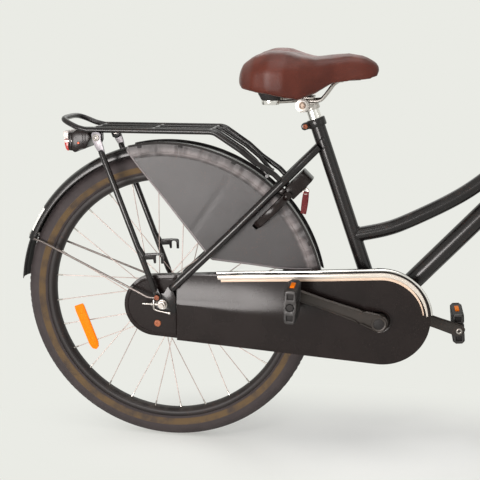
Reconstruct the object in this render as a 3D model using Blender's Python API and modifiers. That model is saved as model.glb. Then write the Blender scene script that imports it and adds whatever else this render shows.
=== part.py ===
"""Kids' city bike with 24 inch wheels, a closed chain case, coat guards, a rear carrier and a ring lock.

Metres, +Z up, +X forwards, +Y to the bike's left. The origin is on the ground, in the middle of the
bike's length. Positions along the bike are given from the rear axle, and moved to the origin by REAR.
"""

import math

import bmesh
import bpy
from mathutils import Matrix, Vector

# Wheels
TYRE_RADIUS = 0.3005
TYRE_HALF_WIDTH = 0.0235
RIM_RADIUS = 0.2590
RIM_HALF_WIDTH = 0.0145
RIM_DEPTH = 0.0120
SPOKE_COUNT = 28
SPOKE_RADIUS = 0.0010
FLANGE_RADIUS = 0.0330
FLANGE_OFFSET = 0.0260
AXLE_RADIUS = 0.0048
WHEELBASE = 0.970
RING_STEPS = 28

# Frame
SEAT_TUBE_LEAN = math.radians(19.34)
SEAT_TUBE_LENGTH = 0.398
SEAT_TUBE_RADIUS = 0.0143
TOP_TUBE_RADIUS = 0.0143
DOWN_TUBE_RADIUS = 0.0190
HEAD_ANGLE = math.radians(70.0)
HEAD_TUBE_LENGTH = 0.125
HEAD_TUBE_RADIUS = 0.0180
HEAD_TUBE_BORE = 0.0152
STAY_RADIUS = 0.0080
BRACKET = Vector((0.4290, 0.0, -0.0142))
BRACKET_RADIUS = 0.0200
BRACKET_HALF_WIDTH = 0.0340
DROPOUT_Y = 0.05775
DROPOUT_THICKNESS = 0.0045

# Fork and handlebar
FORK_LENGTH = 0.370
FORK_RAKE = 0.045
FORK_DROPOUT_Y = 0.0520
BLADE_RADIUS = 0.0100
STEERER_RADIUS = 0.0127
BAR_RADIUS = 0.0111
BAR_HALF_WIDTH = 0.280
GRIP_RADIUS = 0.0155
GRIP_LENGTH = 0.118

# Drive
RING_TEETH = 38
SPROCKET_TEETH = 19
CHAIN_PITCH = 0.0127
CHAIN_HALF_WIDTH = 0.0040
CHAIN_LINE = -0.0410
CRANK_LENGTH = 0.170
CRANK_ANGLE = math.radians(162.52)
CRANK_INNER_Y = 0.0638
CRANK_OUTER_Y = 0.0758
PEDAL_WIDTH = 0.0870
PEDAL_LENGTH = 0.0660
PEDAL_THICKNESS = 0.0244

# Chain case
CASE_REAR = Vector((-0.0130, 0.0, -0.0030))
CASE_REAR_RADIUS = 0.0670
CASE_FRONT = Vector((0.4280, 0.0, -0.0050))
CASE_FRONT_RADIUS = 0.0985
CASE_WALL = 0.0015
CASE_OUTER_Y = 0.0585
CASE_NARROW_Y = 0.0468
CASE_INNER_Y = 0.0300
CASE_STEP_X = 0.0780
CASE_SEAM_X = 0.0300

# Mudguards and coat guards
GUARD_RADIUS = 0.3190
GUARD_HALF_WIDTH = 0.0265
GUARD_WALL = 0.0012
COAT_RADIUS = 0.3220
COAT_WALL = 0.0012

# Carrier
CARRIER_HALF_WIDTH = 0.0585
CARRIER_Z = 0.3465
CARRIER_TUBE_RADIUS = 0.0053
CARRIER_FRONT_X = 0.1050
CARRIER_REAR_X = -0.1460
DECK_RISE = 0.0004
DECK_THICKNESS = 0.0020

# Seat
SADDLE_Z = 0.4860
SEAT_POST_RADIUS = 0.0125

# Clearance between neighbours that touch
GAP = 0.0003

FLAP_END = math.radians(174.5)
FLAP_RADIUS = GUARD_RADIUS - GUARD_WALL - 0.0014
FLAP_REACH = FLAP_RADIUS * -math.cos(FLAP_END)
REAR = Vector((-(WHEELBASE + TYRE_RADIUS - FLAP_REACH) / 2, 0.0, TYRE_RADIUS))
FRONT = Vector((WHEELBASE, 0.0, 0.0))
SEAT_AXIS = Vector((-math.sin(SEAT_TUBE_LEAN), 0.0, math.cos(SEAT_TUBE_LEAN)))
HEAD_AXIS = Vector((-math.cos(HEAD_ANGLE), 0.0, math.sin(HEAD_ANGLE)))
HEAD_FORWARD = Vector((math.sin(HEAD_ANGLE), 0.0, math.cos(HEAD_ANGLE)))
STAY_ANGLE = math.radians(45.4)
STAY_AXIS = Vector((math.cos(STAY_ANGLE), 0.0, math.sin(STAY_ANGLE)))
STAY_FORWARD = Vector((math.sin(STAY_ANGLE), 0.0, -math.cos(STAY_ANGLE)))
STAY_OFFSET = -0.0068
ALONG_Y = Matrix.Rotation(-math.pi / 2, 4, "X")
UPRIGHT = Matrix.Rotation(math.pi / 2, 4, "X")

BLACK_PAINT = ((0.020, 0.018, 0.018), 0.32, 0.0)
BLACK_PLASTIC = ((0.025, 0.023, 0.023), 0.50, 0.0)
BLACK_VINYL = ((0.060, 0.055, 0.056), 0.55, 0.0)
CHROME = ((0.75, 0.73, 0.70), 0.15, 1.0)
STEEL = ((0.45, 0.43, 0.41), 0.35, 1.0)
TYRE_RUBBER = ((0.045, 0.038, 0.036), 0.75, 0.0)
BLACK_RUBBER = ((0.020, 0.020, 0.020), 0.70, 0.0)
BROWN_LEATHER = ((0.110, 0.032, 0.016), 0.42, 0.0)
ORANGE_LENS = ((0.95, 0.35, 0.02), 0.25, 0.0)
RED_LENS = ((0.55, 0.03, 0.02), 0.20, 0.0)
RED_STRAP = ((0.30, 0.01, 0.01), 0.60, 0.0)


def clear_scene():
    for obj in list(bpy.data.objects):
        bpy.data.objects.remove(obj, do_unlink=True)


def collection(name):
    made = bpy.data.collections.new(name)
    bpy.context.scene.collection.children.link(made)
    return made


def add_object(name, data, matrix):
    """Links an object at a place given from the rear axle."""
    obj = bpy.data.objects.new(name, data)
    bpy.data.collections["kids_bike"].objects.link(obj)
    obj.matrix_world = Matrix.Translation(REAR) @ matrix
    return obj


def clean(mesh):
    """Welds what touches, and turns every face outwards."""
    bm = bmesh.new()
    bm.from_mesh(mesh)
    bmesh.ops.remove_doubles(bm, verts=bm.verts, dist=0.000002)
    bmesh.ops.recalc_face_normals(bm, faces=bm.faces)
    bm.to_mesh(mesh)
    bm.free()


def baked(obj):
    """The object as a plain mesh object of the same name and place."""
    graph = bpy.context.evaluated_depsgraph_get()
    mesh = bpy.data.meshes.new_from_object(obj.evaluated_get(graph))
    clean(mesh)
    name = obj.name
    matrix = obj.matrix_world.copy()
    bpy.data.objects.remove(obj, do_unlink=True)
    made = bpy.data.objects.new(name, mesh)
    bpy.data.collections["kids_bike"].objects.link(made)
    made.matrix_world = matrix
    return made


def combined(operation, obj, others):
    """Unites the others with the object, or cuts them from it, and removes them."""
    for other in others:
        modifier = obj.modifiers.new(operation.title(), "BOOLEAN")
        modifier.operation = operation
        modifier.solver = "EXACT"
        modifier.object = other
    obj = baked(obj)
    for other in others:
        bpy.data.objects.remove(other, do_unlink=True)
    return obj


def united(obj, *others):
    return combined("UNION", obj, others)


def cut(obj, *others):
    return combined("DIFFERENCE", obj, others)


def from_bmesh(name, bm, matrix):
    mesh = bpy.data.meshes.new(name)
    bm.to_mesh(mesh)
    bm.free()
    return add_object(name, mesh, matrix)


def facing(start, direction):
    """A place at start whose local Z runs along direction."""
    turn = Vector(direction).to_track_quat("Z", "Y").to_matrix().to_4x4()
    return Matrix.Translation(start) @ turn


def cylinder(name, start, end, radius, sides=16, end_radius=None):
    start = Vector(start)
    end = Vector(end)
    bm = bmesh.new()
    length = (end - start).length
    far = radius if end_radius is None else end_radius
    bmesh.ops.create_cone(
        bm, cap_ends=True, segments=sides, radius1=radius, radius2=far, depth=length
    )
    return from_bmesh(name, bm, facing((start + end) / 2, end - start))


def box(name, low, high, turn=None, pivot=None):
    """A box between two corners, turned about a pivot if one is given."""
    low = Vector(low)
    high = Vector(high)
    bm = bmesh.new()
    bmesh.ops.create_cube(bm, size=1.0)
    bmesh.ops.scale(bm, vec=high - low, verts=bm.verts)
    matrix = Matrix.Translation((low + high) / 2)
    if turn is not None:
        shift = Matrix.Translation(pivot)
        matrix = shift @ turn @ shift.inverted() @ matrix
    return from_bmesh(name, bm, matrix)


def curve_object(name, dimensions, outlines, cyclic, matrix):
    curve = bpy.data.curves.new(name, "CURVE")
    curve.dimensions = dimensions
    for outline in outlines:
        spline = curve.splines.new("POLY")
        spline.points.add(len(outline) - 1)
        for point, place in zip(spline.points, outline):
            point.co = (*place, 1.0) if len(place) == 3 else (*place, 0.0, 1.0)
        spline.use_cyclic_u = cyclic
    return add_object(name, curve, matrix)


def tube(name, points, radius, resolution=2):
    """A round tube along points given from the rear axle, with closed ends."""
    obj = curve_object(name, "3D", [[tuple(p) for p in points]], False, Matrix())
    obj.data.bevel_depth = radius
    obj.data.bevel_resolution = resolution
    obj.data.use_fill_caps = True
    return baked(obj)


def plate(name, outlines, thickness, matrix):
    """A flat outline, with its holes after it, thickened both ways from the local XY plane."""
    obj = curve_object(name, "2D", outlines, True, matrix)
    obj.data.fill_mode = "BOTH"
    obj.data.extrude = thickness / 2
    return baked(obj)


def side_plate(name, outlines, low_y, high_y):
    """A plate whose outline is drawn in x and z, between two values of y."""
    middle = Matrix.Translation((0.0, (low_y + high_y) / 2, 0.0))
    return plate(name, outlines, abs(high_y - low_y), middle @ UPRIGHT)


def turned(name, profile, matrix, steps=16, closed=False, angle=2 * math.pi):
    """A profile of (radius, height) turned about local Z. It runs down its outer side."""
    bm = bmesh.new()
    points = [bm.verts.new((radius, 0.0, height)) for radius, height in profile]
    for first, second in zip(points, points[1:]):
        bm.edges.new((first, second))
    if closed:
        bm.edges.new((points[-1], points[0]))
    obj = from_bmesh(name, bm, matrix)
    screw = obj.modifiers.new("Turn", "SCREW")
    screw.axis = "Z"
    screw.angle = angle
    screw.steps = steps
    screw.render_steps = steps
    screw.use_merge_vertices = True
    screw.merge_threshold = 0.00001
    obj = baked(obj)
    if angle < 2 * math.pi:
        bm = bmesh.new()
        bm.from_mesh(obj.data)
        open_edges = [edge for edge in bm.edges if edge.is_boundary]
        bmesh.ops.holes_fill(bm, edges=open_edges, sides=0)
        bmesh.ops.recalc_face_normals(bm, faces=bm.faces)
        bm.to_mesh(obj.data)
        bm.free()
    return obj


def arc(centre, radius, start, end, steps):
    """Points along an arc in a plane, with its angles in degrees."""
    turns = [math.radians(start + (end - start) * i / steps) for i in range(steps + 1)]
    return [
        (centre[0] + radius * math.cos(t), centre[1] + radius * math.sin(t)) for t in turns
    ]


def belt(rear, rear_radius, front, front_radius, steps):
    """The outline of a belt round two circles in the x-z plane, from the lower rear one round."""
    run = Vector((front.x - rear.x, front.z - rear.z))
    lean = math.degrees(math.atan2(run.y, run.x))
    swell = math.degrees(math.asin((front_radius - rear_radius) / run.length))
    front_side = arc(
        (front.x, front.z), front_radius, lean - 90 - swell, lean + 90 + swell, steps
    )
    rear_side = arc((rear.x, rear.z), rear_radius, lean + 90 + swell, lean + 270 - swell, steps)
    return front_side + rear_side


def bent(points, radius, steps=3):
    """A path with each corner replaced by an arc of the given radius."""
    points = [Vector(p) for p in points]
    path = [points[0]]
    for before, corner, after in zip(points, points[1:], points[2:]):
        back = (before - corner).normalized()
        ahead = (after - corner).normalized()
        opening = back.angle(ahead)
        reach = min(
            radius / math.tan(opening / 2),
            (before - corner).length * 0.45,
            (after - corner).length * 0.45,
        )
        start = corner + back * reach
        end = corner + ahead * reach
        for i in range(steps + 1):
            t = i / steps
            path.append((1 - t) ** 2 * start + 2 * t * (1 - t) * corner + t * t * end)
    path.append(points[-1])
    return path


def smooth_path(points, steps=2):
    """A Catmull-Rom path through the points."""
    points = [Vector(p) for p in points]
    ends = [2 * points[0] - points[1]] + points + [2 * points[-1] - points[-2]]
    path = [points[0]]
    for a, b, c, d in zip(ends, ends[1:], ends[2:], ends[3:]):
        for i in range(1, steps + 1):
            t = i / steps
            path.append(
                0.5
                * (
                    2 * b
                    + (c - a) * t
                    + (2 * a - 5 * b + 4 * c - d) * t**2
                    + (3 * b - 3 * c + d - a) * t**3
                )
            )
    return path


def mirrored_path(path):
    """The path followed by its mirror image across the bike's middle plane."""
    path = list(path)
    return path + [Vector((p[0], -p[1], p[2])) for p in reversed(path[:-1])]


def finished(obj, finish, parent=None):
    """Gives the object its own material, smooth round faces and its parent."""
    colour, roughness, metallic = finish
    material = bpy.data.materials.new(obj.name + "_finish")
    material.use_nodes = True
    shader = material.node_tree.nodes["Principled BSDF"]
    shader.inputs["Base Color"].default_value = (*colour, 1.0)
    shader.inputs["Roughness"].default_value = roughness
    shader.inputs["Metallic"].default_value = metallic
    material.diffuse_color = (*colour, 1.0)
    obj.data.materials.clear()
    obj.data.materials.append(material)
    obj.data.shade_smooth()
    obj.data.set_sharp_from_angle(angle=math.radians(40))
    if parent is not None:
        obj.parent = parent
        obj.matrix_parent_inverse = parent.matrix_world.inverted()
    return obj


def pivot(name, place):
    """An empty on a joint's axis, which carries the pieces that move about it."""
    empty = add_object(name, None, Matrix.Translation(place))
    bpy.context.view_layer.update()
    return empty


def seat_point(distance, y=0.0):
    return BRACKET + SEAT_AXIS * distance + Vector((0.0, y, 0.0))


def head_point(distance, forward=0.0, y=0.0):
    foot = FRONT - HEAD_FORWARD * FORK_RAKE
    return foot + HEAD_AXIS * distance + HEAD_FORWARD * forward + Vector((0.0, y, 0.0))


def stay_point(distance, forward=0.0, y=0.0):
    return STAY_AXIS * distance + STAY_FORWARD * forward + Vector((0.0, y, 0.0))


def both_sides(make):
    """Two pieces, right then left, from a function of the side's sign."""
    return [make(-1), make(1)]


# Frame tubes
HEAD_STACK = 0.010
HEAD_LOW = FORK_LENGTH + HEAD_STACK
HEAD_HIGH = HEAD_LOW + HEAD_TUBE_LENGTH
DOWN_TUBE_JOIN = HEAD_LOW + 0.038
TOP_TUBE_JOIN = HEAD_LOW + 0.085


def seat_tube_cutter(name):
    return cylinder(
        name, seat_point(-0.02), seat_point(SEAT_TUBE_LENGTH + 0.05), SEAT_TUBE_RADIUS + GAP, 20
    )


def head_tube_cutter(name):
    return cylinder(
        name, head_point(HEAD_LOW - 0.03), head_point(HEAD_HIGH + 0.03), HEAD_TUBE_RADIUS + GAP, 20
    )


def bracket_cutter(name):
    side = Vector((0.0, BRACKET_HALF_WIDTH + GAP, 0.0))
    return cylinder(name, BRACKET - side, BRACKET + side, BRACKET_RADIUS + GAP, 20)


def make_seat_tube():
    side = Vector((0.0, BRACKET_HALF_WIDTH, 0.0))
    post = cylinder("seat_tube", seat_point(0.0), seat_point(SEAT_TUBE_LENGTH), SEAT_TUBE_RADIUS, 20)
    shell = cylinder("shell", BRACKET - side, BRACKET + side, BRACKET_RADIUS, 20)
    post = united(post, shell)
    socket = cylinder(
        "socket",
        seat_point(SEAT_TUBE_LENGTH - SEAT_SOCKET_DEPTH),
        seat_point(SEAT_TUBE_LENGTH + 0.01),
        SEAT_POST_RADIUS + GAP,
        16,
    )
    bearing = cylinder("bearing", BRACKET - 2 * side, BRACKET + 2 * side, CRANK_AXLE_RADIUS + 0.0004, 16)
    finished(cut(post, socket, bearing), BLACK_PAINT)


def make_head_tube():
    cup = 0.0025
    low = HEAD_LOW
    high = HEAD_HIGH
    profile = [
        (HEAD_TUBE_BORE, high),
        (HEAD_TUBE_RADIUS + cup, high),
        (HEAD_TUBE_RADIUS + cup, high - 0.005),
        (HEAD_TUBE_RADIUS, high - 0.007),
        (HEAD_TUBE_RADIUS, low + 0.007),
        (HEAD_TUBE_RADIUS + cup, low + 0.005),
        (HEAD_TUBE_RADIUS + cup, low),
        (HEAD_TUBE_BORE, low),
    ]
    axis = facing(head_point(0.0), HEAD_AXIS)
    finished(turned("head_tube", profile, axis, 20, closed=True), BLACK_PAINT)


def make_down_tube():
    obj = cylinder("down_tube", BRACKET, head_point(DOWN_TUBE_JOIN), DOWN_TUBE_RADIUS, 20)
    cutters = [bracket_cutter("c1"), seat_tube_cutter("c2"), head_tube_cutter("c3")]
    finished(cut(obj, *cutters), BLACK_PAINT)


def make_top_tube():
    path = smooth_path(
        [
            seat_point(0.166),
            (0.435, 0.0, 0.157),
            (0.480, 0.0, 0.1755),
            (0.5556, 0.0, 0.2158),
            (0.6075, 0.0, 0.2515),
            (0.660, 0.0, 0.2990),
            (0.715, 0.0, 0.3560),
            head_point(TOP_TUBE_JOIN),
        ]
    )
    obj = tube("top_tube", path, TOP_TUBE_RADIUS, 3)
    finished(cut(obj, seat_tube_cutter("c1"), head_tube_cutter("c2")), BLACK_PAINT)


def dropout_outline():
    """The rear dropout with its slot open to the rear and an eye above it."""
    slot = AXLE_RADIUS + GAP
    mouth = [(DROPOUT_REAR_X, -slot), *arc((0.0, 0.0), slot, -90, 90, 6), (DROPOUT_REAR_X, slot)]
    return [
        (0.054, -0.0165),
        (0.010, -0.0160),
        (DROPOUT_REAR_X, -0.0130),
        *mouth,
        (DROPOUT_REAR_X, 0.0125),
        (-0.0190, 0.0165),
        (-0.0140, 0.0225),
        (0.0020, 0.0225),
        (0.0109, 0.0370),
        (0.0270, 0.0210),
        (0.0340, 0.0080),
        (0.054, 0.0040),
    ]


def make_chainstays():
    def stay(side):
        path = [
            BRACKET + Vector((-0.010, side * 0.0235, 0.0)),
            (0.3750, side * 0.0255, -0.0124),
            (0.3500, side * 0.0282, -0.0115),
            (0.3220, side * 0.0352, -0.0106),
            (0.2850, side * 0.0388, -0.0094),
            (0.1200, side * 0.0455, -0.0052),
            (0.0620, side * 0.0490, -0.0055),
            (0.0465, side * 0.0515, -0.0060),
        ]
        return tube("stay", path, STAY_RADIUS, 2)

    def dropout(side):
        middle = side * DROPOUT_Y
        half = DROPOUT_THICKNESS / 2
        return side_plate("dropout", [dropout_outline()], middle - half, middle + half)

    right, left = both_sides(stay)
    right.name = "chainstays"
    cross = box("plate", (0.330, -0.0300, -0.0180), (0.372, 0.0300, -0.0140))
    obj = united(right, left, cross, *both_sides(dropout))
    finished(cut(obj, bracket_cutter("c")), BLACK_PAINT)


def stay_half_gap(distance):
    """How far the seat stay's centre is from the middle plane, at a distance from the axle."""
    places = [(0.040, 0.0570), (0.200, 0.0500), (0.330, 0.0420), (0.350, 0.0400)]
    places += [(0.385, 0.0320), (0.412, 0.0210), (0.437, 0.0150)]
    for (near, near_y), (far, far_y) in zip(places, places[1:]):
        if distance <= far:
            return near_y + (far_y - near_y) * (distance - near) / (far - near)
    return places[-1][1]


def make_seatstays():
    def stay(side):
        stops = [0.0345, 0.040, 0.200, 0.330, 0.350, 0.385, 0.412, 0.437]
        path = [stay_point(s, STAY_OFFSET, side * stay_half_gap(s)) for s in stops]
        return tube("stay", path, STAY_RADIUS - 0.0010, 3)

    right, left = both_sides(stay)
    right.name = "seatstays"
    reach = stay_half_gap(BRIDGE_DISTANCE)
    bridge = cylinder(
        "bridge",
        stay_point(BRIDGE_DISTANCE, STAY_OFFSET, -reach),
        stay_point(BRIDGE_DISTANCE, STAY_OFFSET, reach),
        0.0065,
        10,
    )
    boss = cylinder(
        "boss",
        stay_point(BRIDGE_DISTANCE, STAY_OFFSET),
        stay_point(GUARD_RADIUS + GAP, STAY_OFFSET * GUARD_RADIUS / BRIDGE_DISTANCE),
        0.0055,
        10,
    )
    obj = united(right, left, bridge, boss)
    finished(cut(obj, seat_tube_cutter("c")), BLACK_PAINT)


SEAT_SOCKET_DEPTH = 0.200
CRANK_AXLE_RADIUS = 0.0085
DROPOUT_REAR_X = -0.0160
BRIDGE_DISTANCE = 0.3305
CARRIER_FOOT = 0.3440


def make_seat_collar():
    top = seat_point(SEAT_TUBE_LENGTH)
    low = seat_point(SEAT_TUBE_LENGTH - 0.016)
    ring = cylinder("seat_collar", low, top, SEAT_TUBE_RADIUS + 0.0038, 20)
    back = Vector((-SEAT_AXIS.z, 0.0, SEAT_AXIS.x))
    middle = (top + low) / 2
    ears = box("ears", (-0.028, -0.0080, -0.0070), (-0.012, 0.0080, 0.0070))
    turn = Matrix.Rotation(-SEAT_TUBE_LEAN, 4, "Y")
    ears.matrix_world = (
        Matrix.Translation(REAR + middle) @ turn @ Matrix.Translation((-0.0195, 0.0, 0.0))
    )
    bolt_middle = middle + back * 0.0220
    bolt = cylinder(
        "bolt",
        bolt_middle + Vector((0.0, -0.0130, 0.0)),
        bolt_middle + Vector((0.0, 0.0120, 0.0)),
        0.0048,
        8,
    )
    obj = united(ring, ears, bolt)
    finished(cut(obj, seat_tube_cutter("c")), BLACK_PAINT)


# Wheels
HUB_LEFT_Y = 0.0480
HUB_RIGHT_Y = 0.0470
CONE_GAP = 0.0003
CONE_RADIUS = 0.0085
NUT_RADIUS = 0.0085
NUT_INNER_Y = 0.0633
NUT_OUTER_Y = 0.0710
AXLE_HALF_LENGTH = 0.0740
FRONT_HUB_Y = 0.0440
FRONT_FLANGE_RADIUS = 0.0200
SPOKE_CROSSING = math.radians(77.1)
REAR_SPOKE_ANGLE = math.radians(43.24)
SPROCKET_BOSS_RADIUS = 0.0160


def make_tyre(name, centre, parent):
    outer = TYRE_RADIUS
    half = TYRE_HALF_WIDTH
    seat = RIM_RADIUS + GAP
    side = [(outer, 0.006), (outer, -0.006), (outer - 0.007, -half + 0.005)]
    side += [(outer - 0.0205, -half), (outer - 0.034, -half + 0.003)]
    side += [(seat, -RIM_HALF_WIDTH - 0.0005)]
    profile = side + [(radius, -height) for radius, height in reversed(side[1:])]
    axis = Matrix.Translation(centre) @ ALONG_Y
    obj = turned(name, profile, axis, RING_STEPS, closed=True)
    finished(obj, TYRE_RUBBER, parent)


def make_rim(name, centre, parent):
    outer = RIM_RADIUS
    half = RIM_HALF_WIDTH
    inner = RIM_RADIUS - RIM_DEPTH
    side = [(outer, -half), (inner, -half + 0.002), (inner - 0.003, -0.006)]
    well = [(outer - 0.0075, -half + 0.0035), (outer, -half + 0.0018)]
    one = well + side
    profile = one + [(radius, -height) for radius, height in reversed(one)]
    axis = Matrix.Translation(centre) @ ALONG_Y
    obj = turned(name, profile, axis, RING_STEPS, closed=True)
    finished(obj, BLACK_PAINT, parent)


def spokes(name, centre, flange_radius, flange_y, first_angle):
    """Two sets of crossed spokes in one mesh. They end just short of the rim."""
    rim_end = (RIM_RADIUS - RIM_DEPTH - 0.003) * math.cos(math.pi / RING_STEPS) - GAP
    bm = bmesh.new()
    for i in range(SPOKE_COUNT):
        side = -1 if i % 2 else 1
        leading = 1 if i % 4 < 2 else -1
        outer_angle = first_angle + 2 * math.pi * i / SPOKE_COUNT
        hub_angle = outer_angle + leading * SPOKE_CROSSING
        hub_y = side * (flange_y + leading * 0.0016)
        start = Vector((math.cos(hub_angle), 0.0, math.sin(hub_angle))) * (flange_radius - 0.004)
        start.y = hub_y
        end = Vector((math.cos(outer_angle), 0.0, math.sin(outer_angle))) * rim_end
        end.y = side * (0.0020 + leading * 0.0008)
        made = bmesh.ops.create_cone(
            bm,
            cap_ends=True,
            segments=3,
            radius1=SPOKE_RADIUS * 1.25,
            radius2=SPOKE_RADIUS * 1.25,
            depth=(end - start).length,
        )
        bmesh.ops.transform(
            bm, matrix=facing((start + end) / 2, end - start), verts=made["verts"]
        )
    return from_bmesh(name, bm, Matrix.Translation(centre))


def make_rear_wheel(parent):
    make_tyre("rear_tyre", Vector(), parent)
    make_rim("rear_rim", Vector(), parent)
    flange = FLANGE_RADIUS
    profile = [
        (0.0180, HUB_LEFT_Y),
        (0.0180, 0.0300),
        (flange, FLANGE_OFFSET + 0.0024),
        (flange, FLANGE_OFFSET - 0.0024),
        (flange - 0.007, FLANGE_OFFSET - 0.0035),
        (flange - 0.007, -FLANGE_OFFSET + 0.0035),
        (flange, -FLANGE_OFFSET + 0.0024),
        (flange, -FLANGE_OFFSET - 0.0024),
        (SPROCKET_BOSS_RADIUS, -0.0300),
        (SPROCKET_BOSS_RADIUS, -HUB_RIGHT_Y),
        (AXLE_RADIUS + 0.0004, -HUB_RIGHT_Y),
        (AXLE_RADIUS + 0.0004, HUB_LEFT_Y),
    ]
    hub = turned("rear_hub", profile, ALONG_Y.copy(), 16, closed=True)
    wires = spokes("wires", Vector(), flange, FLANGE_OFFSET, REAR_SPOKE_ANGLE)
    finished(united(hub, wires), STEEL, parent)

    corners = [(-0.2030, -0.0250), (-0.1850, -0.0200), (-0.1450, -0.1160), (-0.1590, -0.1270)]
    corners += [(-0.1700, -0.1190), (-0.2050, -0.0350)]
    reflector = side_plate("rear_reflector", [corners], -0.0153, -0.0106)
    finished(reflector, ORANGE_LENS, parent)


def make_front_wheel(parent):
    make_tyre("front_tyre", FRONT, parent)
    make_rim("front_rim", FRONT, parent)
    flange = FRONT_FLANGE_RADIUS
    profile = [
        (0.0120, FRONT_HUB_Y),
        (0.0120, 0.0320),
        (flange, 0.0312),
        (flange, 0.0264),
        (0.0130, 0.0250),
        (0.0130, -0.0250),
        (flange, -0.0264),
        (flange, -0.0312),
        (0.0120, -0.0320),
        (0.0120, -FRONT_HUB_Y),
        (AXLE_RADIUS + 0.0004, -FRONT_HUB_Y),
        (AXLE_RADIUS + 0.0004, FRONT_HUB_Y),
    ]
    axis = Matrix.Translation(FRONT) @ ALONG_Y
    hub = turned("front_hub", profile, axis, 12, closed=True)
    wires = spokes("wires", FRONT, flange, 0.0288, math.pi / RING_STEPS)
    finished(united(hub, wires), STEEL, parent)


def axle_profile(radius, steps):
    """One profile down the axle from its left end, from steps of (y, radius of the next stretch)."""
    profile = [(0.0, steps[0][0])]
    for (y, size), (next_y, _) in zip(steps, steps[1:] + [(-steps[0][0], radius)]):
        profile += [(size, y), (size, next_y)]
    profile.append((0.0, -steps[0][0]))
    return profile


def make_rear_axle():
    left_cone = HUB_LEFT_Y + 0.0053
    right_cone = HUB_RIGHT_Y + CONE_GAP
    inner = DROPOUT_Y - DROPOUT_THICKNESS / 2 - CONE_GAP
    steps = [
        (AXLE_HALF_LENGTH, AXLE_RADIUS),
        (NUT_OUTER_Y, NUT_RADIUS),
        (NUT_INNER_Y, AXLE_RADIUS),
        (inner, CONE_RADIUS),
        (left_cone, AXLE_RADIUS),
        (-right_cone, CONE_RADIUS),
        (-inner, AXLE_RADIUS),
        (-NUT_INNER_Y, NUT_RADIUS),
        (-NUT_OUTER_Y, AXLE_RADIUS),
    ]
    obj = turned("rear_axle", axle_profile(AXLE_RADIUS, steps), ALONG_Y.copy(), 10)
    finished(obj, STEEL)


def make_front_axle(parent):
    inner = FORK_DROPOUT_Y - DROPOUT_THICKNESS / 2 - CONE_GAP
    outer = FORK_DROPOUT_Y + DROPOUT_THICKNESS / 2 + CONE_GAP
    steps = [
        (outer + 0.0095, AXLE_RADIUS),
        (outer + 0.0070, NUT_RADIUS),
        (outer, AXLE_RADIUS),
        (inner, CONE_RADIUS - 0.001),
        (FRONT_HUB_Y + CONE_GAP, AXLE_RADIUS),
        (-FRONT_HUB_Y - CONE_GAP, CONE_RADIUS - 0.001),
        (-inner, AXLE_RADIUS),
        (-outer, NUT_RADIUS),
        (-outer - 0.0070, AXLE_RADIUS),
    ]
    axis = Matrix.Translation(FRONT) @ ALONG_Y
    obj = turned("front_axle", axle_profile(AXLE_RADIUS, steps), axis, 10)
    finished(obj, STEEL, parent)


def make_chain_adjusters():
    """An eye on the axle with a threaded rod and a cap against the end of the dropout."""
    low = DROPOUT_Y + DROPOUT_THICKNESS / 2 + GAP
    high = NUT_INNER_Y - GAP
    for name, side in (("chain_adjuster_right", -1), ("chain_adjuster_left", 1)):
        ring = arc((0.0, 0.0), 0.0100, 0, 330, 11)
        hole = arc((0.0, 0.0), AXLE_RADIUS + GAP, 0, 330, 11)
        eye = side_plate(name, [ring, hole], side * low, side * high)
        middle = side * (low + high) / 2
        rod = cylinder("rod", (-0.0091, middle, 0.0), (-0.0420, middle, 0.0), 0.0020, 8)
        rear = DROPOUT_REAR_X - GAP
        cap = box(
            "cap",
            (rear - 0.0036, min(side * 0.0540, side * 0.0645), -0.0095),
            (rear, max(side * 0.0540, side * 0.0645), 0.0095),
        )
        finished(united(eye, rod, cap), STEEL)


def make_brake_reaction_arm():
    """The coaster brake's arm, from the axle to a clip round the left chainstay."""
    low = HUB_LEFT_Y + 0.0006
    high = HUB_LEFT_Y + 0.0050
    ring = arc((0.0, 0.0), 0.0120, 20, 290, 10)
    outline = ring + [(0.0300, -0.0270), (0.0900, -0.0290), (0.0920, -0.0180), (0.0340, -0.0155)]
    hole = arc((0.0, 0.0), AXLE_RADIUS + GAP, 0, 330, 11)
    arm = side_plate("brake_reaction_arm", [outline, hole], low, high)
    middle = Vector((0.0830, 0.0477, -0.00539))
    along = Vector((0.0580, -0.0035, 0.0003)).normalized() * 0.0045
    clip = cylinder("clip", middle - along, middle + along, STAY_RADIUS + 0.0022, 16)
    tab = box("tab", (0.0790, low, -0.0200), (0.0870, high, -0.0140))
    arm = united(arm, clip, tab)
    stay = cylinder("stay", middle - along * 3, middle + along * 3, STAY_RADIUS + 0.0004, 16)
    finished(cut(arm, stay), STEEL)


# Drive
def pitch_radius(teeth):
    return CHAIN_PITCH / (2 * math.sin(math.pi / teeth))


def toothed(name, centre, teeth, bore, parent):
    tip = pitch_radius(teeth) + 0.0026
    root = pitch_radius(teeth) - 0.0036
    outline = []
    for i in range(teeth):
        turn = 2 * math.pi * i / teeth
        half = math.pi / teeth
        outline.append((centre.x + tip * math.cos(turn), centre.z + tip * math.sin(turn)))
        turn += half
        outline.append((centre.x + root * math.cos(turn), centre.z + root * math.sin(turn)))
    hole = arc((centre.x, centre.z), bore + 0.0002, 0, 340, 17)
    obj = side_plate(name, [outline, hole], CHAIN_LINE - 0.0015, CHAIN_LINE + 0.0015)
    finished(obj, STEEL, parent)


def chain_outline(offset, steps=12):
    return belt(
        Vector(),
        pitch_radius(SPROCKET_TEETH) + offset,
        BRACKET,
        pitch_radius(RING_TEETH) + offset,
        steps,
    )


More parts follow.
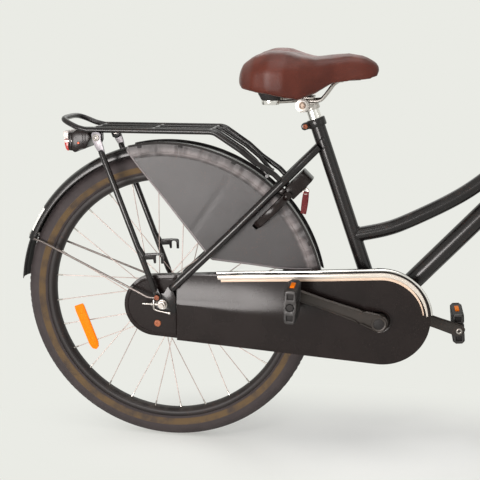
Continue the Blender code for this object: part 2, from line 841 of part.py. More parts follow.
def make_chain():
    outlines = [chain_outline(0.0042), chain_outline(-0.0042)]
    low = CHAIN_LINE - CHAIN_HALF_WIDTH
    high = CHAIN_LINE + CHAIN_HALF_WIDTH
    obj = side_plate("chain", outlines, low, high)
    groove = side_plate(
        "groove", [chain_outline(0.0034)], CHAIN_LINE - 0.0018, CHAIN_LINE + 0.0018
    )
    finished(cut(obj, groove), STEEL)


CRANK_BOSS_RADIUS = 0.0160
CRANK_BORE_DEPTH_Y = 0.0620
PEDAL_SPINDLE_RADIUS = 0.0045
PEDAL_INNER_Y = 0.0773


def pedal_place(side):
    """The pedal's axle on the given side. The right crank stands at CRANK_ANGLE."""
    turn = CRANK_ANGLE if side < 0 else CRANK_ANGLE + math.pi
    return BRACKET + Vector((math.cos(turn), 0.0, math.sin(turn))) * CRANK_LENGTH


def make_cranks(parent):
    axle = cylinder(
        "crank_axle",
        BRACKET - Vector((0.0, CRANK_BORE_DEPTH_Y - GAP, 0.0)),
        BRACKET + Vector((0.0, CRANK_BORE_DEPTH_Y - GAP, 0.0)),
        CRANK_AXLE_RADIUS,
        12,
    )
    finished(axle, STEEL, parent)
    for name, side, boss_y in (("crank_right", -1, 0.0370), ("crank_left", 1, 0.0430)):
        end = pedal_place(side)
        outline = belt(BRACKET, 0.0170, end, 0.0115, 7)
        if side < 0:
            outline = belt(end, 0.0115, BRACKET, 0.0170, 7)
        arm = side_plate(name, [outline], side * CRANK_INNER_Y, side * CRANK_OUTER_Y)
        boss = cylinder(
            "boss",
            BRACKET + Vector((0.0, side * boss_y, 0.0)),
            BRACKET + Vector((0.0, side * (CRANK_INNER_Y + 0.002), 0.0)),
            CRANK_BOSS_RADIUS,
            16,
        )
        spindle = cylinder(
            "spindle",
            end + Vector((0.0, side * (CRANK_OUTER_Y - 0.004), 0.0)),
            end + Vector((0.0, side * 0.1580, 0.0)),
            PEDAL_SPINDLE_RADIUS,
            12,
        )
        arm = united(arm, boss, spindle)
        bore = cylinder(
            "bore",
            BRACKET + Vector((0.0, side * 0.0300, 0.0)),
            BRACKET + Vector((0.0, side * CRANK_BORE_DEPTH_Y, 0.0)),
            CRANK_AXLE_RADIUS + GAP,
            12,
        )
        finished(cut(arm, bore), STEEL, parent)
    toothed("chainring", BRACKET, RING_TEETH, CRANK_BOSS_RADIUS + 0.0004, parent)


def make_pedal(name, side, tilt, parent):
    """A barrel between two rubber blocks, with a plate at each end. It stands on edge, tilted a little."""
    place = pedal_place(side)
    low = side * PEDAL_INNER_Y
    high = side * (PEDAL_INNER_Y + PEDAL_WIDTH)
    wall = side * 0.0032
    half_length = PEDAL_LENGTH / 2
    half_height = PEDAL_THICKNESS / 2
    barrel = cylinder(
        name,
        place + Vector((0.0, low + wall * 0.4, 0.0)),
        place + Vector((0.0, high - wall * 0.4, 0.0)),
        0.0110,
        12,
    )
    turn = Matrix.Rotation(math.pi / 2 + tilt, 4, "Y")
    pieces = []
    for start, end in ((low, low + wall), (high - wall, high)):
        outline = [
            (half_length - 0.003, 0.0060),
            (half_length - 0.012, 0.0100),
            (-half_length + 0.012, 0.0100),
            (-half_length + 0.003, 0.0060),
            (-half_length + 0.003, -0.0060),
            (-half_length + 0.012, -0.0100),
            (half_length - 0.012, -0.0100),
            (half_length - 0.003, -0.0060),
        ]
        end_plate = side_plate("end", [outline], start, end)
        end_plate.matrix_world = (
            Matrix.Translation(REAR + place) @ turn @ Matrix.Translation(-REAR) @ end_plate.matrix_world
        )
        pieces.append(end_plate)
    for sign in (-1, 1):
        first = place + Vector((sign * half_length, low + wall * 0.8, -half_height))
        second = place + Vector((sign * (half_length - 0.0225), high - wall * 0.8, half_height))
        corner = Vector(map(min, first, second))
        other = Vector(map(max, first, second))
        pieces.append(box("block", corner, other, turn, place))
    pedal = united(barrel, *pieces)
    bore = cylinder(
        "bore",
        place + Vector((0.0, side * 0.0700, 0.0)),
        place + Vector((0.0, side * 0.1590, 0.0)),
        PEDAL_SPINDLE_RADIUS + 0.0004,
        12,
    )
    finished(cut(pedal, bore), BLACK_RUBBER, parent)


# Chain case
def clipped(outline, low, high):
    """The part of a convex outline between two values of x."""
    for bound, sign in ((low, 1), (high, -1)):
        kept = []
        for (ax, az), (bx, bz) in zip(outline, outline[1:] + outline[:1]):
            a_in = (ax - bound) * sign >= 0
            b_in = (bx - bound) * sign >= 0
            if a_in:
                kept.append((ax, az))
            if a_in != b_in:
                t = (bound - ax) / (bx - ax)
                kept.append((bound, az + (bz - az) * t))
        outline = kept
    return outline


def case_outline(inset, steps=14):
    return belt(
        CASE_REAR, CASE_REAR_RADIUS - inset, CASE_FRONT, CASE_FRONT_RADIUS - inset, steps
    )


def make_chain_case():
    """The cover is wide round the chainring and narrow behind the step in its side."""
    whole = case_outline(0.0)
    inside = case_outline(CASE_WALL)
    step = CASE_STEP_X
    cover = side_plate(
        "chain_case_cover", [clipped(whole, CASE_SEAM_X, 1.0)], -CASE_OUTER_Y, -CASE_INNER_Y
    )
    behind = box("behind", (-0.1, -0.1, -0.2), (step, -CASE_NARROW_Y, 0.2))
    room = side_plate(
        "room",
        [clipped(inside, CASE_SEAM_X - 0.010, 1.0)],
        -CASE_OUTER_Y + CASE_WALL,
        -CASE_INNER_Y + 0.005,
    )
    wall = box("wall", (-0.1, -0.1, -0.2), (step + CASE_WALL, -CASE_NARROW_Y + CASE_WALL, 0.2))
    room = cut(room, wall)
    stay_slot = box("slot", (CASE_SEAM_X - 0.01, -0.0600, -0.0165), (step + 0.0040, -0.0400, 0.0070))
    crank_hole = cylinder(
        "crank_hole",
        BRACKET - Vector((0.0, 0.0700, 0.0)),
        BRACKET - Vector((0.0, 0.0450, 0.0)),
        0.0220,
        24,
    )
    cover = cut(cover, behind, room, stay_slot, crank_hole)
    finished(cover, BLACK_PLASTIC)

    seam = CASE_SEAM_X - GAP
    cap = side_plate(
        "chain_case_rear_cap", [clipped(whole, -1.0, seam)], -CASE_NARROW_Y, -CASE_INNER_Y
    )
    room = side_plate(
        "room",
        [clipped(inside, -1.0, seam + 0.010)],
        -CASE_NARROW_Y + CASE_WALL,
        -CASE_INNER_Y + 0.005,
    )
    axle_slot = box("slot", (-0.0110, -0.0600, -0.0165), (seam + 0.010, -0.0440, 0.0110))
    hub_hole = cylinder("hub_hole", (0.0, -0.0600, 0.0), (0.0, -0.0440, 0.0), 0.0175, 20)
    finished(cut(cap, room, axle_slot, hub_hole), BLACK_PLASTIC)


def make_chain_case_back():
    """The closing lip behind the case, with two arms to the bottom bracket."""
    low = -CASE_INNER_Y + GAP
    high = low + 0.0009
    back = side_plate("chain_case_back", [case_outline(0.0), case_outline(0.0180)], low, high)
    arms = box("arms", (0.4210, low + 0.0001, -0.0950), (0.4370, high - 0.0001, 0.0850))
    back = united(back, arms)
    finished(cut(back, bracket_cutter("c")), BLACK_PLASTIC)


def make_chain_case_trim():
    """A bright strip along the top of the case and round its front."""
    outer = CASE_FRONT_RADIUS - 0.0012
    inner = outer - 0.0150
    run = Vector((CASE_FRONT.x - CASE_REAR.x, CASE_FRONT.z - CASE_REAR.z))
    swell = math.asin((CASE_FRONT_RADIUS - CASE_REAR_RADIUS) / run.length)
    top = 90 + math.degrees(swell + math.atan2(run.y, run.x))
    centre = (CASE_FRONT.x, CASE_FRONT.z)
    upper = arc(centre, outer, 6, top, 10)
    lower = arc(centre, inner, 6, top, 10)
    along = Vector((math.cos(math.radians(top + 90)), math.sin(math.radians(top + 90))))
    reach = 0.2950
    far = Vector(upper[-1]) + along * (reach + 0.002)
    near = Vector(lower[-1]) + along * (reach - 0.004)
    outline = upper + [tuple(far), tuple(near)] + list(reversed(lower))
    low = -CASE_OUTER_Y - GAP - 0.0006
    obj = side_plate("chain_case_trim", [outline], low, -CASE_OUTER_Y - GAP)
    finished(obj, CHROME)


# Mudguards and coat guards
def guard_profile(radius, wall):
    outer = [
        (radius - 0.0120, GUARD_HALF_WIDTH),
        (radius - 0.0035, GUARD_HALF_WIDTH - 0.0055),
        (radius, 0.0090),
        (radius, -0.0090),
        (radius - 0.0035, -GUARD_HALF_WIDTH + 0.0055),
        (radius - 0.0120, -GUARD_HALF_WIDTH),
    ]
    inner = [
        (radius - 0.0120, GUARD_HALF_WIDTH - wall),
        (radius - 0.0035 - wall * 0.8, GUARD_HALF_WIDTH - 0.0055 - wall * 0.8),
        (radius - wall, 0.0090 - wall * 0.4),
        (radius - wall, -0.0090 + wall * 0.4),
        (radius - 0.0035 - wall * 0.8, -GUARD_HALF_WIDTH + 0.0055 + wall * 0.8),
        (radius - 0.0120, -GUARD_HALF_WIDTH + wall),
    ]
    return outer + list(reversed(inner))


def swept(name, profile, centre, start, end, steps):
    """A profile of (radius, y) swept about a wheel's axis, between two angles in degrees."""
    start_turn = Matrix.Rotation(-math.radians(start), 4, "Z")
    axis = Matrix.Translation(centre) @ ALONG_Y @ start_turn
    return turned(name, profile, axis, steps, closed=True, angle=math.radians(start - end))


def make_rear_mudguard():
    profile = guard_profile(GUARD_RADIUS, GUARD_WALL)
    obj = swept("rear_mudguard", profile, Vector(), REAR_GUARD_END, REAR_GUARD_START, 16)
    finished(obj, BLACK_PAINT)

    radius = FLAP_RADIUS
    wall = 0.0014
    outer = [(radius - 0.0052, 0.0210), (radius - 0.0014, 0.0120), (radius, 0.0)]
    outer += [(radius - 0.0014, -0.0120), (radius - 0.0052, -0.0210)]
    inner = [(r - wall, y) for r, y in reversed(outer)]
    end = math.degrees(FLAP_END)
    flap = swept("mud_flap", outer + inner, Vector(), end, FLAP_START, 5)
    finished(flap, BLACK_RUBBER)

    half = [
        (-0.0100, -0.0664, 0.0150),
        (-0.0180, -0.0660, 0.0182),
        (-0.2600, -0.0305, 0.1125),
        (-0.2772, -0.0290, 0.1177),
        (-0.2795, -0.0245, 0.1187),
        (-0.2845, -0.0130, 0.1209),
        (-0.2870, 0.0, 0.1222),
    ]
    obj = tube("rear_mudguard_stay", mirrored_path(map(Vector, half)), STAY_WIRE_RADIUS, 1)
    finished(obj, STEEL)


REAR_GUARD_START = 4.0
REAR_GUARD_END = 158.0
FLAP_START = 151.0
STAY_WIRE_RADIUS = 0.00225


def coat_outline():
    """The coat guard's edge: round the mudguard, down to the chain case and back up."""
    bottom = [(0.2966, 0.0805), (0.2329, 0.0788), (0.1530, 0.0861), (0.0953, 0.0909)]
    rear = [(0.0777, 0.1070), (-0.0367, 0.2518), (-0.0780, 0.3090)]
    return bottom + rear + list(reversed(arc((0.0, 0.0), COAT_RADIUS, 14.8, 103.2, 12)))


def make_coat_guards():
    for name, side in (("coat_guard_right", -1), ("coat_guard_left", 1)):
        low = GUARD_HALF_WIDTH + GAP
        high = low + COAT_WALL
        passage = [(LOCK_CENTRE + a, b) for a, b in ((-0.053, 0.012), (-0.037, 0.012))]
        passage += [(LOCK_CENTRE + a, b) for a, b in ((-0.037, 0.0245), (-0.053, 0.0245))]
        hole = [stay_point(a, b) for a, b in passage]
        outlines = [coat_outline(), [(p.x, p.z) for p in hole]]
        finished(side_plate(name, outlines, side * low, side * high), BLACK_VINYL)


# Carrier
def make_carrier():
    height = CARRIER_Z
    half = CARRIER_HALF_WIDTH
    foot_near = STAY_OFFSET - STAY_RADIUS + 0.0010 - 0.0006
    foot = stay_point(CARRIER_FOOT, foot_near, -0.0420)
    outer = [
        foot,
        stay_point(CARRIER_FOOT, foot_near - 0.0150, -0.0430),
        Vector((0.1830, -0.0500, 0.2900)),
        Vector((0.1570, -0.0550, 0.3120)),
        Vector((CARRIER_FRONT_X, -half, height)),
        Vector((CARRIER_REAR_X, -half, height)),
        Vector((-0.1700, -0.0570, height + 0.0055)),
        Vector((-0.1950, -0.0430, height + 0.0140)),
        Vector((-0.2090, -0.0210, height + 0.0190)),
        Vector((-0.2120, 0.0, height + 0.0205)),
    ]
    rack = tube("carrier_rack", mirrored_path(outer), CARRIER_TUBE_RADIUS, 2)
    cross = Vector((0.2065, 0.0, 0.2620))
    pieces = [cylinder("low_bar", cross - Vector((0, 0.045, 0)), cross + Vector((0, 0.045, 0)), 0.0035, 8)]
    for side in (-1, 1):
        rod = [
            (CARRIER_REAR_X + 0.006, side * 0.0210, height),
            (CARRIER_FRONT_X - 0.003, side * 0.0215, height),
            (0.1560, side * 0.0240, 0.3120),
            (0.1820, side * 0.0270, 0.2900),
            (0.2075, side * 0.0302, 0.2606),
        ]
        pieces.append(tube("rod", rod, 0.0040, 1))
        pieces.append(
            box(
                "tab",
                (-0.1340, min(side * 0.0575, side * 0.0600), 0.3180),
                (-0.1120, max(side * 0.0575, side * 0.0600), height),
            )
        )
    for x in (CARRIER_REAR_X + 0.006, -0.0200, CARRIER_FRONT_X - 0.010):
        pieces.append(cylinder("bar", (x, -half, height), (x, half, height), 0.0035, 8))
    top = height + DECK_RISE
    deck = box("deck", (CARRIER_REAR_X + 0.004, -0.0300, top - DECK_THICKNESS), (0.0970, 0.0300, top))
    holder = box("holder", (-0.1800, -0.0180, height - 0.0028), (-0.1380, 0.0180, height - 0.0013))
    rack = united(rack, *pieces)
    finished(united(rack, deck, holder), BLACK_PAINT)

    for name, side in (("carrier_leg_right", -1), ("carrier_leg_left", 1)):
        y = side * LEG_Y
        leg = tube(name, [(-0.1250, y, 0.3305), (-0.0140, y, 0.0270)], LEG_RADIUS, 2)
        tab_outline = arc((-0.0100, 0.0160), 0.0080, -160, 20, 6) + [(-0.0095, 0.0330), (-0.0210, 0.0300)]
        low = side * (LEG_Y - LEG_RADIUS + GAP)
        tab = side_plate("tab", [tab_outline], low, low + side * 0.0030)
        hook_outline = [
            (-0.0370, 0.0920),
            (-0.0410, 0.1040),
            (-0.0120, 0.1070),
            (0.0010, 0.1070),
            (0.0050, 0.1030),
            (0.0050, 0.0860),
            (0.0, 0.0860),
            (-0.0005, 0.1000),
            (-0.0105, 0.1000),
            (-0.0105, 0.0860),
            (-0.0145, 0.0860),
            (-0.0160, 0.0940),
        ]
        hook = side_plate("hook", [hook_outline], y - 0.0025, y + 0.0025)
        finished(united(leg, tab, hook), BLACK_PAINT)


LEG_Y = 0.0664
LEG_RADIUS = 0.0060


def make_rear_lamp():
    back = -0.2090
    top = CARRIER_Z - 0.0030 - GAP
    outline = [
        (back, 0.2960),
        (-0.1700, 0.3060),
        (-0.1620, 0.3160),
        (-0.1620, top - 0.004),
        (-0.1680, top),
        (back + 0.004, top),
        (back, top - 0.004),
    ]
    finished(side_plate("rear_lamp", [outline], -0.0320, 0.0320), BLACK_PLASTIC)
    lens = box("rear_lamp_lens", (back - 0.0083, -0.0300, 0.2990), (back - GAP, 0.0300, 0.3380))
    finished(lens, RED_LENS)


# Ring lock
LOCK_CENTRE = 0.2900
LOCK_MIDDLE = 0.0180
LOCK_HALF_DEPTH = 0.0110
LOCK_INNER = 0.0440
LOCK_OUTER = 0.0600
LOCK_END = 138.0
LOCK_SWING = 85.0
BOLT_INNER = 0.0495
BOLT_OUTER = 0.0560
BOLT_HALF_DEPTH = 0.0044
BOLT_KNOB_ANGLE = 48.0


def lock_frame(depth=0.0):
    """Local X runs up the seat stays, local Y to the right and local Z forwards."""
    frame = Matrix.Identity(4)
    frame.col[0] = (*STAY_AXIS, 0.0)
    frame.col[1] = (0.0, -1.0, 0.0, 0.0)
    frame.col[2] = (*STAY_FORWARD, 0.0)
    frame.col[3] = (*stay_point(LOCK_CENTRE, depth), 1.0)
    return frame


def sector(name, inner, outer, start, end, half_depth, steps):
    outline = arc((0, 0), outer, start, end, steps) + arc((0, 0), inner, end, start, steps)
    return plate(name, [outline], 2 * half_depth, lock_frame(LOCK_MIDDLE))


def lock_box(name, low, high):
    obj = box(name, low, high)
    obj.matrix_world = Matrix.Translation(REAR) @ lock_frame() @ Matrix.Translation(
        (Vector(low) + Vector(high)) / 2
    )
    return obj


def make_ring_lock(parent):
    ring = sector("ring_lock", LOCK_INNER, LOCK_OUTER, -LOCK_END, LOCK_END, LOCK_HALF_DEPTH, 22)
    body = lock_box("body", (0.0460, -0.0380, 0.0040), (0.0960, 0.0380, 0.0320))
    ring = united(
        ring,
        body,
        lock_box("pad", (0.0360, -0.0450, 0.0005), (0.0480, -0.0370, 0.0090)),
        lock_box("pad", (0.0360, 0.0370, 0.0005), (0.0480, 0.0450, 0.0090)),
    )
    channel = sector("channel", 0.0485, 0.0570, -14.0, LOCK_END + 3, 0.0052, 14)
    entry = sector("entry", 0.0485, 0.0570, -LOCK_END - 3, -LOCK_END + 12, 0.0050, 2)
    slot = sector("slot", 0.0560, 0.0620, BOLT_KNOB_ANGLE - 6, LOCK_END - 2, 0.0038, 9)
    finished(cut(ring, channel, entry, slot), BLACK_PLASTIC)

    bolt = sector("ring_lock_bolt", BOLT_INNER, BOLT_OUTER, -10.0, LOCK_END + 5, BOLT_HALF_DEPTH, 14)
    turn = math.radians(BOLT_KNOB_ANGLE)
    ray = Vector((math.cos(turn), math.sin(turn), 0.0))
    frame = lock_frame(LOCK_MIDDLE)
    stem = cylinder("stem", frame @ (ray * 0.0530), frame @ (ray * 0.0660), 0.0030, 10)
    knob = cylinder("knob", frame @ (ray * 0.0630), frame @ (ray * 0.0720), 0.0075, 10)
    finished(united(bolt, stem, knob), STEEL, parent)


def make_lock_key():
    """The key in the lock, and the strap that hangs from its bow."""
    frame = lock_frame(0.0)
    start = frame @ Vector((0.0720, 0.0270, 0.0323))
    end = frame @ Vector((0.0720, 0.0270, 0.0400))
    bow = cylinder("lock_key", start, end, 0.0070, 10)
    hang = frame @ Vector((0.0720, 0.0270, 0.0380))
    strap = box(
        "strap",
        (hang.x - 0.0020, hang.y - 0.0075, hang.z - 0.0480),
        (hang.x + 0.0020, hang.y + 0.0075, hang.z),
    )
    finished(united(bow, strap), RED_STRAP)


# Kickstand
KICKSTAND_PIVOT = Vector((0.1400, 0.0610, -0.0400))
KICKSTAND_AXIS = Vector((0.0, 0.927, 0.375)).normalized()
KICKSTAND_LENGTH = 0.2620


def make_kickstand(parent):
    """A stand on the left chainstay. It is folded at rest, and points to the rear."""
    middle = KICKSTAND_PIVOT
    bottom = box("kickstand_bracket", (0.1280, 0.0325, -0.0470), (0.1520, 0.0505, -0.0145))
    inner = box("inner", (0.1280, 0.0325, -0.0160), (0.1520, 0.0352, 0.0060))
    top = box("top", (0.1280, 0.0325, 0.0032), (0.1520, 0.0500, 0.0070))
    boss = cylinder("boss", middle - KICKSTAND_AXIS * 0.0240, middle - KICKSTAND_AXIS * 0.0073, 0.0090, 12)
    pin = cylinder("pin", middle - KICKSTAND_AXIS * 0.0200, middle + KICKSTAND_AXIS * 0.0095, 0.0040, 12)
    finished(united(bottom, inner, top, boss, pin), STEEL)

    hub = cylinder(
        "kickstand_leg", middle - KICKSTAND_AXIS * 0.0070, middle + KICKSTAND_AXIS * 0.0070, 0.0090, 12
    )
    tip = middle - Vector((KICKSTAND_LENGTH, 0.0, 0.0))
    leg = tube("leg", [middle - Vector((0.0065, 0, 0)), tip + Vector((0.004, 0, 0))], 0.0055, 2)
    foot = cylinder("foot", tip + Vector((0.030, 0, 0)), tip, 0.0075, 10)
    leg = united(hub, leg, foot)
    hole = cylinder("hole", middle - KICKSTAND_AXIS * 0.02, middle + KICKSTAND_AXIS * 0.02, 0.0043, 12)
    finished(cut(leg, hole), BLACK_PAINT, parent)


# Saddle
CLAMP_PLACE = Vector((0.2780, 0.0, 0.4050))
ELASTOMER_PLACE = (0.2130, 0.0450)
ELASTOMER_BOTTOM_Z = 0.4080
UNDERSIDE_Z = 0.4320
RAIL_RADIUS = 0.0035


def saddle_section(x, half, centre, hump, side, low, under):
    """The cushion's ring at one place along it, from its top centre round the right side."""
    right = [
        (0.0, centre),
        (0.48 * half, hump),
        (0.88 * half, hump - (hump - side) * 0.45),
        (half, side),
        (0.95 * half, low),
        (0.84 * half, under),
        (0.42 * half, under),
        (0.0, under),
    ]
    left = [(-y, z) for y, z in reversed(right[1:-1])]
    return [Vector((x, y, z)) for y, z in right + left]


def make_saddle_cover(parent):
    rise = SADDLE_Z - 0.4860
    under = UNDERSIDE_Z
    sections = [
        saddle_section(0.1440, 0.0420, 0.4560, 0.4580, 0.4440, 0.4300, 0.4330),
        saddle_section(0.1520, 0.0640, 0.4740, 0.4780, 0.4520, 0.4245, under),
        saddle_section(0.1760, 0.0910, 0.4850, 0.4930, 0.4600, 0.4230, under),
        saddle_section(0.2050, 0.1020, 0.4920, 0.5020, 0.4640, 0.4220, under),
        saddle_section(0.2350, 0.1000, 0.4930, 0.5020, 0.4640, 0.4160, under),
        saddle_section(0.2620, 0.0870, 0.4880, 0.4930, 0.4600, 0.4120, under),
        saddle_section(0.2900, 0.0610, 0.4870, 0.4880, 0.4640, 0.4240, under + 0.004),
        saddle_section(0.3200, 0.0400, 0.4920, 0.4910, 0.4700, 0.4390, 0.4520),
        saddle_section(0.3550, 0.0320, 0.4945, 0.4930, 0.4740, 0.4450, 0.4560),
        saddle_section(0.3880, 0.0270, 0.4870, 0.4850, 0.4700, 0.4470, 0.4560),
        saddle_section(0.4080, 0.0180, 0.4760, 0.4740, 0.4640, 0.4540, 0.4580),
    ]
    bm = bmesh.new()
    rings = []
    for ring in sections:
        rings.append([bm.verts.new(point + Vector((0.0, 0.0, rise))) for point in ring])
    count = len(rings[0])
    for first, second in zip(rings, rings[1:]):
        for i in range(count):
            j = (i + 1) % count
            bm.faces.new((first[i], first[j], second[j], second[i]))
    bm.faces.new(list(reversed(rings[0])))
    bm.faces.new(rings[-1])
    bmesh.ops.recalc_face_normals(bm, faces=bm.faces)
    obj = from_bmesh("saddle_cover", bm, Matrix())
    smoothing = obj.modifiers.new("Round", "SUBSURF")
    smoothing.levels = 1
    smoothing.render_levels = 1
    finished(baked(obj), BROWN_LEATHER, parent)


def make_saddle_underside(parent):
    x, y = ELASTOMER_PLACE
    top = UNDERSIDE_Z - 0.0005
    low = ELASTOMER_BOTTOM_Z
    profile = [(0.0, top), (0.0190, top), (0.0240, top - 0.0065), (0.0240, low + 0.0110)]
    profile += [(0.0180, low), (0.0, low)]
    half = [
        Vector((x + 0.0100, -y + 0.0050, 0.4035)),
        Vector((0.2480, -0.0300, 0.4045)),
        Vector((0.2620, -0.0235, 0.4050)),
        Vector((0.3020, -0.0220, 0.4050)),
        Vector((0.3150, -0.0205, 0.4140)),
        Vector((0.3330, -0.0160, 0.4360)),
        Vector((0.3450, -0.0100, 0.4420)),
        Vector((0.3500, 0.0, 0.4430)),
    ]
    rails = tube("saddle_rails", mirrored_path(half), RAIL_RADIUS, 2)
    clip = cylinder("clip", (0.3480, 0.0, 0.4400), (0.3480, 0.0, 0.4500), 0.0080, 10)
    pieces = [clip]
    for name, side in (("saddle_elastomer_right", -1), ("saddle_elastomer_left", 1)):
        place = Matrix.Translation((x, side * y, 0.0))
        finished(turned(name, profile, place, 14), BLACK_RUBBER, parent)
        pieces.append(
            cylinder("cup", (x, side * y, low - 0.0095), (x, side * y, low - GAP), 0.0175, 14)
        )
    finished(united(rails, *pieces), CHROME, parent)


def make_seat_post(parent):
    """The post in the seat tube, with the clamp that holds the saddle's rails at its head."""
    low = seat_point(SEAT_TUBE_LENGTH - SEAT_SOCKET_DEPTH + 0.0130)
    high = seat_point((CLAMP_PLACE.z - 0.0100 - BRACKET.z) / SEAT_AXIS.z)
    post = cylinder("seat_post", low, high, SEAT_POST_RADIUS, 16)
    z = CLAMP_PLACE.z
    web = box("web", (0.2640, -0.0175, z - 0.0170), (0.2940, 0.0175, z + 0.0090))
    top = box("top", (0.2640, -0.0310, z + 0.0040), (0.2920, 0.0310, z + 0.0080))
    cradle = box("cradle", (0.2640, -0.0310, z - 0.0150), (0.2920, 0.0310, z - 0.0040))
    bolt = cylinder("bolt", (0.2740, -0.0420, z - 0.0110), (0.2740, 0.0420, z - 0.0110), 0.0065, 10)
    finished(united(post, web, top, cradle, bolt), CHROME, parent)


# Front end
BAR_CENTRE = Vector((0.7650, 0.0, 0.5600))
STEM_RADIUS = 0.0110
BELL_Y = 0.0500


def make_fork(parent):
    top = HEAD_HIGH + 0.0105
    profile = [
        (STEERER_RADIUS - 0.0014, top),
        (HEAD_TUBE_RADIUS, top),
        (HEAD_TUBE_RADIUS, HEAD_HIGH + GAP),
        (STEERER_RADIUS, HEAD_HIGH + GAP),
        (STEERER_RADIUS, HEAD_LOW - GAP),
        (HEAD_TUBE_RADIUS + 0.0020, HEAD_LOW - GAP),
        (HEAD_TUBE_RADIUS + 0.0020, FORK_LENGTH - 0.0080),
        (0.0, FORK_LENGTH - 0.0080),
        (0.0, FORK_LENGTH + 0.0100),
        (STEERER_RADIUS - 0.0014, FORK_LENGTH + 0.0100),
    ]
    steerer = turned("fork", profile, facing(head_point(0.0), HEAD_AXIS), 16, closed=True)

    def blade(side):
        path = [
            head_point(FORK_LENGTH + 0.0020, 0.0, side * 0.0080),
            head_point(FORK_LENGTH - 0.0020, 0.0, side * 0.0240),
            head_point(FORK_LENGTH - 0.0120, 0.0, side * 0.0350),
            head_point(FORK_LENGTH - 0.0300, 0.0, side * 0.0385),
            head_point(0.2000, 0.0, side * 0.0430),
            head_point(0.1250, 0.0020, side * 0.0470),
            head_point(0.0750, 0.0100, side * 0.0495),
            head_point(0.0300, 0.0280, side * 0.0515),
            head_point(0.0150, 0.0370, side * 0.0520),
        ]
        return tube("blade", path, BLADE_RADIUS, 2)

    def dropout(side):
        slot = AXLE_RADIUS + GAP
        x = FRONT.x
        outline = [
            (x + 0.0130, -0.0120),
            (x + 0.0130, 0.0060),
            (x + 0.0040, 0.0170),
            (x - 0.0120, 0.0200),
            (x - 0.0200, 0.0130),
            (x - 0.0330, 0.0125),
            (x - 0.0330, 0.0030),
            (x - 0.0130, -0.0120),
            (x - slot, -0.0120),
            *[(x + px, pz) for px, pz in arc((0, 0), slot, 180, 0, 6)],
            (x + slot, -0.0120),
        ]
        low = side * (FORK_DROPOUT_Y - DROPOUT_THICKNESS / 2)
        return side_plate("dropout", [outline], low, low + side * DROPOUT_THICKNESS)

    finished(united(steerer, *both_sides(blade), *both_sides(dropout)), BLACK_PAINT, parent)


def make_front_mudguard(parent):
    profile = guard_profile(GUARD_RADIUS, GUARD_WALL)
    guard = swept("front_mudguard", profile, FRONT, FRONT_GUARD_END, FRONT_GUARD_START, 16)
    tongue_foot = head_point(0.3000)
    reach = (tongue_foot - FRONT).normalized()
    spot = FRONT + reach * (GUARD_RADIUS - 0.0006)
    crown = head_point(FORK_LENGTH - 0.0080 - GAP)
    holder = cylinder("holder", spot, spot + (crown - spot) * 0.98, 0.0060, 8)
    turn = math.radians(198.0)
    lip = FRONT + Vector((math.cos(turn), 0.0, math.sin(turn))) * 0.3080
    half = [
        FRONT + Vector((-0.0290, -0.0568, 0.0075)),
        FRONT + Vector((-0.0400, -0.0560, 0.0050)),
        lip + Vector((0.0020, -0.0282, 0.0)),
        lip + Vector((-0.0020, -0.0240, 0.0)),
    ]
    wires = []
    for side in (1, -1):
        path = [Vector((p.x, side * p.y, p.z)) for p in half]
        wires.append(tube("wire", path, STAY_WIRE_RADIUS, 1))
    finished(united(guard, holder, *wires), BLACK_PAINT, parent)


FRONT_GUARD_START = 42.0
FRONT_GUARD_END = 204.0


def make_stem(parent):
    low = head_point(HEAD_LOW + 0.0500)
    elbow = head_point(0.6000)
    quill = tube("stem", bent([low, elbow, BAR_CENTRE], 0.018, 3), STEM_RADIUS, 3)
    side = Vector((0.0, 0.0180, 0.0))
    clamp = cylinder("clamp", BAR_CENTRE - side, BAR_CENTRE + side, 0.0160, 16)
    hole = cylinder("hole", BAR_CENTRE - 2 * side, BAR_CENTRE + 2 * side, BAR_RADIUS + GAP, 16)
    finished(cut(united(quill, clamp), hole), CHROME, parent)


def bar_corners():
    """The corners of the handlebar's right half, from its grip end to the stem."""
    half = BAR_HALF_WIDTH
    x = BAR_CENTRE.x
    z = BAR_CENTRE.z
    return [
        Vector((x - 0.1750, -half, z + 0.0780)),
        Vector((x - 0.0500, -half + 0.0240, z + 0.0900)),
        Vector((x + 0.0000, -half + 0.0550, z + 0.0860)),
        Vector((x + 0.0250, -half + 0.1100, z + 0.0650)),
        Vector((x + 0.0200, -half + 0.1700, z + 0.0250)),
        Vector((x, -half + 0.2050, z)),
        Vector((x, 0.0, z)),
    ]


def make_handlebar(parent):
    corners = mirrored_path(bar_corners())
    bar = tube("handlebar", bent(corners, 0.040, 2), BAR_RADIUS, 2)
    finished(bar, CHROME, parent)
    for name, side in (("grip_right", -1), ("grip_left", 1)):
        end, inner = [Vector((p.x, -side * p.y, p.z)) for p in bar_corners()[:2]]
        back = (inner - end).normalized()
        start = end - back * 0.0040
        grip = cylinder(name, start, end + back * GRIP_LENGTH, GRIP_RADIUS, 14)
        hole = cylinder("hole", end - back * GAP, end + back * 0.2, BAR_RADIUS + GAP, 14)
        finished(cut(grip, hole), BLACK_RUBBER, parent)


def make_front_lamp(parent):
    """A round lamp, on a bracket that reaches up from in front of the crown."""
    middle = Vector((0.8500, 0.0, 0.3960))
    tail = middle - Vector((0.0220, 0.0, 0.0))
    shell = cylinder("front_lamp", tail, middle + Vector((0.0280, 0.0, 0.0)), 0.0180, 16, 0.0290)
    foot = head_point(HEAD_LOW - 0.0040, HEAD_TUBE_RADIUS + 0.0038)
    arm = tube("arm", [foot, foot + Vector((0.0100, 0, 0)), middle - Vector((0.0100, 0, 0.0100))], 0.0040, 1)
    finished(united(shell, arm), BLACK_PLASTIC, parent)


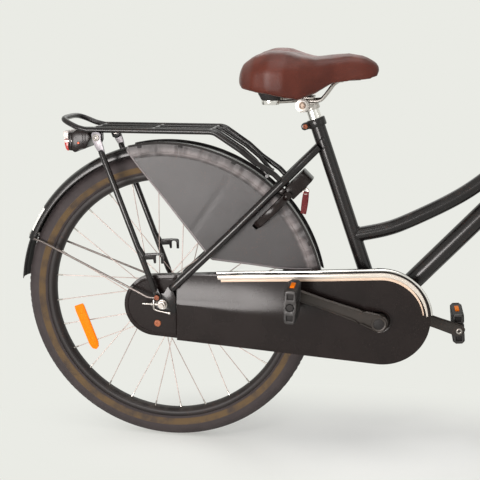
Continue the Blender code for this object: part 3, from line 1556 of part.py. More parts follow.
def make_bell(parent, lever_parent):
    """A bell clamped to the bar, and the lever that turns about its post."""
    foot = BAR_CENTRE + Vector((0.0, BELL_Y, 0.0))
    side = Vector((0.0, 0.0080, 0.0))
    ring = cylinder("bell", foot - side, foot + side, BAR_RADIUS + 0.0035, 14)
    post_low = foot + Vector((0.0, 0.0, BAR_RADIUS + 0.0015))
    post = cylinder("post", post_low, foot + Vector((0.0, 0.0, 0.0220)), 0.0070, 12)
    base = foot.z + 0.0200
    profile = [(0.0, base + 0.0170), (0.0130, base + 0.0150), (0.0220, base + 0.0090)]
    profile += [(0.0260, base), (0.0, base)]
    dome = turned("dome", profile, Matrix.Translation((foot.x, foot.y, 0.0)), 14)
    bell = united(ring, post, dome)
    hole = cylinder("hole", foot - 2 * side, foot + 2 * side, BAR_RADIUS + GAP, 14)
    finished(cut(bell, hole), CHROME, parent)

    ring_outline = arc((foot.x, foot.y), 0.0115, 20, 340, 14)
    reach = [
        (foot.x + 0.0300, foot.y - 0.0040),
        (foot.x + 0.0440, foot.y - 0.0060),
        (foot.x + 0.0440, foot.y + 0.0060),
        (foot.x + 0.0300, foot.y + 0.0040),
    ]
    outline = [(2 * foot.x - px, py) for px, py in reversed(ring_outline + reach)]
    hole_outline = arc((foot.x, foot.y), 0.0074, 0, 330, 11)
    level = Matrix.Translation((0.0, 0.0, foot.z + 0.0176))
    lever = plate("bell_lever", [outline, hole_outline], 0.0030, level)
    finished(lever, BLACK_PLASTIC, lever_parent)


def main():
    clear_scene()
    collection("kids_bike")

    make_seat_tube()
    make_down_tube()
    make_top_tube()
    make_head_tube()
    make_chainstays()
    make_seatstays()
    make_seat_collar()

    rear_wheel = pivot("rear_wheel_axis", Vector())
    make_rear_wheel(rear_wheel)
    make_rear_axle()
    make_chain_adjusters()
    make_brake_reaction_arm()

    crank = pivot("crank_axis", BRACKET)
    sprocket = pivot("sprocket_axis", Vector())
    make_cranks(crank)
    toothed("rear_sprocket", Vector(), SPROCKET_TEETH, SPROCKET_BOSS_RADIUS + 0.0004, sprocket)
    make_chain()
    for name, side, tilt in (("pedal_right", -1, 0.022), ("pedal_left", 1, -0.083)):
        turning = pivot(name + "_axis", pedal_place(side))
        turning.parent = crank
        turning.matrix_parent_inverse = crank.matrix_world.inverted()
        make_pedal(name, side, tilt, turning)

    make_chain_case()
    make_chain_case_back()
    make_chain_case_trim()
    make_rear_mudguard()
    make_coat_guards()
    make_carrier()
    make_rear_lamp()

    lock = pivot("lock_axis", stay_point(LOCK_CENTRE, LOCK_MIDDLE))
    make_ring_lock(lock)
    make_lock_key()
    kickstand = pivot("kickstand_axis", KICKSTAND_PIVOT)
    make_kickstand(kickstand)

    saddle = pivot("seat_post_axis", seat_point(SEAT_TUBE_LENGTH))
    make_seat_post(saddle)
    make_saddle_underside(saddle)
    make_saddle_cover(saddle)

    steering = pivot("steering_axis", head_point(HEAD_LOW))
    make_fork(steering)
    make_front_mudguard(steering)
    make_stem(steering)
    make_handlebar(steering)
    make_front_lamp(steering)
    lever = pivot("bell_lever_axis", BAR_CENTRE + Vector((0.0, BELL_Y, 0.0)))
    lever.parent = steering
    lever.matrix_parent_inverse = steering.matrix_world.inverted()
    make_bell(steering, lever)
    make_front_axle(steering)
    front_wheel = pivot("front_wheel_axis", FRONT)
    front_wheel.parent = steering
    front_wheel.matrix_parent_inverse = steering.matrix_world.inverted()
    make_front_wheel(front_wheel)


main()
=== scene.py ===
"""Kids' city bike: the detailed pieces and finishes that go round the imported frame.

Metres, +Z up, +X forwards, +Y to the bike's left. Most places are given from the rear axle.
"""

import logging
import math
from dataclasses import dataclass
from enum import Enum
from typing import Callable, Optional, Sequence, Union

import bmesh
import bpy
from mathutils import Matrix, Vector


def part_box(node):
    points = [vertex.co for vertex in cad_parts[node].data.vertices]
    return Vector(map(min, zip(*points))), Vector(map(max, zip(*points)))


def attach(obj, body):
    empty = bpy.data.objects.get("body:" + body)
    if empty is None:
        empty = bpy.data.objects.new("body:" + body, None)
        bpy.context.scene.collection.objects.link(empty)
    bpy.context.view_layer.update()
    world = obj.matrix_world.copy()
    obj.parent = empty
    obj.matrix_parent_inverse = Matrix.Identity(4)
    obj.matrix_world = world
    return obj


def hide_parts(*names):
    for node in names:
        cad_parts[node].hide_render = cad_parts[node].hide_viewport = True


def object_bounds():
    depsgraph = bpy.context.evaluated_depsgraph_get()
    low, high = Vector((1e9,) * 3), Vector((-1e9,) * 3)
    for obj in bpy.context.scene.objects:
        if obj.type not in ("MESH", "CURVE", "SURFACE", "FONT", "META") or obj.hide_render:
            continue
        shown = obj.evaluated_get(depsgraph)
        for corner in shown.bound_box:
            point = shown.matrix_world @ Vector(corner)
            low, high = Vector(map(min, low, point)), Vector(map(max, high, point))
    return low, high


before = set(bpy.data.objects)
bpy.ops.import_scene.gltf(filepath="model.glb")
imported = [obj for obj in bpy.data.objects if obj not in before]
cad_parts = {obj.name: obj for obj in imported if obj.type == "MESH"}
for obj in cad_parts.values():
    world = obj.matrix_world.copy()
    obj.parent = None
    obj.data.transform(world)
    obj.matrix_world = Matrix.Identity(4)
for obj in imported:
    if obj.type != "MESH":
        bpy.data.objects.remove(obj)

CAD_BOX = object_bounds()
LOG = logging.getLogger("bike")
Point = Sequence[float]
Colour = tuple[float, float, float]


def middle(node: str) -> Vector:
    """The middle of a CAD node's box."""
    low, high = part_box(node)
    return (Vector(low) + Vector(high)) / 2


REAR = middle("rear_tyre")
FRONT = middle("front_tyre")
UP = Vector((0.0, 0.0, 1.0))
ACROSS = Vector((0.0, 1.0, 0.0))
AHEAD = Vector((1.0, 0.0, 0.0))
CLOSE = 1e-5


class Body(Enum):
    """The bodies that a piece can ride on."""

    FRAME = "frame"
    SADDLE = "saddle"
    REAR_WHEEL = "rear_wheel"
    FRONT_WHEEL = "front_wheel"
    SPROCKET = "sprocket"
    CRANK = "crank"
    RIGHT_PEDAL = "right_pedal"
    LEFT_PEDAL = "left_pedal"
    KICKSTAND = "kickstand"
    LOCK_BOLT = "lock_bolt"
    STEERING = "steering"
    BELL_LEVER = "bell_thumb_lever"


class Slot(Enum):
    """The record's material slots."""

    PAINT = "frame_paint"
    CASE = "case_plastic"
    VINYL = "guard_vinyl"
    CHROME = "chrome"
    STEEL = "steel"
    TYRE = "tyre_rubber"
    RUBBER = "black_rubber"
    LEATHER = "saddle_leather"
    ORANGE = "orange_lens"
    RED = "red_lens"
    STRAP = "red_strap"


class Side(Enum):
    """A side of the bike, as the sign of its Y."""

    RIGHT = -1
    LEFT = 1


# Shader building


class Field:
    """A number or colour in a shader, which is used in a formula as a plain number is."""

    def __init__(self, shader: "Shader", socket: bpy.types.NodeSocket) -> None:
        """Keeps the shader that the socket belongs to."""
        self.shader = shader
        self.socket = socket

    def _math(self, operation: str, *values: Union["Field", float]) -> "Field":
        """One Math node on these values, in their order."""
        inputs = dict(enumerate(values))
        return self.shader.node("ShaderNodeMath", {"operation": operation}, inputs)

    def __add__(self, other: Union["Field", float]) -> "Field":
        """The sum."""
        return self._math("ADD", self, other)

    __radd__ = __add__

    def __sub__(self, other: Union["Field", float]) -> "Field":
        """The difference."""
        return self._math("SUBTRACT", self, other)

    def __rsub__(self, other: float) -> "Field":
        """The difference from a plain number."""
        return self._math("SUBTRACT", other, self)

    def __mul__(self, other: Union["Field", float]) -> "Field":
        """The product."""
        return self._math("MULTIPLY", self, other)

    __rmul__ = __mul__

    def __truediv__(self, other: Union["Field", float]) -> "Field":
        """The quotient."""
        return self._math("DIVIDE", self, other)

    def __pow__(self, other: float) -> "Field":
        """The power."""
        return self._math("POWER", self, other)

    def apply(self, operation: str, *others: Union["Field", float]) -> "Field":
        """Any other operation of the Math node."""
        return self._math(operation, self, *others)

    def step(self, low: float, high: float) -> "Field":
        """Rises smoothly from 0 at one value to 1 at another."""
        settings = {"interpolation_type": "SMOOTHSTEP"}
        return self.shader.node("ShaderNodeMapRange", settings, {0: self, 1: low, 2: high})

    def band(self, low: float, high: float, soft: float) -> "Field":
        """Is 1 between two values, and fades to 0 beyond them."""
        return self.step(low - soft, low) * (1 - self.step(high, high + soft))


class Shader:
    """The node tree of one material, or of the world."""

    def __init__(self, owner: Union[bpy.types.Material, bpy.types.World]) -> None:
        """Starts an empty tree for a material or a world."""
        owner.use_nodes = True
        self.owner = owner
        self.tree = owner.node_tree
        self.tree.nodes.clear()

    def node(
        self, kind: str, settings: Optional[dict] = None, inputs: Optional[dict] = None,
        output: Union[int, str] = 0,
    ) -> Field:
        """Adds a node.

        Args:
            kind: The node's type.
            settings: Its properties, which are set first.
            inputs: A value or a field for each socket, by name or number.
            output: The socket that is wanted, by name or number.

        Returns:
            The wanted output.
        """
        made = self.tree.nodes.new(kind)
        for name, value in (settings or {}).items():
            setattr(made, name, value)
        for name, value in (inputs or {}).items():
            socket = made.inputs[name]
            if isinstance(value, Field):
                self.tree.links.new(value.socket, socket)
            elif isinstance(value, tuple) and len(value) == 3 and socket.type == "RGBA":
                socket.default_value = (*value, 1.0)
            else:
                socket.default_value = value
        return Field(self, made.outputs[output])

    def place(self, at: Point = (0, 0, 0), turn: Point = (0, 0, 0), scale: Point = (1, 1, 1)) -> Field:
        """Object coordinates, centred at a place, turned and stretched."""
        coordinates = self.node("ShaderNodeTexCoord", output="Object")
        settings = {"vector_type": "TEXTURE"}
        values = {
            "Vector": coordinates, "Location": tuple(at), "Rotation": tuple(turn), "Scale": tuple(scale),
        }
        return self.node("ShaderNodeMapping", settings, values)

    def axis(self, vector: Field, letter: str) -> Field:
        """One part of a vector."""
        return self.node("ShaderNodeSeparateXYZ", None, {0: vector}, letter)

    def noise(self, vector: Field, scale: float, detail: float = 3.0, roughness: float = 0.5) -> Field:
        """Cloudy noise from 0 to 1, about 0.5."""
        values = {"Vector": vector, "Scale": scale, "Detail": detail, "Roughness": roughness}
        return self.node("ShaderNodeTexNoise", None, values)

    def cells(self, vector: Field, scale: float) -> Field:
        """The distance to the nearest of many scattered points."""
        return self.node("ShaderNodeTexVoronoi", None, {"Vector": vector, "Scale": scale})

    def mix(
        self, factor: Union[Field, float], low: Union[Field, Colour], high: Union[Field, Colour],
    ) -> Field:
        """A colour between two colours."""
        return self.node("ShaderNodeMix", {"data_type": "RGBA"}, {0: factor, 6: low, 7: high}, 2)

    def bump(self, height: Field, distance: float, strength: float = 1.0) -> Field:
        """A normal from a height that runs from 0 to 1, over a distance in metres."""
        return self.node(
            "ShaderNodeBump", None, {"Height": height, "Distance": distance, "Strength": strength},
        )

    def wheel_polar(self, axle: Point) -> tuple[Field, Field]:
        """The distance from a wheel's axis, and the angle above forwards."""
        place = self.place(at=axle)
        across = self.axis(place, "X")
        height = self.axis(place, "Z")
        return (across * across + height * height) ** 0.5, height.apply("ARCTAN2", across)

    def facing_up(self) -> Field:
        """Is 1 where the surface faces up."""
        normal = self.node("ShaderNodeNewGeometry", output="Normal")
        return self.axis(normal, "Z").step(0.35, 1.0)

    def surface(self, **inputs: Union[Field, float, Colour]) -> None:
        """Ends the tree with a Principled shader.

        Args:
            **inputs: Its sockets, with an underscore for each space in a name.
        """
        named = {name.replace("_", " "): value for name, value in inputs.items()}
        self.close(self.node("ShaderNodeBsdfPrincipled", None, named))

    def close(self, shader: Field) -> None:
        """Joins a finished shader to the output."""
        output = self.tree.nodes.new(f"ShaderNodeOutput{type(self.owner).__name__}")
        self.tree.links.new(shader.socket, output.inputs["Surface"])


# Finishes

MADE: dict[str, bpy.types.Material] = {}
RUST: Colour = (0.215, 0.062, 0.020)
DUST: Colour = (0.20, 0.17, 0.14)


@dataclass(frozen=True)
class Finish:
    """A surface with a colour that clouds into a second one, grain, dust, rust and scratches."""

    name: str
    colour: Colour
    second: Colour
    roughness: float
    slot: Slot = Slot.STEEL
    spread: float = 0.12
    metallic: float = 0.0
    coat: float = 0.0
    specular: float = 0.5
    cloud_scale: float = 14.0
    grain_scale: float = 900.0
    grain: float = 0.00004
    dust: float = 0.10
    rust: float = 0.0
    rust_scale: float = 260.0
    scratches: float = 0.0

    def material(self) -> bpy.types.Material:
        """The material, made once."""
        if self.name not in MADE:
            MADE[self.name] = bpy.data.materials.new(f"bike_{self.name}")
            self.dress(Shader(MADE[self.name]))
        return MADE[self.name]

    def worn(self, shader: Shader, colour: Field, roughness: Field) -> tuple[Field, Field, Field]:
        """Adds dust, rust and scratches.

        Args:
            shader: The tree.
            colour: The clean colour.
            roughness: The clean roughness.

        Returns:
            The colour, the roughness and how much of the surface is rust.
        """
        place = shader.place()
        rusty = shader.noise(place, self.rust_scale, 3).step(0.56, 0.70)
        rusty = rusty * shader.noise(place, self.rust_scale / 7, 2).step(0.42, 0.66) * self.rust
        colour = shader.mix(rusty, colour, RUST)
        if self.dust:
            dusty = shader.facing_up() * shader.noise(place, 60.0, 4).step(0.35, 0.75) * self.dust
            colour = shader.mix(dusty, colour, DUST)
            roughness = roughness + dusty * 0.5
        if self.scratches:
            streaks = shader.place(turn=(0.3, 0.5, 0.9), scale=(1.0, 0.06, 1.0))
            scratch = shader.noise(streaks, 420.0, 2).step(0.66, 0.72) * self.scratches
            colour = shader.mix(scratch, colour, (0.12, 0.11, 0.10))
            roughness = roughness + scratch * 0.25
        return colour, roughness + rusty * 0.45, rusty

    def dress(self, shader: Shader) -> None:
        """Builds the node tree."""
        place = shader.place()
        clouds = shader.noise(place, self.cloud_scale, 4)
        fine = shader.noise(place, self.grain_scale, 2)
        colour = shader.mix(clouds.step(0.32, 0.68), self.colour, self.second)
        roughness = (clouds + fine * 0.5 - 0.75) * self.spread + self.roughness
        colour, roughness, rusty = self.worn(shader, colour, roughness)
        shader.surface(
            Base_Color=colour, Roughness=roughness.apply("MAXIMUM", 0.04),
            Metallic=self.metallic - rusty * self.metallic, Coat_Weight=self.coat, Coat_Roughness=0.08,
            Specular_IOR_Level=self.specular, Normal=shader.bump(fine + rusty, self.grain),
        )


@dataclass(frozen=True)
class TyreFinish(Finish):
    """Road rubber with a tan stripe round each wall."""

    stripe: Colour = (0.098, 0.061, 0.027)
    stripe_low: float = 0.2650
    stripe_high: float = 0.2747

    def dress(self, shader: Shader) -> None:
        """Builds the node tree."""
        dirt = shader.noise(shader.place(), 38.0, 5)
        fine = shader.noise(shader.place(), 700.0, 2)
        stripe: Union[Field, float] = 0.0
        for axle in (REAR, FRONT):
            wavy = shader.wheel_polar(axle)[0] + dirt * 0.0012
            stripe = wavy.band(self.stripe_low, self.stripe_high, 0.0022) + stripe
        colour = shader.mix(dirt.step(0.3, 0.7), self.colour, self.second)
        colour = shader.mix(stripe * dirt.step(0.22, 0.62), colour, self.stripe)
        colour = shader.mix(fine.step(0.62, 0.8) * 0.2, colour, DUST)
        shader.surface(
            Base_Color=colour, Roughness=self.roughness + (dirt - 0.5) * self.spread,
            Specular_IOR_Level=self.specular, Normal=shader.bump(fine + dirt, self.grain),
        )


@dataclass(frozen=True)
class LeatherFinish(Finish):
    """Grained brown cover, darker in the creases of its grain, and lighter where it faces up: rubbed wear and
    a painted highlight.
    """

    cell_scale: float = 640.0

    def dress(self, shader: Shader) -> None:
        """Builds the node tree."""
        place = shader.place()
        clouds = shader.noise(place, self.cloud_scale, 4)
        grain = shader.cells(place, self.cell_scale)
        fine = shader.noise(place, self.grain_scale, 3)
        colour = shader.mix(clouds.step(0.35, 0.65), self.colour, self.second)
        colour = shader.mix(
            grain.step(0.35, 0.75) * 0.35, colour, tuple(part * 0.55 for part in self.colour),
        )
        # Faces that look up are mixed lighter: partly rubbed wear, partly a painted highlight from the light
        # above.
        rubbed_and_top_sheen = shader.facing_up() * shader.noise(place, 26.0, 3).step(0.4, 0.7)
        colour = shader.mix(rubbed_and_top_sheen * 0.55, colour, tuple(min(1.0, part * 2.2) for part in self.second))
        roughness = self.roughness + (clouds - 0.5) * self.spread + grain * 0.10 - rubbed_and_top_sheen * 0.05
        shader.surface(
            Base_Color=colour, Roughness=roughness, Specular_IOR_Level=self.specular, Coat_Weight=self.coat,
            Coat_Roughness=0.28, Normal=shader.bump(1 - grain + fine * 0.5, self.grain),
        )


@dataclass(frozen=True)
class VinylFinish(Finish):
    """Sheet vinyl with a row of stitches along its round edge, and a painted sheen on its wrinkled hem."""

    stitch_radius: float = 0.3015
    stitch_count: float = 520.0

    def dress(self, shader: Shader) -> None:
        """Builds the node tree."""
        place = shader.place()
        distance, angle = shader.wheel_polar(REAR)
        angle = angle * (self.stitch_count / (2 * math.pi))
        stitches = distance.band(self.stitch_radius, self.stitch_radius + 0.0009, 0.0005)
        stitches = stitches * (1 - angle.apply("FRACT").step(0.55, 0.70))
        hem = distance.step(0.2925, 0.3010)
        clouds = shader.noise(place, self.cloud_scale, 4)
        weave = shader.cells(place, self.grain_scale)
        folds = shader.noise(place, 30.0, 2)
        colour = shader.mix(clouds.step(0.3, 0.7), self.colour, self.second)
        # Painted sheen: along the hem band the colour is mixed pale grey where the folds rise, as if the
        # wrinkles caught the light.
        hem_sheen = hem * (1 - distance.step(0.3045, 0.3150) * 0.75)
        colour = shader.mix(hem_sheen * folds.step(0.20, 0.62) * 0.8, colour, (0.175, 0.150, 0.148))
        colour = shader.mix(stitches * 0.8, colour, (0.10, 0.085, 0.075))
        roughness = self.roughness + (clouds - 0.5) * self.spread + hem * 0.08
        colour, roughness, rusty = self.worn(shader, colour, roughness)
        relief = weave * 0.15 + folds * (0.25 + hem) + hem * 0.8 - stitches * 0.5
        shader.surface(
            Base_Color=colour, Roughness=roughness, Specular_IOR_Level=self.specular, Sheen_Weight=0.15,
            Normal=shader.bump(relief, 0.0009),
        )


@dataclass(frozen=True)
class LensFinish(Finish):
    """Clear coloured plastic over a prism pattern, with painted glints on the prism cells and a painted glow
    where one is set.
    """

    prism_scale: float = 330.0
    glow: float = 0.0

    def dress(self, shader: Shader) -> None:
        """Builds the node tree."""
        place = shader.place()
        prisms = shader.node(
            "ShaderNodeTexVoronoi", {"distance": "CHEBYCHEV"},
            {"Vector": place, "Scale": self.prism_scale, "Randomness": 0.0},
        )
        clouds = shader.noise(place, self.cloud_scale, 3)
        # Painted glints: across each prism cell the colour runs between a darker and a lighter tone, as
        # facets catching the light would.
        colour = shader.mix(prisms.step(0.1, 0.55), self.second, self.colour)
        colour, roughness, _ = self.worn(shader, colour, clouds * 0.08 + self.roughness)
        # The emission is a painted glow: the lens lights itself, though it is no lamp.
        shader.surface(
            Base_Color=colour, Roughness=roughness, Specular_IOR_Level=self.specular, Coat_Weight=self.coat,
            Coat_Roughness=0.05, Emission_Color=colour, Emission_Strength=self.glow,
            Normal=shader.bump(prisms, self.grain),
        )


@dataclass(frozen=True)
class WebbingFinish(Finish):
    """Woven strap."""

    def dress(self, shader: Shader) -> None:
        """Builds the node tree."""
        settings = {"wave_type": "BANDS", "bands_direction": "DIAGONAL"}
        weave = shader.node(
            "ShaderNodeTexWave", settings, {"Vector": shader.place(), "Scale": 420.0, "Distortion": 0.6},
        )
        clouds = shader.noise(shader.place(), self.cloud_scale, 3)
        colour = shader.mix(weave * 0.6 + clouds * 0.3, self.second, self.colour)
        colour, roughness, _ = self.worn(shader, colour, self.roughness + weave * 0.1)
        shader.surface(Base_Color=colour, Roughness=roughness, Normal=shader.bump(weave, 0.0004))


PAINT = Finish(
    "black_gloss_paint", (0.0052, 0.0042, 0.0043), (0.0085, 0.0070, 0.0070), 0.24, slot=Slot.PAINT,
    coat=0.10, specular=0.34, dust=0.12, rust=0.14, rust_scale=420.0, scratches=0.12, grain=0.000012,
)
PLASTIC = Finish(
    "black_case_plastic", (0.0080, 0.0046, 0.0042), (0.0112, 0.0068, 0.0062), 0.22, slot=Slot.CASE,
    spread=0.05, specular=0.25, dust=0.04, grain=0.00006, grain_scale=520.0, scratches=0.35,
)
RIM_BLACK = Finish(
    "black_rim", (0.0135, 0.0108, 0.0104), (0.0200, 0.0162, 0.0155), 0.46, slot=Slot.PAINT, specular=0.26,
    dust=0.15, rust=0.10,
)
RUBBER = Finish(
    "black_rubber", (0.0115, 0.0098, 0.0095), (0.0185, 0.0158, 0.0152), 0.62, slot=Slot.RUBBER,
    specular=0.28, dust=0.18, grain=0.00015,
)
STEEL = Finish(
    "weathered_steel", (0.38, 0.355, 0.33), (0.50, 0.47, 0.44), 0.32, metallic=1.0, dust=0.05, rust=0.75,
)
CHROME = Finish(
    "chrome", (0.72, 0.70, 0.67), (0.80, 0.78, 0.75), 0.12, slot=Slot.CHROME, spread=0.10, metallic=1.0,
    dust=0.03, rust=0.45,
)
SPOKE_STEEL = Finish(
    "spoke_steel", (0.50, 0.40, 0.37), (0.60, 0.50, 0.46), 0.45, metallic=0.5, dust=0.0, rust=0.45,
    rust_scale=150.0,
)
RUSTY_STEEL = Finish(
    "rusty_steel", (0.22, 0.16, 0.12), (0.34, 0.27, 0.22), 0.48, metallic=0.8, rust=1.0, rust_scale=180.0,
)
OILED_CHAIN = Finish(
    "oiled_chain", (0.09, 0.075, 0.062), (0.19, 0.16, 0.13), 0.34, metallic=0.9, rust=0.5, rust_scale=300.0,
)
DARK_SATIN = Finish(
    "dark_satin_metal", (0.030, 0.0245, 0.0215), (0.046, 0.038, 0.033), 0.40, metallic=0.45, dust=0.12,
    rust=0.25, scratches=0.4,
)
RUST_COAT = Finish(
    "rust_coat", (0.205, 0.048, 0.016), (0.30, 0.085, 0.030), 0.62, rust=0.6, rust_scale=180.0, dust=0.0,
)
# The trim band is real, but its pale, only partly metallic colour is a painted reflection of the chrome.
BRIGHT_TRIM = Finish(
    "bright_trim", (0.58, 0.52, 0.45), (0.64, 0.58, 0.51), 0.22, slot=Slot.CHROME, spread=0.04,
    metallic=0.30, dust=0.03, rust=0.06, grain=0.00001,
)
GREY_METAL = Finish(
    "worn_grey_metal", (0.23, 0.215, 0.230), (0.31, 0.295, 0.30), 0.38, slot=Slot.PAINT, metallic=0.45,
    dust=0.05, rust=0.3, scratches=0.5,
)
# Painted reflection: the cream band seen low on the chrome trim, made as a strip of cream colour.
CREAM_REFLECTION = Finish(
    "cream_insert", (0.58, 0.42, 0.31), (0.66, 0.50, 0.38), 0.34, slot=Slot.CHROME, dust=0.10, rust=0.10,
    grain=0.00001,
)
FOIL = Finish(
    "white_foil", (0.74, 0.74, 0.70), (0.82, 0.82, 0.79), 0.38, slot=Slot.PAINT, dust=0.2, grain=0.0001,
)
GREY_PLASTIC = Finish(
    "grey_plastic", (0.018, 0.0150, 0.0145), (0.031, 0.0265, 0.0255), 0.36, slot=Slot.RUBBER, dust=0.2,
)
STAY_WIRE = Finish(
    "stay_wire", (0.150, 0.128, 0.120), (0.215, 0.188, 0.176), 0.30, metallic=0.85, dust=0.10, rust=0.15,
)
HEM_CORD = Finish(
    "hem_cord", (0.135, 0.118, 0.118), (0.205, 0.180, 0.180), 0.50, slot=Slot.VINYL, dust=0.1, grain=0.00010,
)
TYRE = TyreFinish(
    "tyre_rubber", (0.031, 0.0243, 0.0246), (0.041, 0.0322, 0.0322), 0.72, slot=Slot.TYRE, specular=0.28,
    grain=0.0002,
)
LEATHER = LeatherFinish(
    "brown_leather", (0.068, 0.0115, 0.0055), (0.090, 0.0165, 0.0080), 0.34, slot=Slot.LEATHER,
    specular=0.30, coat=0.0, cloud_scale=18.0, grain_scale=1500.0, grain=0.00016,
)
VINYL = VinylFinish(
    "black_vinyl", (0.0125, 0.0098, 0.0104), (0.0170, 0.0136, 0.0143), 0.33, slot=Slot.VINYL, specular=0.40,
    cloud_scale=9.0, grain_scale=1100.0, dust=0.05, rust=0.12, rust_scale=350.0,
)
# The orange lens has a painted glow, so that it looks lit like a reflector catching the light.
ORANGE_LENS = LensFinish(
    "orange_lens", (0.90, 0.215, 0.005), (0.76, 0.135, 0.004), 0.45, slot=Slot.ORANGE, specular=0.05,
    coat=0.0, grain=0.0003, dust=0.0, glow=0.08,
)
RED_LENS = LensFinish(
    "red_lens", (0.46, 0.020, 0.012), (0.28, 0.010, 0.008), 0.14, slot=Slot.RED, coat=0.6, grain=0.0005,
    dust=0.0,
)
CLEAR_LENS = LensFinish(
    "clear_lens", (0.72, 0.66, 0.62), (0.50, 0.42, 0.40), 0.12, slot=Slot.RED, coat=0.6, grain=0.0005,
    dust=0.0,
)
AMBER_DOT = LensFinish(
    "amber_dot", (0.80, 0.12, 0.03), (0.60, 0.07, 0.02), 0.2, slot=Slot.ORANGE, coat=0.2, grain=0.0003,
    dust=0.0,
)
RED_STRAP = WebbingFinish(
    "red_strap", (0.165, 0.007, 0.010), (0.075, 0.004, 0.005), 0.62, slot=Slot.STRAP, dust=0.1,
)


# Places and paths


def rear(x: float, y: float = 0.0, z: float = 0.0) -> Vector:
    """A place given from the rear axle."""
    return REAR + Vector((x, y, z))


def front(x: float, y: float = 0.0, z: float = 0.0) -> Vector:
    """A place given from the front axle."""
    return FRONT + Vector((x, y, z))


def facing(origin: Point, axis: Point, across: Point = (1.0, 0.0, 0.0)) -> Matrix:
    """Makes the frame whose Z lies along an axis.

    Args:
        origin: Where the frame's middle is.
        axis: The direction of its Z.
        across: The direction that its X follows as far as it can.

    Returns:
        The frame as a matrix.
    """
    z = Vector(axis).normalized()
    x = Vector(across)
    x = x - z * x.dot(z)
    if x.length < 1e-4:
        x = z.orthogonal()
    x.normalize()
    turn = Matrix((x, z.cross(x), z)).transposed().to_4x4()
    return Matrix.Translation(Vector(origin)) @ turn


def turns(count: int, offset: float = 0.0) -> list[float]:
    """Evenly spaced angles round a full turn, shifted by a share of one space."""
    return [2 * math.pi * (index + offset) / count for index in range(count)]


def heading(turn: float) -> Vector:
    """A direction in the bike's upright plane, at an angle above forwards."""
    return Vector((math.cos(turn), 0.0, math.sin(turn)))


def wheel_frame(centre: Point, angle: float = 0.0) -> Matrix:
    """A frame about a wheel's axis, whose X points at an angle in degrees above forwards."""
    return facing(centre, ACROSS, heading(math.radians(angle)))


def bent(corners: Sequence[Point], radius: float, steps: int = 8) -> list[Vector]:
    """Rounds the corners of a path.

    Args:
        corners: The path's corners.
        radius: The bend at each of them.
        steps: How many pieces a bend has.

    Returns:
        The points of the rounded path.
    """
    points = [Vector(corner) for corner in corners]
    path = [points[0]]
    for before, corner, after in zip(points, points[1:], points[2:]):
        into = (corner - before).normalized()
        out = (after - corner).normalized()
        turn = into.angle(out)
        if turn < 0.01:
            path.append(corner)
            continue
        longest = 0.49 * min((corner - before).length, (after - corner).length)
        reach = min(radius * math.tan(turn / 2), longest)
        bend = reach / math.tan(turn / 2)
        centre = corner + (out - into).normalized() * (bend / math.cos(turn / 2))
        start = corner - into * reach - centre
        axis = into.cross(out)
        for step in range(steps + 1):
            path.append(centre + Matrix.Rotation(turn * step / steps, 3, axis) @ start)
    path.append(points[-1])
    return path


def curved(points: Sequence[Point], steps: int = 6) -> list[Vector]:
    """Draws a smooth path through points.

    Args:
        points: The points that it passes.
        steps: How many pieces lie between two of them.

    Returns:
        The points of the smooth path.
    """
    known = [Vector(point) for point in points]
    known = [known[0] * 2 - known[1], *known, known[-1] * 2 - known[-2]]
    path = []
    for a, b, c, d in zip(known, known[1:], known[2:], known[3:]):
        square = 2 * a - 5 * b + 4 * c - d
        cube = 3 * b - a - 3 * c + d
        for step in range(steps):
            t = step / steps
            path.append(0.5 * (2 * b + (c - a) * t + square * t**2 + cube * t**3))
    path.append(known[-2])
    return path


def arc(centre: Point, radius: float, start: float, end: float, steps: int) -> list[Vector]:
    """Points along an arc in the bike's upright plane, by angles in degrees above forwards."""
    points = []
    for step in range(steps + 1):
        angle = math.radians(start + (end - start) * step / steps)
        points.append(Vector(centre) + heading(angle) * radius)
    return points


def flat(path: Sequence[Vector]) -> list[Vector]:
    """The same path seen from the side, as flat points."""
    return [Vector((point.x, point.z)) for point in path]


def both_ways(half: Sequence[Point]) -> list[Point]:
    """Half a profile, run on with its mirror image at the other side of its middle."""
    return [*half, *((distance, -height) for distance, height in reversed(half) if height)]


def mirrored(path: Sequence[Point]) -> list[Vector]:
    """The same path on the bike's other side, run backwards."""
    return [Vector((point[0], -point[1], point[2])) for point in reversed(path)]


def belt(
    rear_x: float, rear_radius: float, front_x: float, front_radius: float, steps: int = 20,
) -> list[Vector]:
    """The outline round two circles on one line, as flat points.

    Args:
        rear_x: The first circle's middle.
        rear_radius: Its radius.
        front_x: The second circle's middle.
        front_radius: Its radius.
        steps: How many pieces each arc has.

    Returns:
        The points, which go round with the circles on their left.
    """
    lean = math.acos((front_radius - rear_radius) / (rear_x - front_x))
    points = []
    for middle_x, radius, start, end in (
        (front_x, front_radius, -lean, lean), (rear_x, rear_radius, lean, 2 * math.pi - lean),
    ):
        for step in range(steps + 1):
            angle = start + (end - start) * step / steps
            points.append(Vector((middle_x + radius * math.cos(angle), radius * math.sin(angle))))
    return points


# Mesh building


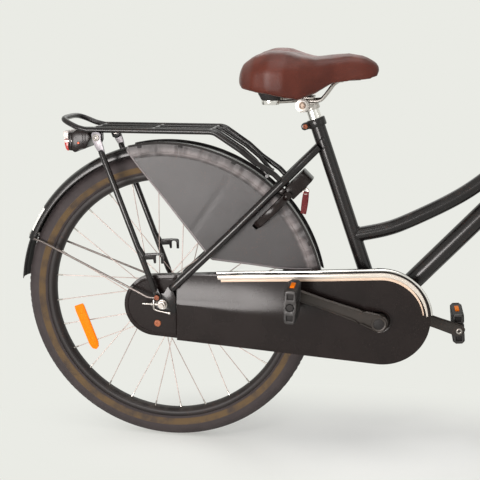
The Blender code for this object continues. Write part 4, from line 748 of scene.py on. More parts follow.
class Shape:
    """A mesh in the making."""

    def __init__(self) -> None:
        """Starts empty."""
        self.mesh = bmesh.new()

    def add(self, other: "Shape", place: Optional[Matrix] = None) -> "Shape":
        """Adds a copy of another shape.

        Args:
            other: The shape, which is left as it is.
            place: Where the copy goes.

        Returns:
            This shape.
        """
        spare = bpy.data.meshes.new("spare")
        other.mesh.to_mesh(spare)
        if place is not None:
            spare.transform(place)
        self.mesh.from_mesh(spare)
        bpy.data.meshes.remove(spare)
        return self

    def moved(self, place: Matrix) -> "Shape":
        """Moves this shape."""
        self.mesh.transform(place)
        return self

    def soften(self, width: float, segments: int = 2, least: float = 40.0) -> "Shape":
        """Bevels the edges that are sharper than an angle in degrees."""
        limit = math.radians(least)
        sharp = [
            edge for edge in self.mesh.edges if len(edge.link_faces) == 2 and edge.calc_face_angle(0) > limit
        ]
        bmesh.ops.bevel(
            self.mesh, geom=sharp, offset=width, offset_type="OFFSET", segments=segments, profile=0.5,
            affect="EDGES", clamp_overlap=True, material=-1,
        )
        return self

    def bend(self, rule: Callable[[Vector], Vector]) -> "Shape":
        """Moves each point to where a rule puts it."""
        for vert in self.mesh.verts:
            vert.co = rule(vert.co)
        return self

    def merge(self, distance: float = 1e-6) -> "Shape":
        """Merges the points that lie on each other."""
        bmesh.ops.remove_doubles(self.mesh, verts=self.mesh.verts[:], dist=distance)
        return self

    def outward(self) -> "Shape":
        """Turns all faces outwards."""
        bmesh.ops.recalc_face_normals(self.mesh, faces=self.mesh.faces[:])
        return self

    def thicken(self, shift: Callable[[Vector], Vector]) -> "Shape":
        """Closes an open surface with a shifted copy, by a rule for the shift of each point."""
        grown = bmesh.ops.extrude_face_region(self.mesh, geom=self.mesh.faces[:])
        for item in grown["geom"]:
            if isinstance(item, bmesh.types.BMVert):
                item.co += shift(item.co)
        return self

    def cut(self, place: Vector, normal: Point, near: Optional[list] = None) -> "Shape":
        """Cuts the faces along a plane, or only some of them, and keeps both sides."""
        geometry = self.mesh.verts[:] + self.mesh.edges[:] + self.mesh.faces[:] if near is None else near
        bmesh.ops.bisect_plane(self.mesh, geom=geometry, plane_co=place, plane_no=normal, dist=CLOSE)
        return self

    def slice(self, axis: Vector, low: float, high: float, spacing: float) -> "Shape":
        """Cuts the faces at even steps along an axis, from the rear axle."""
        while low < high:
            self.cut(REAR + axis * low, axis)
            low += spacing
        return self


def joined(*shapes: Shape) -> Shape:
    """One shape that holds several."""
    whole = Shape()
    for shape in shapes:
        whole.add(shape)
    return whole


def turned(
    profile: Sequence[Point], place: Matrix, steps: int = 40, sweep: float = 360.0, closed: bool = False,
) -> Shape:
    """Spins a profile about the Z axis of a frame.

    Args:
        profile: Points as (distance from the axis, height along it).
        place: The frame.
        steps: How many pieces the whole turn has.
        sweep: How far it turns, in degrees from the frame's X.
        closed: Whether the profile closes on itself.

    Returns:
        The turned shape.
    """
    shape = Shape()
    points = [shape.mesh.verts.new((radius, 0.0, height)) for radius, height in profile]
    edges = [shape.mesh.edges.new(pair) for pair in zip(points, points[1:])]
    if closed:
        edges.append(shape.mesh.edges.new((points[-1], points[0])))
    full = sweep >= 360.0
    bmesh.ops.spin(
        shape.mesh, geom=points + edges, cent=(0, 0, 0), axis=(0, 0, 1), dvec=(0, 0, 0),
        angle=math.radians(sweep), steps=steps, use_merge=full, use_duplicate=False,
    )
    shape.merge()
    if not full:
        rim = [edge for edge in shape.mesh.edges if edge.is_boundary]
        bmesh.ops.holes_fill(shape.mesh, edges=rim, sides=0)
    return shape.moved(place)


def tube(
    path: Sequence[Point], radius: float, sides: int = 16, radii: Optional[Sequence[float]] = None,
    closed: bool = False,
) -> Shape:
    """Runs a round section along a path.

    Args:
        path: The points of its middle line.
        radius: Its radius.
        sides: How many sides it has, an even number from 4.
        radii: The radius at each point, as a share of the radius.
        closed: Whether the path closes on itself.

    Returns:
        The tube, with flat ends.
    """
    data = bpy.data.curves.new("path", "CURVE")
    data.dimensions = "3D"
    data.bevel_depth = radius
    data.bevel_resolution = (sides - 4) // 2
    data.use_fill_caps = not closed
    spline = data.splines.new("POLY")
    spline.points.add(len(path) - 1)
    for index, place in enumerate(path):
        spline.points[index].co = (*place, 1.0)
        spline.points[index].radius = radii[index] if radii else 1.0
    spline.use_cyclic_u = closed
    guide = bpy.data.objects.new("path", data)
    made = bpy.data.meshes.new_from_object(guide)
    shape = Shape()
    shape.mesh.from_mesh(made)
    bpy.data.objects.remove(guide)
    bpy.data.curves.remove(data)
    bpy.data.meshes.remove(made)
    return shape.merge()


def rod(
    start: Point, end: Point, radius: float, sides: int = 16, end_radius: Optional[float] = None,
) -> Shape:
    """A straight round bar, which may taper."""
    shares = [1.0, end_radius / radius] if end_radius else None
    return tube([Vector(start), Vector(end)], radius, sides, shares)


def block(start: Point, end: Point, bevel: float = 0.0008, segments: int = 2) -> Shape:
    """A box with softened edges.

    Args:
        start: One of its corners.
        end: The opposite corner.
        bevel: How wide the softened edge is.
        segments: How many pieces round it.

    Returns:
        The box.
    """
    shape = Shape()
    low, high = Vector(map(min, start, end)), Vector(map(max, start, end))
    place = Matrix.Translation((low + high) / 2) @ Matrix.Diagonal((*(high - low), 1.0))
    bmesh.ops.create_cube(shape.mesh, size=1.0, matrix=place)
    return shape.soften(bevel, segments)


def plate(
    outline: Sequence[Point], thickness: float, place: Matrix, holes: Sequence[Sequence[Point]] = (),
    bevel: float = 0.0005,
) -> Shape:
    """Cuts a flat plate, centred on its thickness in a frame's XY plane.

    Args:
        outline: Its flat outline.
        thickness: How thick it is.
        place: The frame.
        holes: The outlines of its holes.
        bevel: How wide its softened edges are.

    Returns:
        The plate.
    """
    shape = Shape()
    edges = []
    for ring in (outline, *holes):
        corners = [shape.mesh.verts.new((point[0], point[1], -thickness / 2)) for point in ring]
        edges += [shape.mesh.edges.new(pair) for pair in zip(corners, corners[1:] + corners[:1])]
    bmesh.ops.triangle_fill(shape.mesh, use_beauty=True, use_dissolve=not holes, edges=edges)
    shape.thicken(lambda _: UP * thickness).outward()
    if bevel:
        shape.soften(bevel)
    return shape.moved(place)


def lofted(rows: Sequence[Sequence[Point]], closed: bool = False) -> Shape:
    """Lays a surface over rows of points.

    Args:
        rows: The rows, with as many points in each.
        closed: Whether each row is a ring, so that the surface is closed at both ends.

    Returns:
        The surface.
    """
    shape = Shape()
    rings = []
    for row in rows:
        verts = [shape.mesh.verts.new(point) for point in row]
        ends = verts[1:] + verts[:1] if closed else verts[1:]
        rings.append([shape.mesh.edges.new(pair) for pair in zip(verts, ends)])
    for first, second in zip(rings, rings[1:]):
        bmesh.ops.bridge_loops(shape.mesh, edges=first + second)
    for ring in (rings[0], rings[-1]) if closed else ():
        bmesh.ops.triangle_fill(shape.mesh, edges=ring, use_beauty=True)
    return shape.outward()


def circle(x: float, y: float, radius: float, steps: int = 20) -> list[Vector]:
    """A round flat outline."""
    return [Vector((x + radius * math.cos(turn), y + radius * math.sin(turn))) for turn in turns(steps)]


def nut(place: Matrix, across: float, height: float, bore: float) -> Shape:
    """A six sided nut with a washer face, a dark bore and softened corners.

    Args:
        place: The frame of its foot, with Z along its axis.
        across: Its width over two corners.
        height: How tall it is.
        bore: The radius of its hole.

    Returns:
        The nut.
    """
    body = plate(
        circle(0, 0, across / 2, 6), height, Matrix.Translation((0, 0, height / 2)),
        (circle(0, 0, bore, 16),),
    )
    washer = turned(
        [(bore, -0.0008), (across * 0.56, -0.0008), (across * 0.56, 0.0004), (bore, 0.0004)], Matrix(), 24,
        closed=True,
    )
    return joined(body, washer).moved(place)


def dome_bolt(place: Matrix, radius: float, height: float) -> Shape:
    """A domed bolt head with a six sided socket."""
    ring = [
        (radius, 0), (radius, height * 0.45), (radius * 0.86, height * 0.85), (radius * 0.6, height),
        (radius * 0.5, height),
    ]
    head = turned([*ring, (radius * 0.46, height * 0.5), (0, height * 0.5)], Matrix(), 24)
    head.add(turned([(radius, 0), (0, 0)], Matrix(), 24))
    return head.merge().moved(place)


def weld(
    start: Point, direction: Point, radius: float, host: Point, host_axis: Point, host_radius: float,
) -> Shape:
    """The bead where a round tube meets another.

    Args:
        start: A point on the tube's axis, outside the other tube.
        direction: The way from there to the other tube.
        radius: The tube's radius.
        host: A point on the other tube's axis.
        host_axis: That axis.
        host_radius: The other tube's radius.

    Returns:
        A thin bead along the joint.
    """
    along = Vector(direction).normalized()
    axis = Vector(host_axis).normalized()
    side = along.orthogonal().normalized()
    lift = along.cross(side)
    flat = along - axis * along.dot(axis)
    ring = []
    for turn in turns(28):
        point = Vector(start) + (side * math.cos(turn) + lift * math.sin(turn)) * radius
        gap = point - Vector(host)
        gap = gap - axis * gap.dot(axis)
        half = flat.dot(gap)
        root = max(0.0, half * half - flat.dot(flat) * (gap.dot(gap) - host_radius**2))
        ring.append(point + along * ((-half - math.sqrt(root)) / flat.dot(flat)))
    return tube(ring, 0.0016, 8, closed=True)


def placed(
    name: str, shape: Shape, finish: Finish, *nodes: str, body: Body = Body.FRAME,
    slot: Optional[Slot] = None, sharp: float = 38.0,
) -> bpy.types.Object:
    """Makes a finished piece of a shape.

    Args:
        name: The piece's name.
        shape: Its shape, which is used up.
        finish: Its finish.
        *nodes: The CAD nodes that it stands for.
        body: The body that it rides on.
        slot: The record's slot, where it isn't the finish's own; not used.
        sharp: The angle in degrees from which an edge looks sharp.

    Returns:
        The piece.
    """
    shape.outward()
    data = bpy.data.meshes.new(name)
    shape.mesh.to_mesh(data)
    shape.mesh.free()
    data.shade_smooth()
    data.set_sharp_from_angle(angle=math.radians(sharp))
    piece = bpy.data.objects.new(name, data)
    bpy.context.scene.collection.objects.link(piece)
    return dressed(piece, finish, *nodes, body=body, slot=slot)


def dressed(
    piece: bpy.types.Object, finish: Finish, *nodes: str, body: Body, slot: Optional[Slot] = None,
) -> bpy.types.Object:
    """Gives a piece its finish and body, and hides the CAD nodes that it stands for."""
    piece.data.materials.append(finish.material())
    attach(piece, body.value)
    if nodes:
        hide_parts(*nodes)
    LOG.info("%s: %d faces on %s", piece.name, len(piece.data.polygons), body.value)
    return piece


# Lines of the frame

SEAT_LEAN = math.radians(19.34)
STAY_SLOPE = math.radians(45.4)
HEAD_SLOPE = math.radians(70.0)
BRACKET = rear(0.4290, 0.0, -0.0142)
SEAT_AXIS = Vector((-math.sin(SEAT_LEAN), 0.0, math.cos(SEAT_LEAN)))
STAY_AXIS = heading(STAY_SLOPE)
STAY_FORWARD = Vector((math.sin(STAY_SLOPE), 0.0, -math.cos(STAY_SLOPE)))
HEAD_AXIS = Vector((-math.cos(HEAD_SLOPE), 0.0, math.sin(HEAD_SLOPE)))
HEAD_FORWARD = Vector((math.sin(HEAD_SLOPE), 0.0, math.cos(HEAD_SLOPE)))
FORK_RAKE = 0.045
HEAD_LOW = 0.380
HEAD_HIGH = 0.505
STAY_OFFSET = -0.0068


def seat_point(distance: float, back: float = 0.0, y: float = 0.0) -> Vector:
    """A point along the seat tube from the bracket, and behind its axis."""
    return BRACKET + SEAT_AXIS * distance + Vector((-SEAT_AXIS.z, 0.0, SEAT_AXIS.x)) * back + ACROSS * y


def stay_point(distance: float, forward: float = 0.0, y: float = 0.0) -> Vector:
    """A point along the seat stays from the rear axle, and in front of that line."""
    return REAR + STAY_AXIS * distance + STAY_FORWARD * forward + ACROSS * y


def head_point(distance: float, forward: float = 0.0, y: float = 0.0) -> Vector:
    """A point along the steering axis from the height of the front axle, and in front of it."""
    return FRONT - HEAD_FORWARD * FORK_RAKE + HEAD_AXIS * distance + HEAD_FORWARD * forward + ACROSS * y


def side_frame(y: float, at: Vector = REAR) -> Matrix:
    """A frame whose XY plane is the bike's upright plane, at a distance to the left."""
    turn = Matrix(((1, 0, 0), (0, 0, -1), (0, 1, 0))).to_4x4()
    return Matrix.Translation(at + ACROSS * y) @ turn


def side_plate(
    outline: Sequence[Point], low: float, high: float, holes: Sequence = (), bevel: float = 0.0004,
) -> Shape:
    """A plate drawn in x and z from the rear axle, between two values of y."""
    return plate(outline, abs(high - low), side_frame((low + high) / 2), holes, bevel)


@dataclass
class FrameTubes:
    """The welded tubes."""

    seat_radius: float = 0.0143
    seat_length: float = 0.407
    down_radius: float = 0.0190
    head_radius: float = 0.0180
    stay_radius: float = 0.0080
    seatstay_radius: float = 0.0080
    shell_radius: float = 0.0200
    shell_half: float = 0.0340
    shell_bore: float = 0.0092
    dropout_y: float = 0.05775
    dropout_half: float = 0.00225

    def seat_tube(self) -> Shape:
        """The seat tube, and the bracket shell with its cups."""
        bore, half = self.shell_bore, self.shell_half
        shell = [(bore, half), (self.shell_radius, half), (self.shell_radius, -half), (bore, -half)]
        cup = [(bore, 0.0), (0.0175, 0.0), (0.0175, 0.0022), (0.0100, 0.0026)]
        tubes = joined(
            rod(seat_point(0.0), seat_point(self.seat_length), self.seat_radius, 40),
            turned(shell, facing(BRACKET, ACROSS), 48, closed=True),
            weld(seat_point(0.05), -SEAT_AXIS, self.seat_radius, BRACKET, ACROSS, self.shell_radius),
        )
        for side in (-1, 1):
            tubes.add(turned(cup, facing(BRACKET + ACROSS * side * half, (0, side, 0)), 32, closed=True))
        return tubes

    def main_tubes(self) -> tuple[Shape, Shape, Shape]:
        """The down tube, the top tube and the head tube, with their weld beads."""
        down_end = head_point(0.418)
        down_way = (down_end - BRACKET).normalized()
        start = BRACKET + down_way * 0.018
        down = joined(
            rod(start, down_end - down_way * 0.012, self.down_radius, 44),
            weld(BRACKET + down_way * 0.06, -down_way, self.down_radius, BRACKET, ACROSS, self.shell_radius),
            weld(
                down_end - down_way * 0.05, down_way, self.down_radius, down_end, HEAD_AXIS, self.head_radius,
            ),
        )
        path = curved(
            [
                seat_point(0.166), rear(0.435, 0, 0.157), rear(0.480, 0, 0.1755), rear(0.5556, 0, 0.2158),
                rear(0.6075, 0, 0.2515), rear(0.660, 0, 0.2990), rear(0.715, 0, 0.3560), head_point(0.465),
            ],
            10,
        )
        first = (path[0] - path[12]).normalized()
        last = (path[-1] - path[-4]).normalized()
        top = joined(
            tube(path, self.seat_radius, 36),
            weld(
                path[0] - first * 0.05, first, self.seat_radius, seat_point(0), SEAT_AXIS,
                self.seat_radius + 0.0002,
            ),
            weld(path[-1] - last * 0.05, last, self.seat_radius, head_point(0), HEAD_AXIS, self.head_radius),
        )
        cup = self.head_radius + 0.0025
        bore = 0.0152
        profile = [
            (bore, HEAD_HIGH), (cup - 0.0008, HEAD_HIGH), (cup, HEAD_HIGH - 0.0008),
            (cup, HEAD_HIGH - 0.005), (self.head_radius, HEAD_HIGH - 0.007),
            (self.head_radius, HEAD_LOW + 0.007), (cup, HEAD_LOW + 0.005), (cup, HEAD_LOW + 0.0008),
            (cup - 0.0008, HEAD_LOW), (bore, HEAD_LOW),
        ]
        return down, top, turned(profile, facing(head_point(0), HEAD_AXIS), 48, closed=True)

    def dropout(self, side: Side) -> Shape:
        """A rear dropout with its slot open to the rear."""
        slot = 0.0051
        outline = [
            (0.0262, -0.0165), (0.010, -0.0160), (-0.016, -0.0130), (-0.016, -slot),
            *flat(arc((0, 0, 0), slot, -90, 90, 10)), (-0.016, slot), (-0.016, 0.0125), (-0.019, 0.0165),
            (-0.014, 0.0225), (0.002, 0.0225), (0.0109, 0.0370), (0.0225, 0.0260), (0.0262, 0.0150),
        ]
        middle = side.value * self.dropout_y
        return side_plate(outline, middle - self.dropout_half, middle + self.dropout_half)

    def chainstays(self) -> Shape:
        """Both chainstays with their dropouts and the plate between them."""
        stops = [
            (0.4190, 0.0235, -0.0142), (0.3750, 0.0255, -0.0124), (0.3500, 0.0282, -0.0115),
            (0.3220, 0.0352, -0.0106), (0.2850, 0.0388, -0.0094), (0.1200, 0.0455, -0.0052),
            (0.0620, 0.0475, -0.0055), (0.0300, 0.0487, -0.0062), (0.0180, 0.0490, -0.0064),
        ]
        whole = block(rear(0.330, -0.030, -0.018), rear(0.372, 0.030, -0.014))
        for side in Side:
            path = curved([rear(x, side.value * y, z) for x, y, z in stops], 5)
            whole.add(tube(path, self.stay_radius, 24))
            whole.add(self.dropout(side))
            way = (path[0] - path[5]).normalized()
            whole.add(weld(path[8], way, self.stay_radius, BRACKET, ACROSS, self.shell_radius))
        return whole

    def seatstays(self) -> Shape:
        """Both seat stays, their bridge and the boss for the mudguard."""
        stops = [
            (0.0345, 0.0595), (0.060, 0.0600), (0.200, 0.0505), (0.330, 0.0420), (0.350, 0.0400),
            (0.385, 0.0320), (0.412, 0.0210), (0.437, 0.0150),
        ]
        whole = Shape()
        for side in Side:
            places = []
            for along, y in stops:
                offset = STAY_OFFSET - max(0.0, 0.2 - along) * 0.02
                places.append(stay_point(along, offset, side.value * y))
            path = curved(places, 5)
            shares = [0.72] + [0.9] + [1.0] * (len(path) - 2)
            whole.add(tube(path, self.seatstay_radius, 24, shares))
            end = path[-1]
            way = (end - path[-4]).normalized()
            whole.add(
                weld(end - way * 0.03, way, self.seatstay_radius, seat_point(0), SEAT_AXIS, self.seat_radius),
            )
        bridge = stay_point(0.3305, STAY_OFFSET)
        whole.add(rod(bridge - ACROSS * 0.042, bridge + ACROSS * 0.042, 0.0065, 20))
        boss = stay_point(0.3193, STAY_OFFSET * 0.9652)
        whole.add(rod(bridge, boss, 0.0055, 16))
        whole.add(dome_bolt(facing(stay_point(0.3365, STAY_OFFSET), STAY_AXIS), 0.0048, 0.003))
        return whole

    def collar(self) -> tuple[Shape, Shape]:
        """The clamp round the top of the seat tube, and its bolt."""
        ring = [
            (0.0146, 0.392), (0.0172, 0.391), (0.0181, 0.3925), (0.0181, 0.4055), (0.0172, 0.407),
            (0.0128, 0.407), (0.0128, 0.405), (0.0146, 0.4045),
        ]
        band = turned(ring, facing(seat_point(0), SEAT_AXIS), 48, closed=True)
        place = facing(seat_point(0.399, 0.0225), ACROSS, SEAT_AXIS)
        ear = [
            (0.0070, 0.0085), (0.0070, -0.004), (0.0035, -0.0080), (-0.0035, -0.0080), (-0.0070, -0.004),
            (-0.0070, 0.0085),
        ]
        for side in (-1, 1):
            band.add(plate(ear, 0.0062, place @ Matrix.Translation((0, 0, side * 0.0047)), bevel=0.0010))
        bolt = dome_bolt(facing(seat_point(0.399, 0.0220, -0.0078), -ACROSS), 0.0048, 0.0052)
        bolt.add(nut(facing(seat_point(0.399, 0.0220, 0.0078), ACROSS), 0.0096, 0.0042, 0.0022))
        bolt.add(rod(seat_point(0.399, 0.0220, -0.008), seat_point(0.399, 0.0220, 0.012), 0.0022))
        return band, bolt

    def build(self) -> None:
        """Makes the pieces."""
        placed("seat_tube_welded", self.seat_tube(), PAINT, "seat_tube")
        down, top, head = self.main_tubes()
        placed("down_tube_welded", down, PAINT, "down_tube")
        placed("top_tube_bent", top, PAINT, "top_tube")
        placed("head_tube_cups", head, PAINT, "head_tube")
        placed("chainstays_dropouts", self.chainstays(), PAINT, "chainstays")
        placed("seatstays_bridge", self.seatstays(), PAINT, "seatstays")
        band, bolt = self.collar()
        placed("seat_collar_band", band, PAINT, "seat_collar")
        placed("seat_collar_bolt", bolt, RUST_COAT)


@dataclass
class Wheel:
    """A wheel: treaded tyre, rim, laced spokes and hub."""

    name: str
    body: Body
    centre: Vector
    first_angle: float
    flange_radius: float
    flange_y: float
    radius: float = 0.3005
    rim_radius: float = 0.2590
    rim_half: float = 0.0145
    spoke_count: int = 28
    crossing: float = math.radians(77.1)
    tread_pitch: int = 150
    wire: float = 0.00095
    nipple: float = 0.0019

    def tyre(self) -> Shape:
        """The tyre, with a groove down its middle and blocks along both shoulders."""
        outer = self.radius
        half = [
            (outer - 0.0016, 0.0), (outer - 0.0016, 0.0012), (outer, 0.0018), (outer - 0.0002, 0.0075),
            (outer - 0.0016, 0.0112), (outer - 0.0030, 0.0116), (outer - 0.0046, 0.0152),
            (outer - 0.0100, 0.0205), (outer - 0.0150, 0.0226), (outer - 0.0205, 0.0235),
            (outer - 0.0262, 0.0229), (outer - 0.0268, 0.0224), (outer - 0.0320, 0.0206),
            (outer - 0.0370, 0.0178), (outer - 0.0395, 0.0162), (self.rim_radius + 0.0003, 0.0150),
        ]
        shape = turned(both_ways(half), facing(self.centre, ACROSS), self.tread_pitch * 2, closed=True)
        blocks = []
        for face in shape.mesh.faces:
            place = face.calc_center_median() - self.centre
            distance = math.hypot(place.x, place.z)
            if not 0.0016 < abs(place.y) < 0.0180 or not outer - 0.0085 < distance:
                continue
            slot = int((math.atan2(place.z, place.x) / (2 * math.pi) + 1) * self.tread_pitch * 2 + 0.5)
            if (slot + (place.y > 0)) % 2 and (abs(place.y) > 0.0115 or abs(place.y) < 0.009):
                blocks.append(face)
        bmesh.ops.inset_individual(shape.mesh, faces=blocks, thickness=0.0006, depth=-0.0010)
        return shape

    def rim(self) -> Shape:
        """The rim, with a rounded bed and hooked edges."""
        outer, half = self.rim_radius, self.rim_half
        side = [
            (outer - 0.0085, 0.0), (outer - 0.0080, half - 0.0045), (outer - 0.0040, half - 0.0022),
            (outer, half - 0.0020), (outer + 0.0002, half - 0.0006), (outer - 0.0006, half),
            (outer - 0.0080, half - 0.0006), (outer - 0.0105, half - 0.0022),
            (outer - 0.0130, half - 0.0062), (outer - 0.0148, 0.0042), (outer - 0.0150, 0.0),
        ]
        return turned(both_ways(side), facing(self.centre, ACROSS), 180, closed=True)

    def spokes(self) -> tuple[Shape, Shape]:
        """The crossed spokes with their bent heads, and the nipples."""
        wires = Shape()
        nipples = Shape()
        for index in range(self.spoke_count):
            side = -1 if index % 2 else 1
            leading = 1 if index % 4 < 2 else -1
            outer_angle = self.first_angle + 2 * math.pi * index / self.spoke_count
            hub_angle = outer_angle + leading * self.crossing
            root = heading(hub_angle) * (self.flange_radius - 0.004)
            root.y = side * (self.flange_y + leading * 0.0019)
            tip = heading(outer_angle) * (self.rim_radius - 0.0150)
            tip.y = side * (0.0020 + leading * 0.0008)
            way = (tip - root).normalized()
            head = root - ACROSS * side * leading * 0.0040
            path = [self.centre + point for point in (head, root + way * 0.0008, tip)]
            wires.add(tube(path, self.wire, 8))
            wires.add(
                rod(self.centre + head - ACROSS * side * leading * 0.0006, self.centre + head, 0.0020, 8),
            )
            nipple = self.centre + tip
            nipples.add(tube(
                [nipple - way * 0.011, nipple - way * 0.002, nipple + way * 0.001], self.nipple, 8,
                [0.8, 0.85, 1.25],
            ))
        return wires, nipples

    def valve(self) -> Shape:
        """The valve with its cap and lock nut."""
        angle = self.first_angle + math.pi / self.spoke_count
        way = heading(angle)
        foot = self.centre + way * (self.rim_radius - 0.0145)
        stem = tube(
            [foot, foot - way * 0.016, foot - way * 0.018, foot - way * 0.032], 0.0030, 16,
            [1.0, 1.0, 1.25, 1.1],
        )
        stem.add(nut(facing(foot - way * 0.004, -way), 0.0110, 0.0028, 0.0031))
        return stem

    def hub(self) -> Shape:
        """The hub's shell."""
        flange, y = self.flange_radius, self.flange_y
        if self.body is Body.REAR_WHEEL:
            profile = [
                (0.0058, 0.0480), (0.0150, 0.0480), (0.0180, 0.0465), (0.0180, 0.0310), (0.0215, 0.0296),
                (flange - 0.0012, y + 0.0024), (flange, y + 0.0014), (flange, y - 0.0014),
                (flange - 0.0012, y - 0.0024), (flange - 0.0075, y - 0.0034), (0.0236, 0.0120),
                (0.0230, 0.0), (0.0236, -0.0120), (flange - 0.0075, -y + 0.0034),
                (flange - 0.0012, -y + 0.0024), (flange, -y + 0.0014), (flange, -y - 0.0014),
                (flange - 0.0012, -y - 0.0024), (0.0190, -0.0300), (0.0160, -0.0320), (0.0160, -0.0462),
                (0.0150, -0.0470), (0.0058, -0.0470),
            ]
        else:
            half = [
                (0.0058, 0.0440), (0.0108, 0.0440), (0.0120, 0.0430), (0.0120, 0.0330),
                (flange - 0.0008, y + 0.0024), (flange, y + 0.0016), (flange, y - 0.0016),
                (flange - 0.0008, y - 0.0024), (0.0140, 0.0245), (0.0112, 0.0120),
            ]
            profile = both_ways(half)
        return turned(profile, facing(self.centre, ACROSS), 56, closed=True)

    def build(self) -> None:
        """Makes the pieces."""
        placed(f"{self.name}_tyre_treaded", self.tyre(), TYRE, f"{self.name}_tyre", body=self.body, sharp=30)
        placed(
            f"{self.name}_rim_hooked", self.rim(), RIM_BLACK, f"{self.name}_rim", body=self.body, sharp=50,
        )
        wires, nipples = self.spokes()
        placed(f"{self.name}_hub_shell", self.hub(), STEEL, f"{self.name}_hub", body=self.body, sharp=30)
        placed(f"{self.name}_spokes", wires, SPOKE_STEEL, body=self.body, sharp=60)
        placed(f"{self.name}_nipples", nipples, STEEL, body=self.body)
        placed(f"{self.name}_valve", self.valve(), STEEL, body=self.body)


@dataclass
class Reflector:
    """The orange reflector between the spokes."""

    low_y: float = -0.0153
    high_y: float = -0.0106

    def build(self) -> None:
        """Makes the lens, its raised rim and the two clips."""
        top, low = Vector((-0.1940, 0.0, -0.0245)), Vector((-0.1585, 0.0, -0.1205))
        run = (low - top).normalized()
        across = Vector((-run.z, 0, run.x))
        corners = [
            top + across * 0.0095, top + run * 0.004 + across * 0.0108, low - run * 0.014 + across * 0.0102,
            low - run * 0.004 + across * 0.0070, low, low - run * 0.004 - across * 0.0070,
            low - run * 0.014 - across * 0.0102, top + run * 0.010 - across * 0.0108, top - across * 0.0095,
        ]
        outline = flat(corners)
        centre = sum(outline, Vector((0.0, 0.0))) / len(outline)
        body = side_plate(outline, self.low_y + 0.0008, self.high_y, bevel=0.0010)
        inner = [centre + (point - centre) * 0.86 for point in outline]
        body.add(side_plate(inner, self.low_y, self.low_y + 0.0012, bevel=0.0004))
        for share in (0.16, 0.82):
            spot = top.lerp(low, share)
            body.add(block(
                REAR + spot + Vector((-0.004, self.low_y - 0.0002, -0.004)),
                REAR + spot + Vector((0.004, self.high_y + 0.0004, 0.004)), 0.001,
            ))
        placed("reflector_prismed", body, ORANGE_LENS, "rear_reflector", body=Body.REAR_WHEEL)


